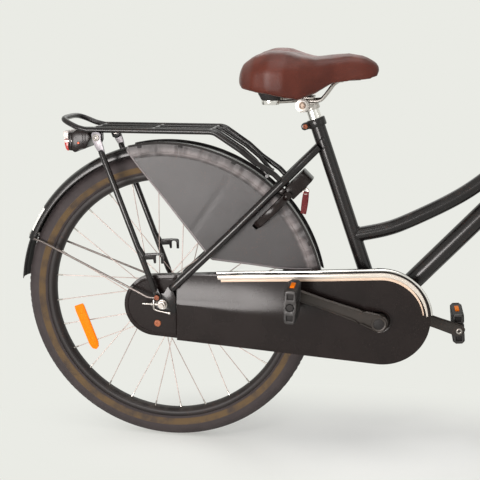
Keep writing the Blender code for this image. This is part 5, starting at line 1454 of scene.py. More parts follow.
@dataclass
class AxleHardware:
    """Axles, nuts, washers, chain adjusters and the brake's reaction arm."""

    radius: float = 0.0048
    nut_inner: float = 0.0633
    end: float = 0.0740

    def threaded(self, centre: Vector, start: float, end: float) -> Shape:
        """A threaded stretch of axle between two values of y."""
        count = max(4, int(abs(end - start) / 0.0013))
        profile = [(0.0, start)]
        for index in range(count + 1):
            y = start + (end - start) * index / count
            profile.append((self.radius * (0.90 if index % 2 else 1.0), y))
        profile.append((0.0, end))
        return turned(profile, facing(centre, ACROSS), 24)

    def axle(self, centre: Vector, plain: float, end: float, cone: tuple, nut_at: tuple) -> Shape:
        """An axle with its threads, nuts and cones.

        Args:
            centre: Its middle.
            plain: Where its threads begin, to either side.
            end: Where they end.
            cone: The inner ends of the right and left cones, their outer end and their radius.
            nut_at: Where its nuts stand and how tall they are.

        Returns:
            The axle.
        """
        whole = rod(centre - ACROSS * plain, centre + ACROSS * plain, self.radius - 0.0003, 24)
        *inner, outer, cone_radius = cone
        for sign, start in zip((-1, 1), inner):
            out = ACROSS * sign
            whole.add(self.threaded(centre, sign * plain, sign * end))
            whole.add(nut(facing(centre + out * nut_at[0], out), 0.0170, nut_at[1], self.radius))
            whole.add(rod(centre + out * start, centre + out * outer, cone_radius, 32))
        return whole

    def adjuster(self, side: Side) -> Shape:
        """The eye on the axle, its threaded rod, cap and nut."""
        sign = side.value
        eye = side_plate(circle(0, 0, 0.0100, 28), sign * 0.0603, sign * 0.0630, (circle(0, 0, 0.0051, 20),))
        middle = sign * 0.06165
        reach = 0.0329
        threads = [(0.0017 if index % 2 else 0.0020, index * reach / 25) for index in range(26)]
        screw = [(0.0, 0.0), *threads, (0.0, reach)]
        eye.add(turned(screw, facing(rear(-0.0091, middle), (-1, 0, 0)), 12))
        eye.add(block(rear(-0.0199, sign * 0.054, -0.0095), rear(-0.0163, sign * 0.0645, 0.0095), 0.0010))
        eye.add(nut(facing(rear(-0.0207, middle), (-1, 0, 0)), 0.0080, 0.0032, 0.0020))
        keeper = ((-0.0190, -0.0092), (-0.0120, -0.0128), (0.0040, -0.0160), (0.0125, -0.0178))
        eye.add(tube(curved([rear(x, middle, z) for x, z in keeper], 5), 0.0016, 10))
        eye.add(
            block(rear(0.0105, middle - 0.0016, -0.0205), rear(0.0160, middle + 0.0016, -0.0155), 0.0012),
        )
        return eye

    def reaction_arm(self) -> tuple[Shape, Shape]:
        """The brake arm from the axle to the left chainstay, and its clip."""
        outline = flat(arc((0, 0, 0), 0.0120, 20, 290, 18))
        outline += [(0.030, -0.027), (0.090, -0.029), (0.092, -0.018), (0.034, -0.0155)]
        arm = side_plate(
            outline, 0.0486, 0.0530, (circle(0, 0, 0.0051, 20), circle(0.083, -0.0235, 0.0024, 12)),
        )
        middle = rear(0.083, 0.0477, -0.0054)
        way = Vector((0.0580, -0.0035, 0.0003)).normalized()
        clip = turned(
            [(0.0084, -0.0045), (0.0102, -0.0045), (0.0102, 0.0045), (0.0084, 0.0045)], facing(middle, way),
            32, closed=True,
        )
        clip.add(block(rear(0.079, 0.0450, -0.0265), rear(0.087, 0.0486, -0.0145), 0.0008))
        clip.add(dome_bolt(facing(rear(0.083, 0.0530, -0.0235), ACROSS), 0.0045, 0.0028))
        clip.add(nut(facing(rear(0.083, 0.0450, -0.0235), -ACROSS), 0.0090, 0.0030, 0.0022))
        return arm, clip

    def build(self) -> None:
        """Makes the pieces."""
        rear_cone, front_cone = (0.0473, 0.0533, 0.0552, 0.0085), (0.0443, 0.0443, 0.0494, 0.0075)
        back = self.axle(REAR, 0.0700, self.end, rear_cone, (self.nut_inner + 0.0010, 0.0067))
        placed("rear_axle_threaded", back, STEEL, "rear_axle")
        ahead = self.axle(FRONT, 0.0600, 0.0640, front_cone, (0.0553, 0.0062))
        placed("front_axle_threaded", ahead, STEEL, "front_axle", body=Body.STEERING)
        for side in Side:
            name = f"chain_adjuster_{side.name.lower()}"
            placed(f"{name}_screw", self.adjuster(side), STEEL, name)
        arm, clip = self.reaction_arm()
        placed("reaction_arm_plate", arm, STEEL, "brake_reaction_arm")
        placed("reaction_arm_clip", clip, STEEL)


@dataclass
class ChainDrive:
    """The chain's links, the sprocket and the chainring."""

    line: float = -0.0410
    pitch: float = 0.0127
    ring_teeth: int = 38
    sprocket_teeth: int = 19
    inner_gap: float = 0.0019
    outer_gap: float = 0.0028
    link_plate: float = 0.0009

    def pitch_radius(self, teeth: int) -> float:
        """The radius on which the rollers of that many teeth lie."""
        return self.pitch / (2 * math.sin(math.pi / teeth))

    def toothed(self, centre: Vector, teeth: int, bore: float, windows: int) -> Shape:
        """A toothed wheel with round windows."""
        radius = self.pitch_radius(teeth)
        flank = (
            (-0.30, -0.0036), (-0.12, 0.0010), (-0.05, 0.0026), (0.05, 0.0026), (0.12, 0.0010),
            (0.30, -0.0036),
        )
        outline = []
        for index in range(teeth):
            for share, reach in flank:
                turn = 2 * math.pi * (index + share) / teeth
                outline.append(Vector((math.cos(turn), math.sin(turn))) * (radius + reach))
        holes = [circle(0, 0, bore, 24)]
        middle = radius * 0.60
        for turn in turns(windows, 0.5):
            holes.append(circle(middle * math.cos(turn), middle * math.sin(turn), radius * 0.17, 18))
        return plate(outline, 0.0028, side_frame(self.line, centre), holes, 0.0)

    def run(self) -> list[Vector]:
        """The chain's middle line, from the rear axle."""
        small, large = self.pitch_radius(self.sprocket_teeth), self.pitch_radius(self.ring_teeth)
        away = BRACKET - REAR
        lean = math.atan2(away.z, away.x)
        length = math.hypot(away.x, away.z)
        outline = belt(0.0, small, length, large, 40)
        turn = Matrix.Rotation(lean, 2)
        return [turn @ point for point in outline]

    def chain(self) -> Shape:
        """Links with side plates and rollers, spaced evenly along the run."""
        path = self.run()
        path.append(path[0])
        lengths = [(b - a).length for a, b in zip(path, path[1:])]
        count = 2 * round(sum(lengths) / self.pitch / 2)
        step = sum(lengths) / count
        pins = []
        travelled, segment = 0.0, 0
        for index in range(count):
            while travelled + lengths[segment] < index * step:
                travelled += lengths[segment]
                segment += 1
            share = (index * step - travelled) / lengths[segment]
            spot = path[segment].lerp(path[segment + 1], share)
            pins.append(rear(spot.x, self.line, spot.y))
        whole = Shape()
        for index, (start, end) in enumerate(zip(pins, pins[1:] + pins[:1])):
            gap = self.outer_gap if index % 2 else self.inner_gap
            way = (end - start).normalized()
            lift = Vector((-way.z, 0.0, way.x))
            reach = (end - start).length
            upper = [
                (-0.003, 0.0030), (0.0, 0.0040), (reach * 0.5, 0.0028), (reach, 0.0040),
                (reach + 0.003, 0.0030),
            ]
            turn = Matrix((way, lift, way.cross(lift))).transposed().to_4x4()
            for side in (-1, 1):
                where = Matrix.Translation(start + ACROSS * side * (gap + 0.0005)) @ turn
                whole.add(plate(both_ways(upper), self.link_plate, where, bevel=0.0))
            whole.add(rod(start - ACROSS * 0.0039, start + ACROSS * 0.0039, 0.0018, 8))
        return whole

    def build(self) -> None:
        """Makes the pieces."""
        ring = self.toothed(BRACKET, self.ring_teeth, 0.0166, 5)
        placed("chainring_windowed", ring, DARK_SATIN, "chainring", body=Body.CRANK)
        sprocket = self.toothed(REAR, self.sprocket_teeth, 0.0164, 0)
        placed("sprocket_toothed", sprocket, STEEL, "rear_sprocket", body=Body.SPROCKET)
        placed("chain_links", self.chain(), OILED_CHAIN, "chain", sharp=30)


@dataclass
class Cranks:
    """The crank axle, both arms and their pedals."""

    length: float = 0.170
    angle: float = math.radians(162.52)
    inner: float = 0.0644
    outer: float = 0.0758
    boss_radius: float = 0.0170
    tip_radius: float = 0.0115

    def end(self, side: Side) -> Vector:
        """Where that side's pedal axle crosses the bike's middle plane."""
        turn = self.angle if side is Side.RIGHT else self.angle + math.pi
        return BRACKET + heading(turn) * self.length

    def arm(self, side: Side) -> Shape:
        """A forged arm: rounded, slimmer in the middle, with a round boss at each end."""
        sign = side.value
        end = self.end(side)
        way = (end - BRACKET).normalized()
        place = facing(BRACKET, (0, sign, 0), way)
        stations = [
            (0.0, 0.0165), (0.020, 0.0145), (0.045, 0.0118), (0.110, 0.0098), (0.150, 0.0104),
            (self.length, 0.0110),
        ]
        outline = [*curved([(x, y, 0) for x, y in stations], 4)]
        lower = [(point.x, -point.y) for point in reversed(outline)]
        for turn in turns(24)[1:12]:
            outline.append(
                (self.length + self.tip_radius * math.sin(turn), self.tip_radius * math.cos(turn)),
            )
        outline += lower
        for turn in turns(28)[1:14]:
            outline.append((-self.boss_radius * math.sin(turn), -self.boss_radius * math.cos(turn)))
        thick = self.outer - self.inner
        arm = plate(outline, thick, place @ Matrix.Translation((0, 0, self.inner + thick / 2)), bevel=0.0)
        arm.soften(0.0034, 4, 60)
        inner_boss = 0.0370 if sign < 0 else 0.0430
        boss = [
            (0.0088, inner_boss), (0.0152, inner_boss), (0.0160, inner_boss + 0.001),
            (0.0160, self.inner + 0.003), (0.0088, self.inner + 0.003),
        ]
        arm.add(turned(boss, place, 40, closed=True))
        face = self.outer
        rim = [
            (0.0105, face - 0.001), (0.0105, face + 0.0012), (0.0118, face + 0.0018),
            (0.0140, face + 0.0018), (0.0150, face + 0.0008), (0.0150, face - 0.001),
        ]
        arm.add(turned(rim, place, 40, closed=True))
        tip = Matrix.Translation(end - BRACKET) @ place
        pad = [
            (0.0, face - 0.001), (0.0100, face - 0.001), (0.0100, face + 0.0006), (0.0090, face + 0.0011),
            (0.0, face + 0.0011),
        ]
        return arm.add(turned(pad, tip, 32))

    def spindle(self, side: Side) -> Shape:
        """A pedal's spindle with its flats."""
        sign = side.value
        end = self.end(side)
        whole = rod(end + ACROSS * sign * 0.0720, end + ACROSS * sign * 0.1580, 0.0045, 24, 0.0040)
        return whole.add(nut(facing(end + ACROSS * sign * 0.0635, (0, -sign, 0)), 0.0110, 0.0010, 0.003))

    def cap(self, side: Side) -> Shape:
        """The dust cap over the crank bolt."""
        place = facing(BRACKET + ACROSS * side.value * self.outer, (0, side.value, 0))
        return turned(
            [(0.0, 0.0), (0.0102, 0.0), (0.0102, 0.0008), (0.0090, 0.0014), (0.0, 0.0018)], place, 36,
        )

    def build(self) -> None:
        """Makes the pieces."""
        axle = rod(BRACKET - ACROSS * 0.0616, BRACKET + ACROSS * 0.0616, 0.0085, 32)
        placed("crank_axle_turned", axle, STEEL, "crank_axle", body=Body.CRANK)
        for side in Side:
            word = side.name.lower()
            placed(
                f"crank_{word}_forged", self.arm(side), DARK_SATIN, f"crank_{word}", body=Body.CRANK,
                sharp=45,
            )
            placed(f"crank_{word}_spindle", self.spindle(side), STEEL, body=Body.CRANK)
            placed(f"crank_{word}_dust_cap", self.cap(side), RUBBER, body=Body.CRANK)


@dataclass
class Pedal:
    """A block pedal: barrel, two ribbed rubber blocks, end frames and reflectors."""

    side: Side
    centre: Vector
    tilt: float
    inner_y: float = 0.0773
    width: float = 0.0870
    half_length: float = 0.0330
    half_thick: float = 0.0122

    def frame(self) -> Matrix:
        """Local X runs along the pedal's length, Y across its tread and Z outwards along the spindle."""
        turn = math.pi / 2 + self.tilt
        along = Vector((math.cos(turn), 0.0, -math.sin(turn)))
        return facing(self.centre + ACROSS * self.side.value * self.inner_y, (0, self.side.value, 0), along)

    def blocks(self) -> Shape:
        """The two rubber blocks, with ribs across both treads."""
        whole = Shape()
        place = self.frame()
        thick = self.half_thick - 0.0016
        for sign in (-1, 1):
            near, far = sorted((sign * (self.half_length - 0.0225), sign * (self.half_length - 0.0026)))
            whole.add(block((near, -thick, 0.0034), (far, thick, self.width - 0.0034), 0.0016, 3), place)
            near, far = near + 0.0012, far - 0.0012
            for index in range(8):
                z = 0.0060 + index * (self.width - 0.0120 - 0.0052) / 7
                rib = block((near, -self.half_thick, z), (far, self.half_thick, z + 0.0052), 0.0012)
                whole.add(rib, place)
        return whole

    def cage(self) -> Shape:
        """The barrel, with an end frame at both ends."""
        place = self.frame()
        whole = turned(
            [
                (0.0050, 0.0014), (0.0098, 0.0014), (0.0110, 0.0034), (0.0092, 0.0080), (0.0088, 0.0435),
                (0.0092, 0.0790), (0.0110, 0.0836), (0.0098, 0.0856), (0.0050, 0.0856),
            ],
            place, 8, closed=True,
        )
        quarter = [(0.0315, 0.0062), (0.0295, 0.0086), (0.0210, 0.0100), (0.0130, 0.0100), (0.0090, 0.0115)]
        ring = both_ways(quarter + [(-x, y) for x, y in reversed(quarter)])
        window = ((0.0150, 0.0062), (0.0262, 0.0062), (0.0262, -0.0062), (0.0150, -0.0062))
        windows = [[(sign * x, y) for x, y in window] for sign in (-1, 1)]
        windows.append(circle(0, 0, 0.0060, 16))
        for z in (0.0016, self.width - 0.0016):
            whole.add(plate(ring, 0.0032, place @ Matrix.Translation((0, 0, z)), windows, 0.0005))
        return whole

    def reflectors(self) -> Shape:
        """An orange reflector in the front and the back of the pedal."""
        whole = Shape()
        place = self.frame()
        for sign in (-1, 1):
            near, far = sign * (self.half_length - 0.0034), sign * self.half_length
            whole.add(block((near, -0.0042, 0.0280), (far, 0.0042, self.width - 0.0280), 0.0007), place)
        return whole

    def build(self) -> None:
        """Makes the pieces."""
        word = self.side.name.lower()
        body = Body.RIGHT_PEDAL if self.side is Side.RIGHT else Body.LEFT_PEDAL
        placed(f"pedal_{word}_blocks", self.blocks(), RUBBER, f"pedal_{word}", body=body)
        placed(f"pedal_{word}_cage", self.cage(), GREY_PLASTIC, body=body)
        placed(f"pedal_{word}_reflectors", self.reflectors(), ORANGE_LENS, body=body)
        place = self.frame()
        boss = turned(
            [
                (0.0, self.width - 0.002), (0.0098, self.width - 0.002), (0.0098, self.width - 0.0002),
                (0.0084, self.width), (0.0, self.width),
            ],
            place, 8,
        )
        placed(f"pedal_{word}_end_cap", boss, RUBBER, body=body)


@dataclass
class ChainCase:
    """The closed case round the chain, its rear cap, its closing lip and its bright trim."""

    rear_x: float = -0.0205
    rear_z: float = -0.0078
    rear_radius: float = 0.0632
    front_x: float = 0.4335
    front_z: float = -0.0084
    front_radius: float = 0.0932
    wall: float = 0.0015
    outer_y: float = -0.0585
    narrow_y: float = -0.0468
    inner_y: float = -0.0300
    seam_x: float = 0.0275
    lean: float = 0.0085

    def outline(self, inset: float = 0.0, steps: int = 44) -> list[Vector]:
        """The case's side view, from the rear axle."""
        away = Vector((self.front_x - self.rear_x, self.front_z - self.rear_z))
        turn = Matrix.Rotation(math.atan2(away.y, away.x), 2)
        points = belt(0.0, self.rear_radius - inset, away.length, self.front_radius - inset, steps)
        return [turn @ point + Vector((self.rear_x, self.rear_z)) for point in points]

    def clipped(self, outline: list[Vector], low: float, high: float) -> list[Vector]:
        """The part of a convex outline between two values of x."""
        for bound, sign in ((low, 1), (high, -1)):
            kept = []
            for a, b in zip(outline, outline[1:] + outline[:1]):
                a_in, b_in = (a.x - bound) * sign >= 0, (b.x - bound) * sign >= 0
                if a_in:
                    kept.append(a)
                if a_in != b_in:
                    kept.append(a.lerp(b, (bound - a.x) / (b.x - a.x)))
            outline = kept
        return outline

    def leaning(self, place: Vector) -> Vector:
        """Leans the upper half of the outer side back, most at the rear and at the top edge."""
        local = place - REAR
        if local.y > -0.050:
            return place
        ridge = 0.0010 - 0.034 * (local.x - 0.05)
        height = 0.057 + 0.034 * min(0.25, max(0.0, local.x - 0.05))
        below_top = 1.0 - min(1.0, max(0.0, (local.z - ridge) / height))
        fade = 1.0 - min(1.0, max(0.0, (local.x - 0.16) / 0.15))
        return place + ACROSS * self.lean * (1.0 - below_top * below_top) * fade

    def side_sheet(self, low: float, high: float, y: float, spacing: float, depth: float) -> Shape:
        """The side of the case, cut into a grid, with a rolled rim.

        Args:
            low: The value of x where it begins.
            high: The value of x where it ends.
            y: Where its outer face lies.
            spacing: The grid's spacing.
            depth: How deep its rim is rolled.

        Returns:
            The open sheet.
        """
        sheet = side_plate(self.clipped(self.outline(), low, high), y, self.inner_y, bevel=0.0)
        sheet.slice(AHEAD, low, high, spacing).slice(UP, -0.11, 0.11, spacing)
        backs = [face for face in sheet.mesh.faces if abs(face.calc_center_median().y - self.inner_y) < 1e-4]
        bmesh.ops.delete(sheet.mesh, geom=backs, context="FACES")
        rim = [
            edge
            for edge in sheet.mesh.edges
            if len(edge.link_faces) == 2 and edge.calc_face_angle(0) > 0.9 and abs(
                (edge.verts[0].co.y + edge.verts[1].co.y) / 2 - y,
            ) < 1e-4
        ]
        bmesh.ops.bevel(
            sheet.mesh, geom=rim, offset=depth, offset_type="OFFSET", segments=4, profile=0.5,
            affect="EDGES", clamp_overlap=True, material=-1,
        )
        return sheet

    def shelled(self, sheet: Shape) -> Shape:
        """Gives an open sheet the case's wall, inwards."""
        sheet.merge(CLOSE)
        bmesh.ops.dissolve_degenerate(sheet.mesh, edges=sheet.mesh.edges[:], dist=CLOSE)
        sheet.outward()
        sheet.mesh.normal_update()
        normals = {tuple(vert.co): vert.normal.copy() for vert in sheet.mesh.verts}
        return sheet.thicken(lambda place: normals[tuple(place)] * -self.wall)

    def hole(self, sheet: Shape, x: float, z: float, radius: float) -> Shape:
        """Opens a round hole in the outer side of a sheet."""
        centre = rear(x, 0.0, z)

        def within(reach: float) -> list[bmesh.types.BMFace]:
            """The outer faces whose middle is that near."""
            return [
                face
                for face in sheet.mesh.faces
                if (face.calc_center_median() - centre).xz.length < reach and face.normal.y < -0.5
            ]

        for turn in turns(16):
            near = within(radius * 2.2)
            parts = dict.fromkeys(part for face in near for part in (*face.edges, *face.verts))
            sheet.cut(centre + heading(turn) * radius, heading(turn), [*near, *parts])
        bmesh.ops.delete(sheet.mesh, geom=within(radius), context="FACES")
        return sheet

    def cover(self) -> Shape:
        """The big cover: leaning side, rolled rim and crank hole."""
        sheet = self.side_sheet(self.seam_x, 0.60, self.outer_y, 0.010, 0.0040)
        for shift in (-0.0006, 0.0010):
            sheet.cut(rear(0.05, 0.0, -0.0020 + shift), (0.1, 0.0, 1.0))
        sheet = self.hole(sheet, BRACKET.x - REAR.x, BRACKET.z - REAR.z, 0.0220).bend(self.leaning)
        sheet = self.shelled(sheet)
        collar = [
            (0.0200, -0.0005), (0.0245, -0.0005), (0.0256, 0.0004), (0.0252, 0.0014), (0.0225, 0.0016),
            (0.0200, 0.0008),
        ]
        place = facing((BRACKET.x, self.outer_y, BRACKET.z), -ACROSS)
        return sheet.add(turned(collar, place, 48, closed=True))

    def cap(self) -> Shape:
        """The rear cap with its raised rim and the slot for the axle."""
        sheet = self.side_sheet(-0.20, self.seam_x - 0.0003, self.narrow_y, 0.012, 0.0030)
        opening = []
        for face in sheet.mesh.faces:
            local = face.calc_center_median() - REAR
            slot = local.x > -0.010 and -0.0150 < local.z < 0.0095
            if face.normal.y < -0.5 and (math.hypot(local.x, local.z) < 0.0165 or slot):
                opening.append(face)
        bmesh.ops.delete(sheet.mesh, geom=opening, context="FACES")
        sheet = self.shelled(sheet)
        inset = self.clipped(self.outline(0.0072, 30), -0.20, self.seam_x - 0.004)
        ends = sorted(range(len(inset)), key=lambda k: -inset[k].x)[:2]
        start = max(ends)
        ring = inset[start:] + inset[:start]
        path = [rear(point.x, self.narrow_y - 0.0002, point.y) for point in ring]
        return sheet.add(tube(path, 0.0013, 8))

    def back(self) -> Shape:
        """The closing lip behind the case and its arms to the bracket."""
        low, high = self.inner_y + 0.0003, self.inner_y + 0.0012
        lip = side_plate(self.outline(0.0), low, high, (self.outline(0.0180),), bevel=0.0)
        for start, end in ((-0.0950, -0.0348), (0.0065, 0.0850)):
            lip.add(block(rear(0.4210, low, start), rear(0.4370, high, end), 0.0002))
        return lip

    def plug(self) -> Shape:
        """The round plug low on the rear cap, with a dimple."""
        profile = [
            (0.0, 0.0012), (0.0016, 0.0012), (0.0022, 0.0022), (0.0056, 0.0024), (0.0068, 0.0016),
            (0.0072, 0.0), (0.0, 0.0),
        ]
        return turned(profile, facing(rear(-0.0150, self.narrow_y, -0.0445), -ACROSS), 28)

    def trim_path(self, inset: float, first: float, reach: float) -> list[Vector]:
        """A line along the case's front and top, from an angle on the front circle back along the top."""
        run = Vector((self.front_x - self.rear_x, self.front_z - self.rear_z))
        swell = math.asin((self.front_radius - self.rear_radius) / run.length)
        top = 90 + math.degrees(swell + math.atan2(run.y, run.x))
        radius = self.front_radius - inset
        path = arc(rear(self.front_x, 0, self.front_z), radius, first, top, 28)
        along = math.radians(top + 90)
        last = path[-1] + heading(along) * reach
        return path + [path[-1].lerp(last, (k + 1) / 12) for k in range(12)]

    def strip(
        self, inset: float, width: float, rise: float, first: float, reach: float, taper: int,
    ) -> Shape:
        """A convex strip along the trim's line, narrower at its front end.

        Args:
            inset: How far it lies inside the case's edge.
            width: Its full width.
            rise: How far it stands out.
            first: The angle on the front circle where it begins.
            reach: How far it runs back along the top.
            taper: Over how many points it widens.

        Returns:
            The strip.
        """
        path = self.trim_path(inset, first, reach)
        section = [
            (-0.5, 0.0), (-0.44, 0.55), (-0.25, 0.9), (0.0, 1.0), (0.25, 0.9), (0.44, 0.55), (0.5, 0.0),
        ]
        sunk = 0.0003
        rows = []
        for index, point in enumerate(path):
            before, after = path[max(0, index - 1)], path[min(len(path) - 1, index + 1)]
            way = (after - before).normalized()
            lift = Vector((-way.z, 0.0, way.x))
            share = min(1.0, 0.35 + 0.65 * index / taper)
            row = []
            for across, out in section:
                place = point + lift * across * width * share
                row.append((place.x, self.outer_y - sunk - rise * out * share, place.z))
            rows.append(row)
        return lofted(rows).thicken(lambda _: ACROSS * sunk).bend(self.leaning)

    def bead(self) -> Shape:
        """The round bead that lies on the case's top edge."""
        path = [point + ACROSS * (self.outer_y + 0.0044) for point in self.trim_path(-0.0022, 6.5, 0.320)]
        return tube(path, 0.0026, 14).bend(self.leaning)

    def build(self) -> None:
        """Makes the pieces."""
        placed("case_cover_shell", self.cover(), PLASTIC, "chain_case_cover", sharp=30)
        placed("case_rear_cap_shell", self.cap(), PLASTIC, "chain_case_rear_cap", sharp=30)
        placed("case_back_lip", self.back(), PLASTIC, "chain_case_back")
        placed("case_plug", self.plug(), RUST_COAT)
        placed("case_trim_upper_bead", self.bead(), CHROME, "chain_case_trim")
        # Middle band: the real trim strip, coloured with a painted reflection.
        middle = self.strip(0.0062, 0.0090, 0.0019, 6.0, 0.318, 14)
        placed("case_trim_band", middle, BRIGHT_TRIM)
        # Lower band: a painted reflection of the chrome trim, as a cream strip.
        lower = self.strip(0.0132, 0.0054, 0.0012, 8.0, 0.312, 14)
        placed("case_trim_cream_band", lower, CREAM_REFLECTION)


@dataclass
class Mudguards:
    """Both mudguards with their flap, holders and stays."""

    radius: float = 0.3190
    half: float = 0.0265
    wall: float = 0.0012
    rear_start: float = 3.0
    rear_end: float = 158.0
    front_start: float = 42.0
    front_end: float = 204.0
    wire: float = 0.00225

    def section(self, radius: float) -> list[tuple[float, float]]:
        """The guard's section, rounded and with rolled edges."""
        outer = [
            (radius - 0.0180, self.half - 0.0006), (radius - 0.0100, self.half),
            (radius - 0.0056, self.half - 0.0026), (radius - 0.0034, self.half - 0.0064),
            (radius - 0.0012, 0.0145), (radius - 0.0002, 0.0080), (radius, 0.0),
        ]
        outer = both_ways(outer)
        inner = [(distance - self.wall, y * 0.955) for distance, y in outer]
        inner[0] = (radius - 0.0182, self.half - 0.0020)
        inner[-1] = (radius - 0.0182, -self.half + 0.0020)
        return outer + list(reversed(inner))

    def guard(self, centre: Vector, start: float, end: float) -> Shape:
        """One guard between two angles."""
        steps = int((end - start) / 1.6)
        return turned(self.section(self.radius), wheel_frame(centre, end), steps, end - start, closed=True)

    def bead(self, centre: Vector, start: float, end: float, side: int) -> Shape:
        """The rolled bead along an edge of a guard."""
        points = arc(
            centre + ACROSS * side * (self.half - 0.0010), self.radius - 0.0178, start + 0.5, end - 0.5, 80,
        )
        return tube(points, 0.0013, 8)

    def patch(self) -> Shape:
        """The white patch near the guard's rear end."""
        radius = self.radius + 0.0004
        outer = [
            (radius - 0.0086, 0.0266), (radius - 0.0056, 0.0242), (radius - 0.0034, 0.0204),
            (radius - 0.0012, 0.0147),
        ]
        outer += [(radius - 0.0002, 0.0080), (radius, 0.0)]
        outer = both_ways(outer)
        inner = [(distance - 0.0006, y) for distance, y in reversed(outer)]
        return turned(outer + inner, wheel_frame(REAR, 154.5), 8, 10.0, closed=True)

    def flap(self) -> Shape:
        """The rubber flap below the rear guard, ribbed down its middle."""
        radius = self.radius - self.wall - 0.0014
        outer = [
            (radius - 0.0052, 0.0210), (radius - 0.0024, 0.0155), (radius - 0.0014, 0.0120),
            (radius - 0.0002, 0.0060), (radius - 0.0009, 0.0046), (radius, 0.0030), (radius, 0.0),
        ]
        outer = both_ways(outer)
        inner = [(distance - 0.0014, y) for distance, y in reversed(outer)]
        return turned(outer + inner, wheel_frame(REAR, 174.5), 16, 23.5, closed=True)

    def rivets(self, centre: Vector, places: Sequence[tuple[float, float]]) -> Shape:
        """Low round rivet heads on the outside of a guard, by angle and side."""
        whole = Shape()
        for angle, y in places:
            way = heading(math.radians(angle))
            sink = 0.0004 + (y / self.half) ** 2 * 0.0030
            whole.add(
                dome_bolt(facing(centre + way * (self.radius - sink) + ACROSS * y, way), 0.0036, 0.0016),
            )
        return whole

    def rear_stay(self) -> Shape:
        """The wire from both dropouts round the rear guard."""
        half = [
            rear(-0.0100, -0.0664, 0.0145), rear(-0.0290, -0.0660, 0.0150), rear(-0.2600, -0.0305, 0.1125),
            rear(-0.2772, -0.0290, 0.1177), rear(-0.2795, -0.0245, 0.1187), rear(-0.2845, -0.0130, 0.1209),
            rear(-0.2870, 0.0, 0.1222),
        ]
        path = bent(half[:3] + [half[3]], 0.02, 3)[:-1] + curved(half[3:], 4)
        wire = tube(path + mirrored(path[:-1]), self.wire, 12)
        for sign in (-1, 1):
            eye = turned(
                [(0.0026, -0.0012), (0.0052, -0.0012), (0.0052, 0.0012), (0.0026, 0.0012)],
                facing(rear(-0.0100, sign * 0.0668, 0.0150), ACROSS), 24, closed=True,
            )
            wire.add(eye)
        return wire

    def front_parts(self) -> tuple[Shape, Shape]:
        """The front guard's holder and its two stays."""
        foot = head_point(0.3000)
        reach = (foot - FRONT).normalized()
        spot = FRONT + reach * (self.radius - 0.0006)
        crown = head_point(0.3620)
        holder = rod(spot, spot + (crown - spot) * 0.97, 0.0060, 20)
        holder.add(turned(
            [(0.0, 0.0), (0.0110, 0.0), (0.0110, 0.0010), (0.0062, 0.0024), (0.0, 0.0024)],
            facing(spot, crown - spot), 28,
        ))
        lip = FRONT + heading(math.radians(198.0)) * 0.3080
        wires = Shape()
        for sign in (-1, 1):
            path = bent(
                [
                    front(-0.0290, sign * 0.0568, 0.0075), front(-0.0400, sign * 0.0560, 0.0050),
                    lip + Vector((0.0020, sign * 0.0282, 0.0)), lip + Vector((-0.0020, sign * 0.0240, 0.0)),
                ],
                0.010, 5,
            )
            wires.add(tube(path, self.wire, 12))
            eye = turned(
                [(0.0, -0.0012), (0.0048, -0.0012), (0.0052, 0.0), (0.0048, 0.0012), (0.0, 0.0012)],
                facing(front(-0.0262, sign * 0.0568, 0.0080), ACROSS), 24,
            )
            wires.add(eye)
        return holder, wires

    def build(self) -> None:
        """Makes the pieces."""
        rear_guard = self.guard(REAR, self.rear_start, self.rear_end)
        front_guard = self.guard(FRONT, self.front_start, self.front_end)
        for sign in (-1, 1):
            rear_guard.add(self.bead(REAR, self.rear_start, self.rear_end, sign))
            front_guard.add(self.bead(FRONT, self.front_start, self.front_end, sign))
        placed("rear_guard_rolled", rear_guard, PAINT, "rear_mudguard")
        placed("front_guard_rolled", front_guard, PAINT, "front_mudguard", body=Body.STEERING)
        placed("rear_guard_white_patch", self.patch(), FOIL)
        placed("mud_flap_ribbed", self.flap(), RUBBER, "mud_flap")
        placed("rear_guard_stay_wire", self.rear_stay(), STAY_WIRE, "rear_mudguard_stay")
        rear_rivets = self.rivets(REAR, ((157.0, 0.010), (157.0, -0.010), (44.5, 0.0)))
        placed("rear_guard_rivets", rear_rivets, STEEL)
        holder, wires = self.front_parts()
        placed("front_guard_holder", holder, PAINT, body=Body.STEERING)
        placed("front_guard_stays", wires, DARK_SATIN, body=Body.STEERING)


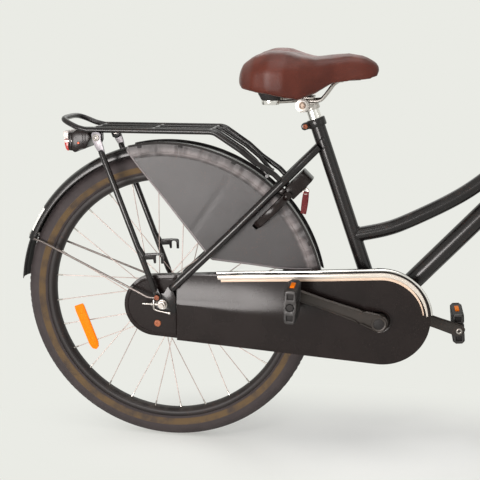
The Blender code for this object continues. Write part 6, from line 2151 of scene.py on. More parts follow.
@dataclass
class CoatGuards:
    """The vinyl sheets on both sides of the rear wheel, with their piping and hems."""

    inner_y: float = 0.0268
    outer_y: float = 0.0280
    radius: float = 0.3220
    start: float = 11.8
    end: float = 103.2
    cell: float = 0.0045

    def outline(self) -> list[Vector]:
        """The sheet's edge, from the rear axle."""
        lower = [
            (0.2966, 0.0765), (0.2650, 0.0747), (0.2329, 0.0749), (0.1530, 0.0824), (0.0953, 0.0876),
            (0.0862, 0.0940), (0.0777, 0.1070),
        ]
        back = [(0.0777 - 0.1144 * share, 0.1070 + 0.1448 * share) for share in (0.25, 0.5, 0.75)]
        back += [(-0.0367, 0.2518), (-0.0585, 0.2790), (-0.0765, 0.3040)]
        round_edge = arc((0, 0, 0), self.radius, self.end, self.start, 60)
        return [Vector(pair) for pair in lower + back] + flat(round_edge)

    def passage(self) -> list[Vector]:
        """The slot that the seat stay's lock bracket passes through."""
        corners = ((-0.053, 0.012), (-0.037, 0.012), (-0.037, 0.0245), (-0.053, 0.0245))
        return flat([stay_point(0.290 + along, ahead) - REAR for along, ahead in corners])

    def ripple(self, place: Vector, side: int) -> Vector:
        """Wrinkles the hem and lets the middle of the sheet belly out a little."""
        local = place - REAR
        distance = math.hypot(local.x, local.z)
        angle = math.atan2(local.z, local.x)
        hem = max(
            0.0, min(1.0, (distance - 0.2955) / 0.006),
        ) * max(0.0, min(1.0, (0.3205 - distance) / 0.004))
        waves = math.sin(angle * 71.0 + 1.3 * math.sin(angle * 13.0)) + 0.6 * math.sin(angle * 117.0 + 2.0)
        slack = math.sin(local.x * 19.0 + 0.6) * math.sin(local.z * 15.0 - 0.4)
        inner = max(0.0, min(1.0, (0.292 - distance) / 0.05))
        crease = math.exp(-(((local.x * 0.83 - local.z * 0.56 + 0.035) / 0.006) ** 2)) * inner
        return place + ACROSS * side * (0.00055 * hem * waves + 0.0010 * slack * inner - 0.0004 * crease)

    def sheet(self, side: Side) -> Shape:
        """One sheet, finely cut so that it can wrinkle."""
        sign = side.value
        shape = side_plate(
            self.outline(), sign * self.inner_y, sign * self.outer_y, (self.passage(),), bevel=0.0,
        )
        shape.slice(AHEAD, -0.08, 0.32, self.cell).slice(UP, 0.08, 0.325, self.cell)
        return shape.bend(lambda place: self.ripple(place, sign))

    def piping(self, side: Side) -> Shape:
        """The dark piping round the sheet's round edge."""
        y = side.value * (self.outer_y + 0.0004)
        return tube(
            arc(rear(0, y, 0), self.radius - 0.0022, self.start + 0.3, self.end - 0.3, 90), 0.0021, 10,
        )

    def hems(self, side: Side) -> Shape:
        """The light grey cords in the hems along the sheet's other edges."""
        y = side.value * (self.inner_y + self.outer_y) / 2
        edge = [rear(point.x, y, point.y) for point in self.outline()[:13]]
        middle = rear(0.12, y, 0.18)
        edge = [point + (middle - point).normalized() * 0.0025 for point in edge]
        return tube(bent(edge, 0.006, 3), 0.0020, 10)

    def hooks(self, side: Side) -> Shape:
        """The hooks that hold the sheet's edge to the mudguard."""
        whole = Shape()
        for angle in (24.0, 44.0, 64.0, 84.0, 99.0):
            way = heading(math.radians(angle))
            place = facing(REAR + way * 0.3170 + ACROSS * side.value * 0.0288, (0, side.value, 0), way)
            whole.add(block((-0.0035, -0.0045, -0.0004), (0.0045, 0.0045, 0.0006), 0.0005), place)
        return whole

    def build(self) -> None:
        """Makes the pieces."""
        for side in Side:
            word = side.name.lower()
            placed(f"coat_guard_{word}_sheet", self.sheet(side), VINYL, f"coat_guard_{word}", sharp=60)
            placed(f"coat_guard_{word}_piping", self.piping(side), RUBBER, slot=Slot.VINYL)
            placed(f"coat_guard_{word}_hems", self.hems(side), HEM_CORD)
            placed(f"coat_guard_{word}_hooks", self.hooks(side), RUBBER)


@dataclass
class Carrier:
    """The tubular carrier, its deck and its legs."""

    half: float = 0.0585
    height: float = 0.3465
    tube_radius: float = 0.0053
    front_x: float = 0.1050
    rear_x: float = -0.1460
    leg_y: float = 0.0664
    leg_radius: float = 0.0060
    bars: tuple[float, ...] = (-0.1400, -0.0200, 0.0950)
    bar_radius: float = 0.0035

    def rails(self) -> Shape:
        """The outer tube: from one seat stay round the rear hoop to the other."""
        foot_near = STAY_OFFSET - 0.0076
        z = self.height
        half = [
            stay_point(0.344, foot_near, -0.0420), stay_point(0.344, foot_near - 0.0150, -0.0430),
            rear(0.1830, -0.0500, 0.2900), rear(0.1570, -0.0550, 0.3120), rear(self.front_x, -self.half, z),
        ]
        straight = bent(half + [rear(self.rear_x + 0.10, -self.half, z)], 0.030, 6)
        hoop = curved(
            [
                rear(self.rear_x, -self.half, z), rear(-0.1650, -0.0575, z + 0.0045),
                rear(-0.1850, -0.0535, z + 0.0130), rear(-0.1965, -0.0440, z + 0.0180),
                rear(-0.2010, -0.0250, z + 0.0198), rear(-0.2018, 0.0, z + 0.0200),
            ],
            6,
        )
        path = straight + hoop
        return tube(path + mirrored(path[:-1]), self.tube_radius, 20)

    def rods(self) -> Shape:
        """The two inner rods, the cross bars and the low bar."""
        z = self.height
        whole = Shape()
        for sign in (-1, 1):
            path = bent(
                [
                    rear(self.rear_x + 0.006, sign * 0.0210, z),
                    rear(self.front_x - 0.003, sign * 0.0215, z), rear(0.1560, sign * 0.0240, 0.3120),
                    rear(0.1820, sign * 0.0270, 0.2900), rear(0.2075, sign * 0.0302, 0.2606),
                ],
                0.030, 6,
            )
            whole.add(tube(path, 0.0040, 16))
        for x in self.bars:
            whole.add(rod(rear(x, -self.half, z), rear(x, self.half, z), self.bar_radius, 14))
        return whole.add(rod(rear(0.2065, -0.045, 0.262), rear(0.2065, 0.045, 0.262), self.bar_radius, 14))

    def deck(self) -> Shape:
        """The pressed deck, holed for lightness, and the holder of the rear lamp."""
        top = self.height + 0.0004
        outline = [(-0.142, -0.030), (0.097, -0.030), (0.097, 0.030), (-0.142, 0.030)]
        holes = []
        for middle in (-0.122, -0.094, -0.066, 0.010, 0.038, 0.066):
            holes.append([(middle + 0.009 * math.cos(turn), 0.0065 * math.sin(turn)) for turn in turns(18)])
        place = Matrix.Translation(rear(0, 0, top - 0.0010))
        whole = plate(outline, 0.0020, place, holes, 0.0003)
        holder = block(
            rear(-0.180, -0.018, self.height - 0.0028), rear(-0.138, 0.018, self.height - 0.0013), 0.0004,
        )
        return whole.add(holder)

    def welds(self) -> Shape:
        """The beads where the bars meet the rails."""
        whole = Shape()
        for x in self.bars:
            for sign in (-1, 1):
                start = rear(x, sign * (self.half - 0.02), self.height)
                rail = rear(x, sign * self.half, self.height)
                whole.add(weld(start, (0, sign, 0), self.bar_radius, rail, AHEAD, self.tube_radius))
        return whole

    def leg(self, side: Side) -> Shape:
        """A leg: its tube, foot eye, luggage hook and worn sleeve."""
        y = side.value * self.leg_y
        top, low = rear(-0.1250, y, 0.3305), rear(-0.0140, y, 0.0270)
        way = (low - top).normalized()
        start = top + way * 0.028
        whole = tube(
            [start - way * 0.004, start, low - way * 0.016, low], self.leg_radius, 24, [0.8, 1.0, 1.0, 0.72],
        )
        foot = flat(arc((-0.0100, 0, 0.0160), 0.0080, -160, 20, 12)) + [(-0.0095, 0.0330), (-0.0210, 0.0300)]
        near = side.value * (self.leg_y - self.leg_radius + 0.0003)
        whole.add(side_plate(foot, near, near + side.value * 0.0030, (circle(-0.010, 0.016, 0.0024, 12),)))
        hook = [
            (-0.037, 0.092), (-0.041, 0.104), (-0.0385, 0.1048), (-0.012, 0.107), (0.001, 0.107),
            (0.0042, 0.1055), (0.005, 0.103), (0.005, 0.086), (0.0, 0.086), (-0.0005, 0.1000),
            (-0.0030, 0.1025), (-0.0080, 0.1025), (-0.0105, 0.1000), (-0.0105, 0.086), (-0.0145, 0.086),
            (-0.016, 0.094),
        ]
        whole.add(side_plate(hook, y - 0.0025, y + 0.0025, bevel=0.0009))
        spot = rear(-0.0465, y, 0.1160)
        whole.add(rod(spot, spot + Vector((0.010, 0, -0.016)), 0.0064, 12))
        return whole

    def brackets(self, side: Side) -> tuple[Shape, Shape, Shape, Shape]:
        """The bracket on the rail, the leg's flattened end, its bolt and the foot's bolt."""
        sign = side.value
        outline = [
            (-0.1335, self.height), (-0.1335, 0.3280), (-0.1310, 0.3205), (-0.1240, 0.3180),
            (-0.1165, 0.3205), (-0.1125, 0.3290), (-0.1125, self.height),
        ]
        tab = side_plate(outline, sign * 0.0575, sign * 0.0600, bevel=0.0006)
        pressed = [
            (-0.1345, 0.3385), (-0.1320, 0.3425), (-0.1250, 0.3440), (-0.1180, 0.3425), (-0.1150, 0.3385),
            (-0.1152, 0.3290), (-0.1105, 0.3150), (-0.1085, 0.3040), (-0.1185, 0.3000), (-0.1270, 0.3130),
            (-0.1325, 0.3270),
        ]
        flat_end = side_plate(pressed, sign * 0.0650, sign * 0.0685, bevel=0.0011)
        bolt_place = rear(-0.1250, sign * 0.0684, 0.3325)
        bolt = turned(
            [
                (0.0030, 0.0), (0.0066, 0.0), (0.0070, 0.0008), (0.0062, 0.0020), (0.0040, 0.0026),
                (0.0030, 0.0018),
            ],
            facing(bolt_place, (0, sign, 0)), 32, closed=True,
        )
        bolt.add(dome_bolt(facing(bolt_place, (0, sign, 0)), 0.0022, 0.0016))
        bolt.add(rod(rear(-0.1250, sign * 0.0570, 0.3325), bolt_place, 0.0030, 14))
        bolt.add(nut(facing(rear(-0.1250, sign * 0.0572, 0.3325), (0, -sign, 0)), 0.0098, 0.0034, 0.0026))
        foot_bolt = dome_bolt(facing(rear(-0.0100, sign * 0.0692, 0.0160), (0, sign, 0)), 0.0052, 0.0030)
        return tab, flat_end, bolt, foot_bolt

    def build(self) -> None:
        """Makes the pieces."""
        placed("carrier_outer_tube", self.rails(), PAINT, "carrier_rack")
        placed("carrier_rods", self.rods(), PAINT)
        placed("carrier_deck_pressed", self.deck(), PAINT)
        placed("carrier_weld_beads", self.welds(), DARK_SATIN, slot=Slot.PAINT)
        for side in Side:
            word = side.name.lower()
            placed(f"carrier_leg_{word}_tube", self.leg(side), PAINT, f"carrier_leg_{word}")
            tab, flat_end, bolt, foot_bolt = self.brackets(side)
            placed(f"carrier_bracket_{word}", tab, PAINT)
            placed(f"carrier_leg_end_{word}", flat_end, GREY_METAL)
            placed(f"carrier_bolt_{word}", bolt, STEEL)
            placed(f"carrier_foot_bolt_{word}", foot_bolt, RUST_COAT)


@dataclass
class RearLamp:
    """The lamp under the carrier's rear end."""

    half: float = 0.0320

    def build(self) -> None:
        """Makes the shell, its lenses and a painted highlight bar."""
        outline = [
            (-0.1945, 0.3375), (-0.1845, 0.3385), (-0.1790, 0.3428), (-0.1580, 0.3428), (-0.1527, 0.3350),
            (-0.1470, 0.3285), (-0.1538, 0.3195), (-0.1600, 0.3060), (-0.1680, 0.3055), (-0.1757, 0.3037),
            (-0.1795, 0.2986), (-0.1840, 0.2986), (-0.1870, 0.3015), (-0.1935, 0.3020), (-0.1960, 0.3060),
        ]
        shell = side_plate(outline, -self.half, self.half, bevel=0.0018)
        for x in (-0.1655, -0.1605):
            shell.add(
                block(
                    rear(x, -self.half - 0.0008, 0.3080), rear(x + 0.0022, self.half + 0.0008, 0.3400),
                    0.0006,
                ),
            )
        shell.add(
            block(
                rear(-0.1925, -self.half - 0.0010, 0.3040), rear(-0.1880, self.half + 0.0010, 0.3360), 0.0012,
            ),
        )
        placed("rear_lamp_shell", shell, PLASTIC, "rear_lamp")
        red = [
            (-0.1950, 0.3010), (-0.1985, 0.3012), (-0.2015, 0.3060), (-0.2034, 0.3140), (-0.2042, 0.3245),
            (-0.1950, 0.3245),
        ]
        lens = side_plate(red, -0.0300, 0.0300, bevel=0.0014)
        placed("rear_lamp_red_lens", lens, RED_LENS, "rear_lamp_lens")
        pale = [
            (-0.1950, 0.3250), (-0.2042, 0.3250), (-0.2056, 0.3330), (-0.2050, 0.3405), (-0.1950, 0.3405),
        ]
        clear = side_plate(pale, -0.0300, 0.0300, bevel=0.0014)
        # The pale bar across the lamp's side is a painted highlight: a white reflection made as a strip in
        # the clear lens's finish.
        clear.add(block(rear(-0.2030, -0.0326, 0.3185), rear(-0.1872, 0.0326, 0.3235), 0.0012))
        placed("rear_lamp_clear_lens", clear, CLEAR_LENS)
        dots = Shape()
        for sign in (-1, 1):
            profile = [(0.0, -0.0004), (0.0023, -0.0004), (0.0023, 0.0010), (0.0017, 0.0015), (0.0, 0.0018)]
            dots.add(turned(profile, facing(rear(-0.1735, sign * self.half, 0.3175), (0, sign, 0)), 24))
        placed("rear_lamp_side_dots", dots, AMBER_DOT)


@dataclass
class RingLock:
    """The ring lock on the seat stays, with its bolt and its key on a strap."""

    centre: float = 0.2900
    depth: float = 0.0180
    inner: float = 0.0440
    outer: float = 0.0600
    sweep: float = 138.0
    bolt_ring: float = 0.05275
    knob_angle: float = 48.0

    def frame(self, depth: float = 0.0) -> Matrix:
        """Local X runs up the seat stays, Y to the right and Z forwards."""
        turn = Matrix((STAY_AXIS, -ACROSS, STAY_FORWARD)).transposed().to_4x4()
        return Matrix.Translation(stay_point(self.centre, depth)) @ turn

    def ring(self) -> Shape:
        """The ring, open below, with rounded edges."""
        half = 0.0078
        section = [
            (self.inner + 0.0012, half), (self.outer - 0.0030, half), (self.outer - 0.0008, half - 0.0014),
            (self.outer, half - 0.0040), (self.outer, -half + 0.0040), (self.outer - 0.0008, -half + 0.0014),
            (self.outer - 0.0030, -half), (self.inner + 0.0012, -half), (self.inner, -half + 0.0014),
            (self.inner, half - 0.0014),
        ]
        place = self.frame(self.depth) @ Matrix.Rotation(math.radians(-self.sweep), 4, "Z")
        return turned(section, place, 72, 2 * self.sweep, closed=True)

    def body(self) -> Shape:
        """The lock's housing with its ribbed lever cover, and the pads on the stays."""
        place = self.frame()
        whole = Shape()
        outline = [
            (0.0440, -0.0360), (0.0470, -0.0385), (0.0860, -0.0330), (0.0945, -0.0240), (0.0965, -0.0100),
            (0.0965, 0.0100), (0.0945, 0.0240), (0.0860, 0.0330), (0.0470, 0.0385), (0.0440, 0.0360),
        ]
        shell = plate(outline, 0.0270, Matrix.Translation((0, 0, 0.0180)), bevel=0.0034)
        whole.add(shell, place)
        for sign in (-1, 1):
            whole.add(block((0.0360, sign * 0.0370, 0.0005), (0.0480, sign * 0.0450, 0.0090), 0.0016), place)
        for index in range(6):
            x = 0.0560 + index * 0.0052
            whole.add(block((x, -0.0392, 0.0080), (x + 0.0028, -0.0250, 0.0280), 0.0008), place)
        lock_face = [(0.0, 0.0322), (0.0090, 0.0322), (0.0105, 0.0312), (0.0105, 0.0300), (0.0, 0.0300)]
        whole.add(turned(lock_face, place @ Matrix.Translation((0.0720, 0.0270, 0.0)), 32))
        return whole

    def bolt(self) -> tuple[Shape, Shape]:
        """The round bolt in the ring, its stem, and the knob."""
        place = self.frame(self.depth)
        path = []
        for step in range(50):
            turn = math.radians(-10.0 + 153.0 * step / 49)
            path.append(place @ (Vector((math.cos(turn), math.sin(turn), 0.0)) * self.bolt_ring))
        shares = [1.0] * 47 + [0.96, 0.8, 0.5]
        bar = tube(path, 0.0036, 16, shares)
        turn = math.radians(self.knob_angle)
        ray = Vector((math.cos(turn), math.sin(turn), 0.0))
        bar.add(rod(place @ (ray * 0.0530), place @ (ray * 0.0660), 0.0030, 16))
        profile = [
            (0.0, 0.0630), (0.0062, 0.0630), (0.0075, 0.0640), (0.0075, 0.0700), (0.0060, 0.0716),
            (0.0, 0.0720),
        ]
        knob = turned(profile, facing(place @ Vector((0, 0, 0)), place.to_3x3() @ ray), 32)
        return bar, knob

    def key(self) -> tuple[Shape, Shape]:
        """The key's bow with its blade, and the two turns of strap that hang from it."""
        place = self.frame() @ Matrix.Translation((0.0720, 0.0270, 0.0))
        stood = place @ Matrix.Translation((0, 0, 0.0366)) @ Matrix.Rotation(math.pi / 2, 4, "X")
        bow = plate(circle(0, 0, 0.0070, 24), 0.0022, stood, (circle(0, 0, 0.0026, 14),), 0.0006)
        bow.add(block((-0.0022, -0.0010, 0.0290), (0.0022, 0.0010, 0.0330), 0.0003), place)
        hang = place @ Vector((0, 0, 0.0380))
        strap = Shape()
        for offset, sway in ((-0.0011, 0.0022), (0.0011, -0.0014)):
            rows = []
            for step in range(13):
                share = step / 12
                sideways = -0.0050 * share + sway * 0.5 * math.sin(share * 3.0)
                rows.append(
                    hang + Vector((sideways, offset + sway * math.sin(share * 4.0), -0.0430 * share)),
                )
            for start, end in zip(rows, rows[1:]):
                way = end - start
                strap.add(
                    block((-0.0055, -0.0008, -0.0003), (0.0055, 0.0008, way.length + 0.0003), 0.0004),
                    facing(start, way, (1, 0, 0)),
                )
        strap.add(
            block(
                hang + Vector((-0.0066, -0.0024, -0.0150)), hang + Vector((0.0046, 0.0024, -0.0105)), 0.0006,
            ),
        )
        return bow, strap

    def build(self) -> None:
        """Makes the pieces."""
        placed("ring_lock_ring", self.ring(), PLASTIC, "ring_lock", sharp=30)
        placed("ring_lock_housing", self.body(), PLASTIC)
        bar, knob = self.bolt()
        placed("ring_lock_bolt_bar", bar, STEEL, "ring_lock_bolt", body=Body.LOCK_BOLT)
        placed("ring_lock_knob", knob, PLASTIC, body=Body.LOCK_BOLT)
        bow, strap = self.key()
        placed("lock_key_bow", bow, STEEL, "lock_key")
        placed("lock_key_strap", strap, RED_STRAP)


@dataclass
class Kickstand:
    """The side stand and its clamp on the left chainstay."""

    length: float = 0.2500

    def build(self) -> None:
        """Makes the clamp, the bolt and the leg."""
        middle = rear(0.1400, 0.0610, -0.0400)
        axis = Vector((0.0, 0.927, 0.375)).normalized()
        clamp = joined(
            block(rear(0.1280, 0.0325, -0.0470), rear(0.1520, 0.0505, -0.0145), 0.0016),
            block(rear(0.1280, 0.0325, -0.0160), rear(0.1520, 0.0352, 0.0060), 0.0008),
            block(rear(0.1280, 0.0325, 0.0032), rear(0.1520, 0.0500, 0.0070), 0.0010),
            rod(middle - axis * 0.0240, middle - axis * 0.0073, 0.0090, 32),
        )
        placed("kickstand_clamp", clamp, DARK_SATIN, "kickstand_bracket")
        bolt = joined(
            rod(middle - axis * 0.0200, middle + axis * 0.0085, 0.0040, 24),
            dome_bolt(facing(middle + axis * 0.0072, axis), 0.0070, 0.0026),
            dome_bolt(facing(rear(0.1400, 0.0420, 0.0070), UP), 0.0052, 0.0030),
        )
        placed("kickstand_bolts", bolt, STEEL)
        tip = middle - Vector((self.length, 0, 0))
        hub = turned(
            [
                (0.0043, -0.0070), (0.0082, -0.0070), (0.0090, -0.0062), (0.0090, 0.0062), (0.0082, 0.0070),
                (0.0043, 0.0070),
            ],
            facing(middle, axis), 36, closed=True,
        )
        shares = [1.15, 1.0, 1.0, 0.95]
        leg = tube(
            [
                middle - Vector((0.0065, 0, 0)), middle - Vector((0.03, 0, 0)), tip + Vector((0.030, 0, 0)),
                tip + Vector((0.004, 0, 0)),
            ],
            0.0055, 20, shares,
        )
        placed("kickstand_leg_tube", joined(hub, leg), PAINT, "kickstand_leg", body=Body.KICKSTAND)
        profile = [(0.0, 0.0), (0.0060, 0.0), (0.0075, 0.0020)]
        for index in range(6):
            profile += [(0.0075, 0.0040 + index * 0.0036), (0.0068, 0.0052 + index * 0.0036)]
        profile += [(0.0066, 0.0290), (0.0056, 0.0300), (0.0, 0.0300)]
        placed("kickstand_foot", turned(profile, facing(tip, (1, 0, 0)), 32), RUBBER, body=Body.KICKSTAND)


@dataclass
class Saddle:
    """The padded saddle, its underside, its elastomers and rails, and the seat post with its clamp."""

    clamp: tuple[float, float] = (0.2715, 0.3965)
    cell: float = 0.0042
    pressure: float = 4.0
    start_scale: float = 0.95
    roll: float = math.radians(2.6)
    sections: tuple[tuple[float, ...], ...] = (
        (0.144, 0.042, 0.456, 0.458, 0.444, 0.431, 0.433),
        (0.152, 0.064, 0.474, 0.478, 0.452, 0.4275, 0.433),
        (0.176, 0.091, 0.484, 0.495, 0.461, 0.4250, 0.433),
        (0.205, 0.102, 0.489, 0.504, 0.465, 0.4220, 0.433),
        (0.235, 0.100, 0.490, 0.503, 0.465, 0.4150, 0.432),
        (0.262, 0.087, 0.487, 0.493, 0.460, 0.4095, 0.430),
        (0.290, 0.061, 0.487, 0.488, 0.464, 0.4190, 0.430),
        (0.320, 0.040, 0.493, 0.491, 0.470, 0.4370, 0.445),
        (0.350, 0.033, 0.4960, 0.494, 0.474, 0.4415, 0.450),
        (0.380, 0.028, 0.491, 0.488, 0.470, 0.4430, 0.452),
        (0.399, 0.021, 0.480, 0.478, 0.463, 0.4465, 0.454),
        (0.407, 0.013, 0.470, 0.469, 0.461, 0.4520, 0.456),
    )

    def ring(self, section: tuple[float, ...]) -> list[Vector]:
        """One cross section's points: over the top from the middle of the seat and back underneath."""
        x, half, centre, hump, side, low, under = section
        hump_width = 0.48 if x < 0.28 else 0.30
        pairs = [
            (0.0, centre), (0.24, centre + (hump - centre) * 0.45), (hump_width, hump),
            (0.70, hump - (hump - side) * 0.12), (0.88, hump - (hump - side) * 0.45),
            (0.975, side + (hump - side) * 0.22), (1.0, side), (0.99, (side + low) / 2), (0.96, low + 0.003),
            (0.88, low), (0.72, low + 0.002), (0.50, min(under, low + 0.006)),
            (0.25, min(under, low + 0.008)), (0.0, min(under, low + 0.008)),
        ]
        half_ring = [rear(x, -half * share, z) for share, z in pairs]
        return half_ring + [Vector((p.x, -p.y, p.z)) for p in reversed(half_ring[1:-1])]

    def skin(self) -> Shape:
        """The closed shell of the cushion before it is blown up."""
        return lofted([self.ring(section) for section in self.sections], closed=True)

    def pinned(self, place: Vector) -> bool:
        """Whether the cloth is fixed here: the rolled lower edge and the underside."""
        local = place - REAR
        rows = self.sections
        for first, second in zip(rows, rows[1:]):
            if first[0] <= local.x <= second[0]:
                share = (local.x - first[0]) / (second[0] - first[0])
                low = first[5] + (second[5] - first[5]) * share
                return local.z < low + 0.016
        return True

    def cushion(self) -> bpy.types.Object:
        """Blows the leather cover up as cloth and freezes it."""
        shape = self.skin()
        middle_point = rear(0.270, 0.0, 0.430)
        fitted = Matrix.Translation(middle_point + Vector((0.0065, 0.0, 0.0010)))
        fitted = fitted @ Matrix.Diagonal(
            (0.998, 0.985, self.start_scale, 1.0),
        ) @ Matrix.Translation(-middle_point)
        shape.moved(fitted)
        mesh = bpy.data.meshes.new("saddle_cushion")
        shape.mesh.to_mesh(mesh)
        cushion = bpy.data.objects.new("saddle_cushion", mesh)
        bpy.context.scene.collection.objects.link(cushion)
        remesh = cushion.modifiers.new("Remesh", "REMESH")
        remesh.mode = "VOXEL"
        remesh.voxel_size = self.cell
        self.apply(cushion)
        smooth = cushion.modifiers.new("Smooth", "SMOOTH")
        smooth.factor = 0.5
        smooth.iterations = 9
        self.apply(cushion)
        self.blow(cushion)
        turn = Matrix.Translation(rear(0.27, 0, 0.45)) @ Matrix.Rotation(self.roll, 4, "X")
        cushion.data.transform(turn @ Matrix.Translation(-rear(0.27, 0, 0.45)))
        relax = cushion.modifiers.new("Relax", "SMOOTH")
        relax.factor = 0.5
        relax.iterations = 2
        finer = cushion.modifiers.new("Finer", "SUBSURF")
        finer.levels = 1
        finer.render_levels = 1
        self.apply(cushion)
        return cushion

    def apply(self, piece: bpy.types.Object) -> None:
        """Turns the piece's evaluated mesh into its own mesh and drops its modifiers."""
        graph = bpy.context.evaluated_depsgraph_get()
        frozen = bpy.data.meshes.new_from_object(piece.evaluated_get(graph))
        piece.modifiers.clear()
        piece.data = frozen

    def blow(self, cushion: bpy.types.Object) -> None:
        """Runs the cloth with pressure inside, pinned along its lower edge."""
        group = cushion.vertex_groups.new(name="pinned")
        group.add([vert.index for vert in cushion.data.vertices if self.pinned(vert.co)], 1.0, "REPLACE")
        cloth = cushion.modifiers.new("Cloth", "CLOTH")
        settings = cloth.settings
        settings.vertex_group_mass = "pinned"
        settings.use_pressure = True
        settings.uniform_pressure_force = self.pressure
        settings.effector_weights.gravity = 0.0
        settings.quality = 6
        settings.mass = 0.3
        settings.tension_stiffness = 40.0
        settings.compression_stiffness = 40.0
        settings.shear_stiffness = 20.0
        settings.bending_stiffness = 1.5
        cloth.collision_settings.use_collision = False
        cloth.point_cache.frame_start = 1
        cloth.point_cache.frame_end = 20
        before = max(vert.co.z for vert in cushion.data.vertices)
        for number in range(1, 21):
            bpy.context.scene.frame_set(number)
        self.apply(cushion)
        bpy.context.scene.frame_set(1)
        after = max(vert.co.z for vert in cushion.data.vertices)
        LOG.info("saddle cover rose by %.1f mm", (after - before) * 1000)

    def pan(self) -> Shape:
        """The base pan with its stiffening ribs, seen from below."""
        drops = (
            (-0.80, 0.0035), (-0.72, 0.0005), (-0.40, 0.0010), (0.0, 0.0006), (0.40, 0.0010), (0.72, 0.0005),
            (0.80, 0.0035),
        )
        rows = []
        for x, half, *_, low, under in self.sections[2:-2]:
            rows.append([rear(x, half * share, min(under, low + 0.006) - drop) for share, drop in drops])
        shape = lofted(rows)
        bmesh.ops.solidify(shape.mesh, geom=shape.mesh.faces[:], thickness=0.0022)
        for y in (-0.052, -0.026, 0.0, 0.026, 0.052):
            reach = 0.268 if abs(y) > 0.04 else 0.300
            shape.add(block(rear(0.168, y - 0.0010, 0.4270), rear(reach, y + 0.0010, 0.4325), 0.0004))
        for x in (0.180, 0.240, 0.262):
            shape.add(block(rear(x - 0.0010, -0.062, 0.4275), rear(x + 0.0010, 0.062, 0.4325), 0.0004))
        return shape

    def suspension(self) -> tuple[Shape, Shape]:
        """The elastomers and the cups that hold them."""
        profile = [
            (0.0, 0.4325), (0.0190, 0.4325), (0.0215, 0.4305), (0.0240, 0.4270), (0.0245, 0.4220),
            (0.0235, 0.4180), (0.0205, 0.4130), (0.0180, 0.4080), (0.0, 0.4080),
        ]
        cup = [
            (0.0, 0.3985), (0.0150, 0.3985), (0.0168, 0.3992), (0.0175, 0.4010), (0.0175, 0.4068),
            (0.0165, 0.4078), (0.0, 0.4078),
        ]
        rubber, cups = Shape(), Shape()
        for sign in (-1, 1):
            place = facing(rear(0.2130, sign * 0.0450, 0.0), UP)
            rubber.add(turned(profile, place, 36))
            cups.add(turned(cup, place, 36))
        return rubber, cups

    def rails(self) -> Shape:
        """The two rails from the cups to the nose, with the nose clip."""
        half = [
            rear(0.2230, -0.0400, 0.4035), rear(0.2480, -0.0300, 0.4045), rear(0.2620, -0.0235, 0.4050),
            rear(0.3000, -0.0220, 0.4050), rear(0.3120, -0.0205, 0.4135), rear(0.3270, -0.0160, 0.4335),
            rear(0.3360, -0.0100, 0.4405), rear(0.3400, 0.0, 0.4420),
        ]
        path = curved(half, 5)
        whole = tube(path + mirrored(path[:-1]), 0.0035, 16)
        clip = [(0.0, 0.4390), (0.0070, 0.4390), (0.0085, 0.4410), (0.0085, 0.4500), (0.0, 0.4500)]
        return whole.add(turned(clip, facing(rear(0.3390, 0.0, 0.0), UP), 28))

    def post(self) -> Shape:
        """The straight seat post with its height marks."""
        top_distance = (self.clamp[1] + 0.001 - (seat_point(0.0) - REAR).z) / SEAT_AXIS.z
        start, end = seat_point(0.2110), seat_point(top_distance)
        whole = tube(
            [start, start.lerp(end, 0.02), start.lerp(end, 0.985), end], 0.0125, 40, [0.93, 1.0, 1.0, 0.94],
        )
        for index in range(4):
            spot = seat_point(0.262 + index * 0.012)
            ring = [(0.01252, -0.0004), (0.01262, 0.0), (0.01252, 0.0004), (0.0120, 0.0)]
            whole.add(turned(ring, facing(spot, SEAT_AXIS), 40, closed=True))
        return whole

    def clamp_parts(self) -> tuple[Shape, Shape]:
        """The clamp: band round the post, ribbed cheeks, plates on the rails, and the through bolt."""
        x, z = self.clamp
        top = seat_point((z - (seat_point(0.0) - REAR).z) / SEAT_AXIS.z)
        band = [
            (0.0127, -0.0110), (0.0150, -0.0105), (0.0154, -0.0090), (0.0154, 0.0020), (0.0150, 0.0030),
            (0.0127, 0.0030),
        ]
        whole = turned(band, facing(top, SEAT_AXIS), 40, closed=True)
        whole.add(block(rear(0.2670, -0.0170, 0.3900), rear(0.2900, 0.0170, 0.4140), 0.0040, 3))
        whole.add(block(rear(0.2640, -0.0310, 0.4088), rear(0.2920, 0.0310, 0.4130), 0.0016))
        middle = Vector(self.clamp)
        washer = []
        for index, turn in enumerate(turns(72)):
            washer.append(Vector((math.cos(turn), math.sin(turn))) * (0.0135 if index % 2 else 0.0126))
        for sign in (-1, 1):
            whole.add(
                block(rear(0.2600, sign * 0.0178, 0.3990), rear(0.2950, sign * 0.0290, 0.4016), 0.0008),
            )
            cheek = [point + middle for point in washer]
            whole.add(side_plate(cheek, sign * 0.0290, sign * 0.0335, bevel=0.0003))
            cheek = [point * 0.86 + middle for point in washer]
            whole.add(side_plate(cheek, sign * 0.0330, sign * 0.0352, bevel=0.0005))
        bolt = rod(rear(x, -0.0380, z), rear(x, 0.0380, z), 0.0040, 20)
        for sign in (-1, 1):
            bolt.add(nut(facing(rear(x, sign * 0.0352, z), (0, sign, 0)), 0.0130, 0.0058, 0.0038))
        return whole, bolt

    def build(self) -> None:
        """Makes the pieces."""
        cushion = self.cushion()
        cushion.data.shade_smooth()
        dressed(cushion, LEATHER, "saddle_cover", body=Body.SADDLE)
        placed("saddle_base_pan", self.pan(), PLASTIC, body=Body.SADDLE)
        rubber, cups = self.suspension()
        nodes = ("saddle_elastomer_right", "saddle_elastomer_left")
        placed("saddle_elastomers", rubber, RUBBER, *nodes, body=Body.SADDLE)
        placed("saddle_elastomer_cups", cups, CHROME, body=Body.SADDLE, slot=Slot.STEEL)
        placed("saddle_rails_bent", self.rails(), STEEL, "saddle_rails", body=Body.SADDLE)
        placed("seat_post_tube", self.post(), CHROME, "seat_post", body=Body.SADDLE)
        clamp, bolt = self.clamp_parts()
        placed("saddle_clamp", clamp, STEEL, body=Body.SADDLE)
        placed("saddle_clamp_bolt", bolt, RUSTY_STEEL, body=Body.SADDLE)


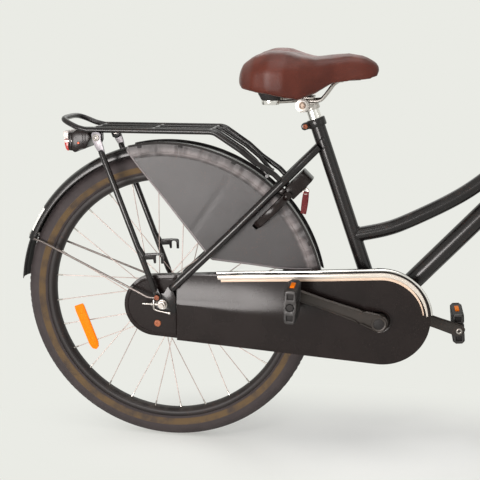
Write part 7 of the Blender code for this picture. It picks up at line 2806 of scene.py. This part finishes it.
@dataclass
class Steering:
    """The fork, headset, stem, handlebar, grips, front lamp and bell."""

    bar_radius: float = 0.0111
    grip_radius: float = 0.0155
    grip_length: float = 0.1180

    def centre(self) -> Vector:
        """The middle of the handlebar's clamped part."""
        return rear(0.7650, 0.0, 0.5600)

    def fork(self) -> Shape:
        """Crown, curved blades and dropouts."""
        whole = rod(head_point(0.3600), head_point(HEAD_HIGH - 0.002), 0.0127, 32)
        stations = (
            (0.372, 0.0, 0.008), (0.368, 0.0, 0.024), (0.358, 0.0, 0.035), (0.340, 0.0, 0.0385),
            (0.200, 0.0, 0.043), (0.125, 0.002, 0.047), (0.075, 0.010, 0.0495), (0.030, 0.028, 0.0515),
            (0.015, 0.037, 0.052),
        )
        outline = [
            (0.013, -0.012), (0.0145, -0.004), (0.013, 0.006), (0.004, 0.017), (-0.004, 0.0205),
            (-0.012, 0.020), (-0.020, 0.0135), (-0.033, 0.0125), (-0.0345, 0.0078), (-0.033, 0.003),
            (-0.020, -0.004), (-0.013, -0.012), (-0.0051, -0.012), (-0.0051, 0.0), (-0.0036, 0.0036),
            (0.0, 0.0051), (0.0036, 0.0036), (0.0051, 0.0), (0.0051, -0.012),
        ]
        shift = FRONT - REAR
        points = [(x + shift.x, z + shift.z) for x, z in outline]
        for sign in (-1, 1):
            path = curved([head_point(d, f, sign * y) for d, f, y in stations], 6)
            shares = [
                1.25 if k < 10 else 1.0 if k < 26 else 1.0 - 0.32 * (k - 26) / (len(path) - 27)
                for k in range(len(path))
            ]
            whole.add(tube(path, 0.0100, 24, shares))
            whole.add(side_plate(points, sign * 0.04975, sign * 0.05425, bevel=0.0007))
        race = [
            (0.0130, 0.3620), (0.0200, 0.3620), (0.0212, 0.3650), (0.0205, 0.3700), (0.0185, 0.3760),
            (0.0185, 0.3797), (0.0130, 0.3797),
        ]
        return whole.add(turned(race, facing(head_point(0.0), HEAD_AXIS), 40, closed=True))

    def headset(self) -> Shape:
        """The top cone, washer and lock nut."""
        whole = Shape()
        base = facing(head_point(HEAD_HIGH + 0.0003), HEAD_AXIS)
        cone = [(0.0135, 0.0), (0.0182, 0.0), (0.0190, 0.0010), (0.0182, 0.0032), (0.0135, 0.0036)]
        whole.add(turned(cone, base, 44, closed=True))
        whole.add(nut(base @ Matrix.Translation((0, 0, 0.0036)), 0.0320, 0.0066, 0.0118))
        return whole

    def stem(self) -> Shape:
        """The quill stem with its clamp and bolts."""
        centre = self.centre()
        path = bent([head_point(0.4300), head_point(0.6000), centre], 0.024, 8)
        whole = tube(path, 0.0110, 32)
        clamp = [
            (0.0113, -0.0180), (0.0152, -0.0180), (0.0162, -0.0168), (0.0162, 0.0168), (0.0152, 0.0180),
            (0.0113, 0.0180),
        ]
        whole.add(turned(clamp, facing(centre, ACROSS), 40, closed=True))
        ears = block(
            centre + Vector((0.0090, -0.0120, -0.0215)), centre + Vector((0.0200, 0.0120, -0.0100)), 0.0018,
        )
        whole.add(ears)
        whole.add(dome_bolt(facing(head_point(0.6115, 0.0020), HEAD_AXIS), 0.0080, 0.0030))
        return whole

    def corners(self, side: int) -> list[Vector]:
        """The handlebar's corners from one grip to the clamp."""
        centre = self.centre()
        shifts = (
            (-0.175, 0.280, 0.078), (-0.050, 0.256, 0.090), (0.0, 0.225, 0.086), (0.025, 0.170, 0.065),
            (0.020, 0.110, 0.025), (0.0, 0.075, 0.0), (0.0, 0.0, 0.0),
        )
        return [centre + Vector((x, side * y, z)) for x, y, z in shifts]

    def handlebar(self) -> Shape:
        """The swept tube."""
        half = self.corners(-1)
        path = bent(half + mirrored(half[:-1]), 0.040, 8)
        return tube(path, self.bar_radius, 28)

    def grip(self, side: int) -> Shape:
        """A ribbed grip with its end flange and finger bumps."""
        end, corner = self.corners(side)[:2]
        axis = (corner - end).normalized()
        reach = self.grip_length
        profile = [(0.0, -0.0040), (0.0140, -0.0040), (0.0185, -0.0028), (0.0190, 0.0010), (0.0165, 0.0030)]
        count = 26
        for index in range(count):
            x = 0.0050 + (reach - 0.0170) * index / (count - 1)
            swell = 0.0004 * math.cos(2 * math.pi * index / 6.5)
            profile += [
                (0.01500 + swell, x), (self.grip_radius + swell, x + 0.0012),
                (self.grip_radius + swell, x + 0.0022),
            ]
        profile += [
            (0.0150, reach - 0.0090), (0.0182, reach - 0.0070), (0.0186, reach - 0.0020), (0.0160, reach),
            (0.0112, reach),
        ]
        return turned(profile, facing(end, axis), 40)

    def lamp(self) -> tuple[Shape, Shape, Shape]:
        """The front lamp's shell, its lens, and its arm."""
        place = facing(rear(0.8280, 0.0, 0.3960), (1, 0, 0), UP)
        shell = [
            (0.0, 0.0), (0.0120, 0.0006), (0.0180, 0.0060), (0.0225, 0.0180), (0.0262, 0.0340),
            (0.0282, 0.0455), (0.0290, 0.0490), (0.0290, 0.0500), (0.0270, 0.0500), (0.0262, 0.0460),
            (0.0, 0.0440),
        ]
        lens = [
            (0.0, 0.0512), (0.0100, 0.0508), (0.0200, 0.0496), (0.0266, 0.0480), (0.0266, 0.0450),
            (0.0, 0.0450),
        ]
        arm = tube(
            bent(
                [
                    head_point(0.3760, 0.0218), head_point(0.3760, 0.0218) + Vector((0.010, 0, 0)),
                    rear(0.8400, 0.0, 0.3860),
                ],
                0.010, 5,
            ),
            0.0040, 14,
        )
        foot = head_point(0.3760, 0.0190)
        arm.add(
            block(foot + Vector((-0.006, -0.009, -0.012)), foot + Vector((0.0015, 0.009, 0.012)), 0.0016),
        )
        return turned(shell, place, 48), turned(lens, place, 48), arm

    def bell(self) -> tuple[Shape, Shape, Shape]:
        """The bell's dome, its clamp and post, and its lever."""
        spot = self.centre() + ACROSS * 0.0500
        band = turned(
            [
                (0.0113, -0.0080), (0.0140, -0.0080), (0.0146, -0.0070), (0.0146, 0.0070), (0.0140, 0.0080),
                (0.0113, 0.0080),
            ],
            facing(spot, ACROSS), 32, closed=True,
        )
        band.add(rod(spot + UP * 0.0126, spot + UP * 0.0220, 0.0070, 24))
        plate_profile = [(0.0, 0.0198), (0.0240, 0.0198), (0.0244, 0.0204), (0.0, 0.0208)]
        band.add(turned(plate_profile, facing(spot, UP), 44))
        dome = [
            (0.0, 0.0375), (0.0050, 0.0372), (0.0110, 0.0358), (0.0165, 0.0333), (0.0210, 0.0300),
            (0.0240, 0.0262), (0.0256, 0.0228), (0.0262, 0.0205), (0.0252, 0.0205), (0.0238, 0.0240),
            (0.0, 0.0350),
        ]
        cap = turned(dome, facing(spot, UP), 56)
        cap.add(dome_bolt(facing(spot + UP * 0.0372, UP), 0.0036, 0.0012))
        lever = turned(
            [(0.0074, 0.0161), (0.0115, 0.0161), (0.0115, 0.0191), (0.0074, 0.0191)], facing(spot, UP), 32,
            closed=True,
        )
        low = spot + Vector((-0.0440, -0.0060, 0.0161))
        high = spot + Vector((-0.0085, 0.0060, 0.0191))
        lever.add(block(low, high, 0.0010))
        for index in range(4):
            x = -0.0420 + index * 0.0026
            lever.add(
                block(
                    spot + Vector((x, -0.0056, 0.0188)), spot + Vector((x + 0.0012, 0.0056, 0.0197)), 0.0003,
                ),
            )
        return cap, band, lever

    def build(self) -> None:
        """Makes the pieces."""
        body = Body.STEERING
        placed("fork_blades", self.fork(), PAINT, "fork", body=body)
        placed("headset_lock_nut", self.headset(), STEEL, body=body)
        placed("stem_quill", self.stem(), STEEL, "stem", body=body)
        placed("handlebar_swept", self.handlebar(), CHROME, "handlebar", body=body)
        for side in Side:
            word = side.name.lower()
            placed(f"grip_{word}_ribbed", self.grip(side.value), RUBBER, f"grip_{word}", body=body)
        shell, lens, arm = self.lamp()
        placed("front_lamp_shell", shell, PLASTIC, "front_lamp", body=body)
        placed("front_lamp_lens", lens, CLEAR_LENS, body=body, slot=Slot.CASE)
        placed("front_lamp_arm", arm, PAINT, body=body)
        cap, band, lever = self.bell()
        placed("bell_dome", cap, CHROME, "bell", body=body)
        placed("bell_clamp", band, STEEL, body=body)
        placed("bell_lever_ribbed", lever, PLASTIC, "bell_lever", body=Body.BELL_LEVER)


@dataclass
class Studio:
    """The pale floor, the soft lights, the background and the camera."""

    backdrop: Colour = (0.8227, 0.8309, 0.7834)
    focal: float = 67.8
    yaw: float = -0.165
    pitch: float = -0.222
    key_power: float = 62.0
    top_power: float = 27.0
    fill_power: float = 4.0
    front_power: float = 9.0
    rim_power: float = 10.0
    world_strength: float = 0.36
    eye: tuple[float, float, float] = (0.43843, -1.75107, 0.52493)

    def world(self) -> None:
        """Lights the scene evenly, and shows the backdrop colour to the camera and in reflections."""
        world = bpy.data.worlds.new("studio")
        bpy.context.scene.world = world
        shader = Shader(world)
        light = {"Color": (0.97, 1.0, 1.03), "Strength": self.world_strength}
        even = shader.node("ShaderNodeBackground", None, light)
        shown = shader.node("ShaderNodeBackground", None, {"Color": self.backdrop})
        shader.close(shader.node("ShaderNodeMixShader", None, {0: self.seen(shader), 1: even, 2: shown}))

    def seen(self, shader: Shader) -> Field:
        """Is 1 for rays from the camera, also by way of glossy or clear surfaces."""
        ray = shader.node("ShaderNodeLightPath", output="Is Camera Ray")
        glossy = Field(shader, ray.socket.node.outputs["Is Glossy Ray"])
        clear = Field(shader, ray.socket.node.outputs["Is Transmission Ray"])
        return ray.apply("MAXIMUM", glossy).apply("MAXIMUM", clear)

    def floor_material(self) -> bpy.types.Material:
        """A pale floor that fades into the backdrop's colour away from the bike."""
        material = bpy.data.materials.new("studio_floor")
        shader = Shader(material)
        spread = shader.place(scale=(1.25, 0.46, 1.0))
        far = shader.node(
            "ShaderNodeVectorMath", {"operation": "LENGTH"}, {0: spread}, "Value",
        ).step(0.10, 0.72)
        diffuse = shader.node("ShaderNodeBsdfDiffuse", None, {"Color": (0.99, 0.99, 0.955)})
        glow = shader.node("ShaderNodeEmission", None, {"Color": self.backdrop})
        seen = far * self.seen(shader)
        shader.close(shader.node("ShaderNodeMixShader", None, {0: seen, 1: diffuse, 2: glow}))
        return material

    def floor(self) -> None:
        """A big plane just under the tyres."""
        mesh = bpy.data.meshes.new("studio_floor")
        shape = Shape()
        bmesh.ops.create_grid(shape.mesh, x_segments=8, y_segments=8, size=30.0)
        shape.mesh.to_mesh(mesh)
        floor = bpy.data.objects.new("studio_floor", mesh)
        floor.location = (0.0, 0.0, CAD_BOX[0][2] - 0.0005)
        floor.data.materials.append(self.floor_material())
        bpy.context.scene.collection.objects.link(floor)

    def lamp(
        self, name: str, place: Point, target: Point, size: Point, power: float, colour: Colour,
    ) -> None:
        """One area light, so wide and so high, that looks at a target."""
        data = bpy.data.lights.new(name, "AREA")
        data.shape = "RECTANGLE"
        data.size, data.size_y = size
        data.energy = power
        data.color = colour
        lamp = bpy.data.objects.new(name, data)
        lamp.location = place
        lamp.rotation_euler = (Vector(target) - Vector(place)).to_track_quat("-Z", "Y").to_euler()
        bpy.context.scene.collection.objects.link(lamp)

    def camera(self) -> None:
        """The camera that took the photo, as worked out from the bike's lines."""
        data = bpy.data.cameras.new("photo")
        data.lens = self.focal
        data.sensor_width = 36.0
        data.clip_start = 0.05
        data.clip_end = 200.0
        camera = bpy.data.objects.new("photo", data)
        forward = Vector((
            math.sin(self.yaw) * math.cos(self.pitch), math.cos(self.yaw) * math.cos(self.pitch),
            math.sin(self.pitch),
        ))
        camera.location = REAR + Vector(self.eye)
        camera.rotation_euler = forward.to_track_quat("-Z", "Y").to_euler()
        bpy.context.scene.collection.objects.link(camera)
        bpy.context.scene.camera = camera

    def build(self) -> None:
        """Sets the stage."""
        scene = bpy.context.scene
        scene.view_settings.view_transform = "Standard"
        self.world()
        self.floor()
        middle_point = Vector((-0.1, 0.0, 0.45))
        self.lamp(
            "front", (-0.25, -1.9, 2.3), (-0.2, 0.0, 0.75), (0.7, 0.45), self.front_power, (1.0, 0.98, 0.96),
        )
        self.lamp(
            "key", (-1.15, -2.40, 0.47), (-0.85, 0.0, 0.45), (1.3, 0.86), self.key_power, (1.0, 0.955, 0.935),
        )
        self.lamp("top", (0.2, -0.5, 2.9), middle_point, (1.8, 1.8), self.top_power, (1.0, 0.99, 0.98))
        self.lamp("fill", (2.2, -1.6, 1.2), middle_point, (1.8, 1.8), self.fill_power, (0.99, 0.99, 1.0))
        self.lamp("rim", (-0.4, 2.2, 2.2), middle_point, (1.6, 1.6), self.rim_power, (1.0, 1.0, 1.0))
        self.camera()


def main() -> None:
    """Builds the bike's pieces and the studio."""
    logging.basicConfig(level=logging.INFO, format="%(message)s")
    parts = [
        FrameTubes(), Wheel("rear", Body.REAR_WHEEL, REAR, math.radians(43.24), 0.033, 0.026),
        Wheel("front", Body.FRONT_WHEEL, FRONT, math.pi / 28, 0.020, 0.0288), Reflector(), AxleHardware(),
        ChainDrive(), Cranks(), Pedal(Side.RIGHT, Cranks().end(Side.RIGHT), 0.022),
        Pedal(Side.LEFT, Cranks().end(Side.LEFT), -0.083), ChainCase(), Mudguards(), CoatGuards(), Carrier(),
        RearLamp(), RingLock(), Kickstand(), Saddle(), Steering(), Studio(),
    ]
    for part in parts:
        LOG.info("building %s", type(part).__name__)
        part.build()
    bpy.context.view_layer.update()


if __name__ == "__main__":
    main()
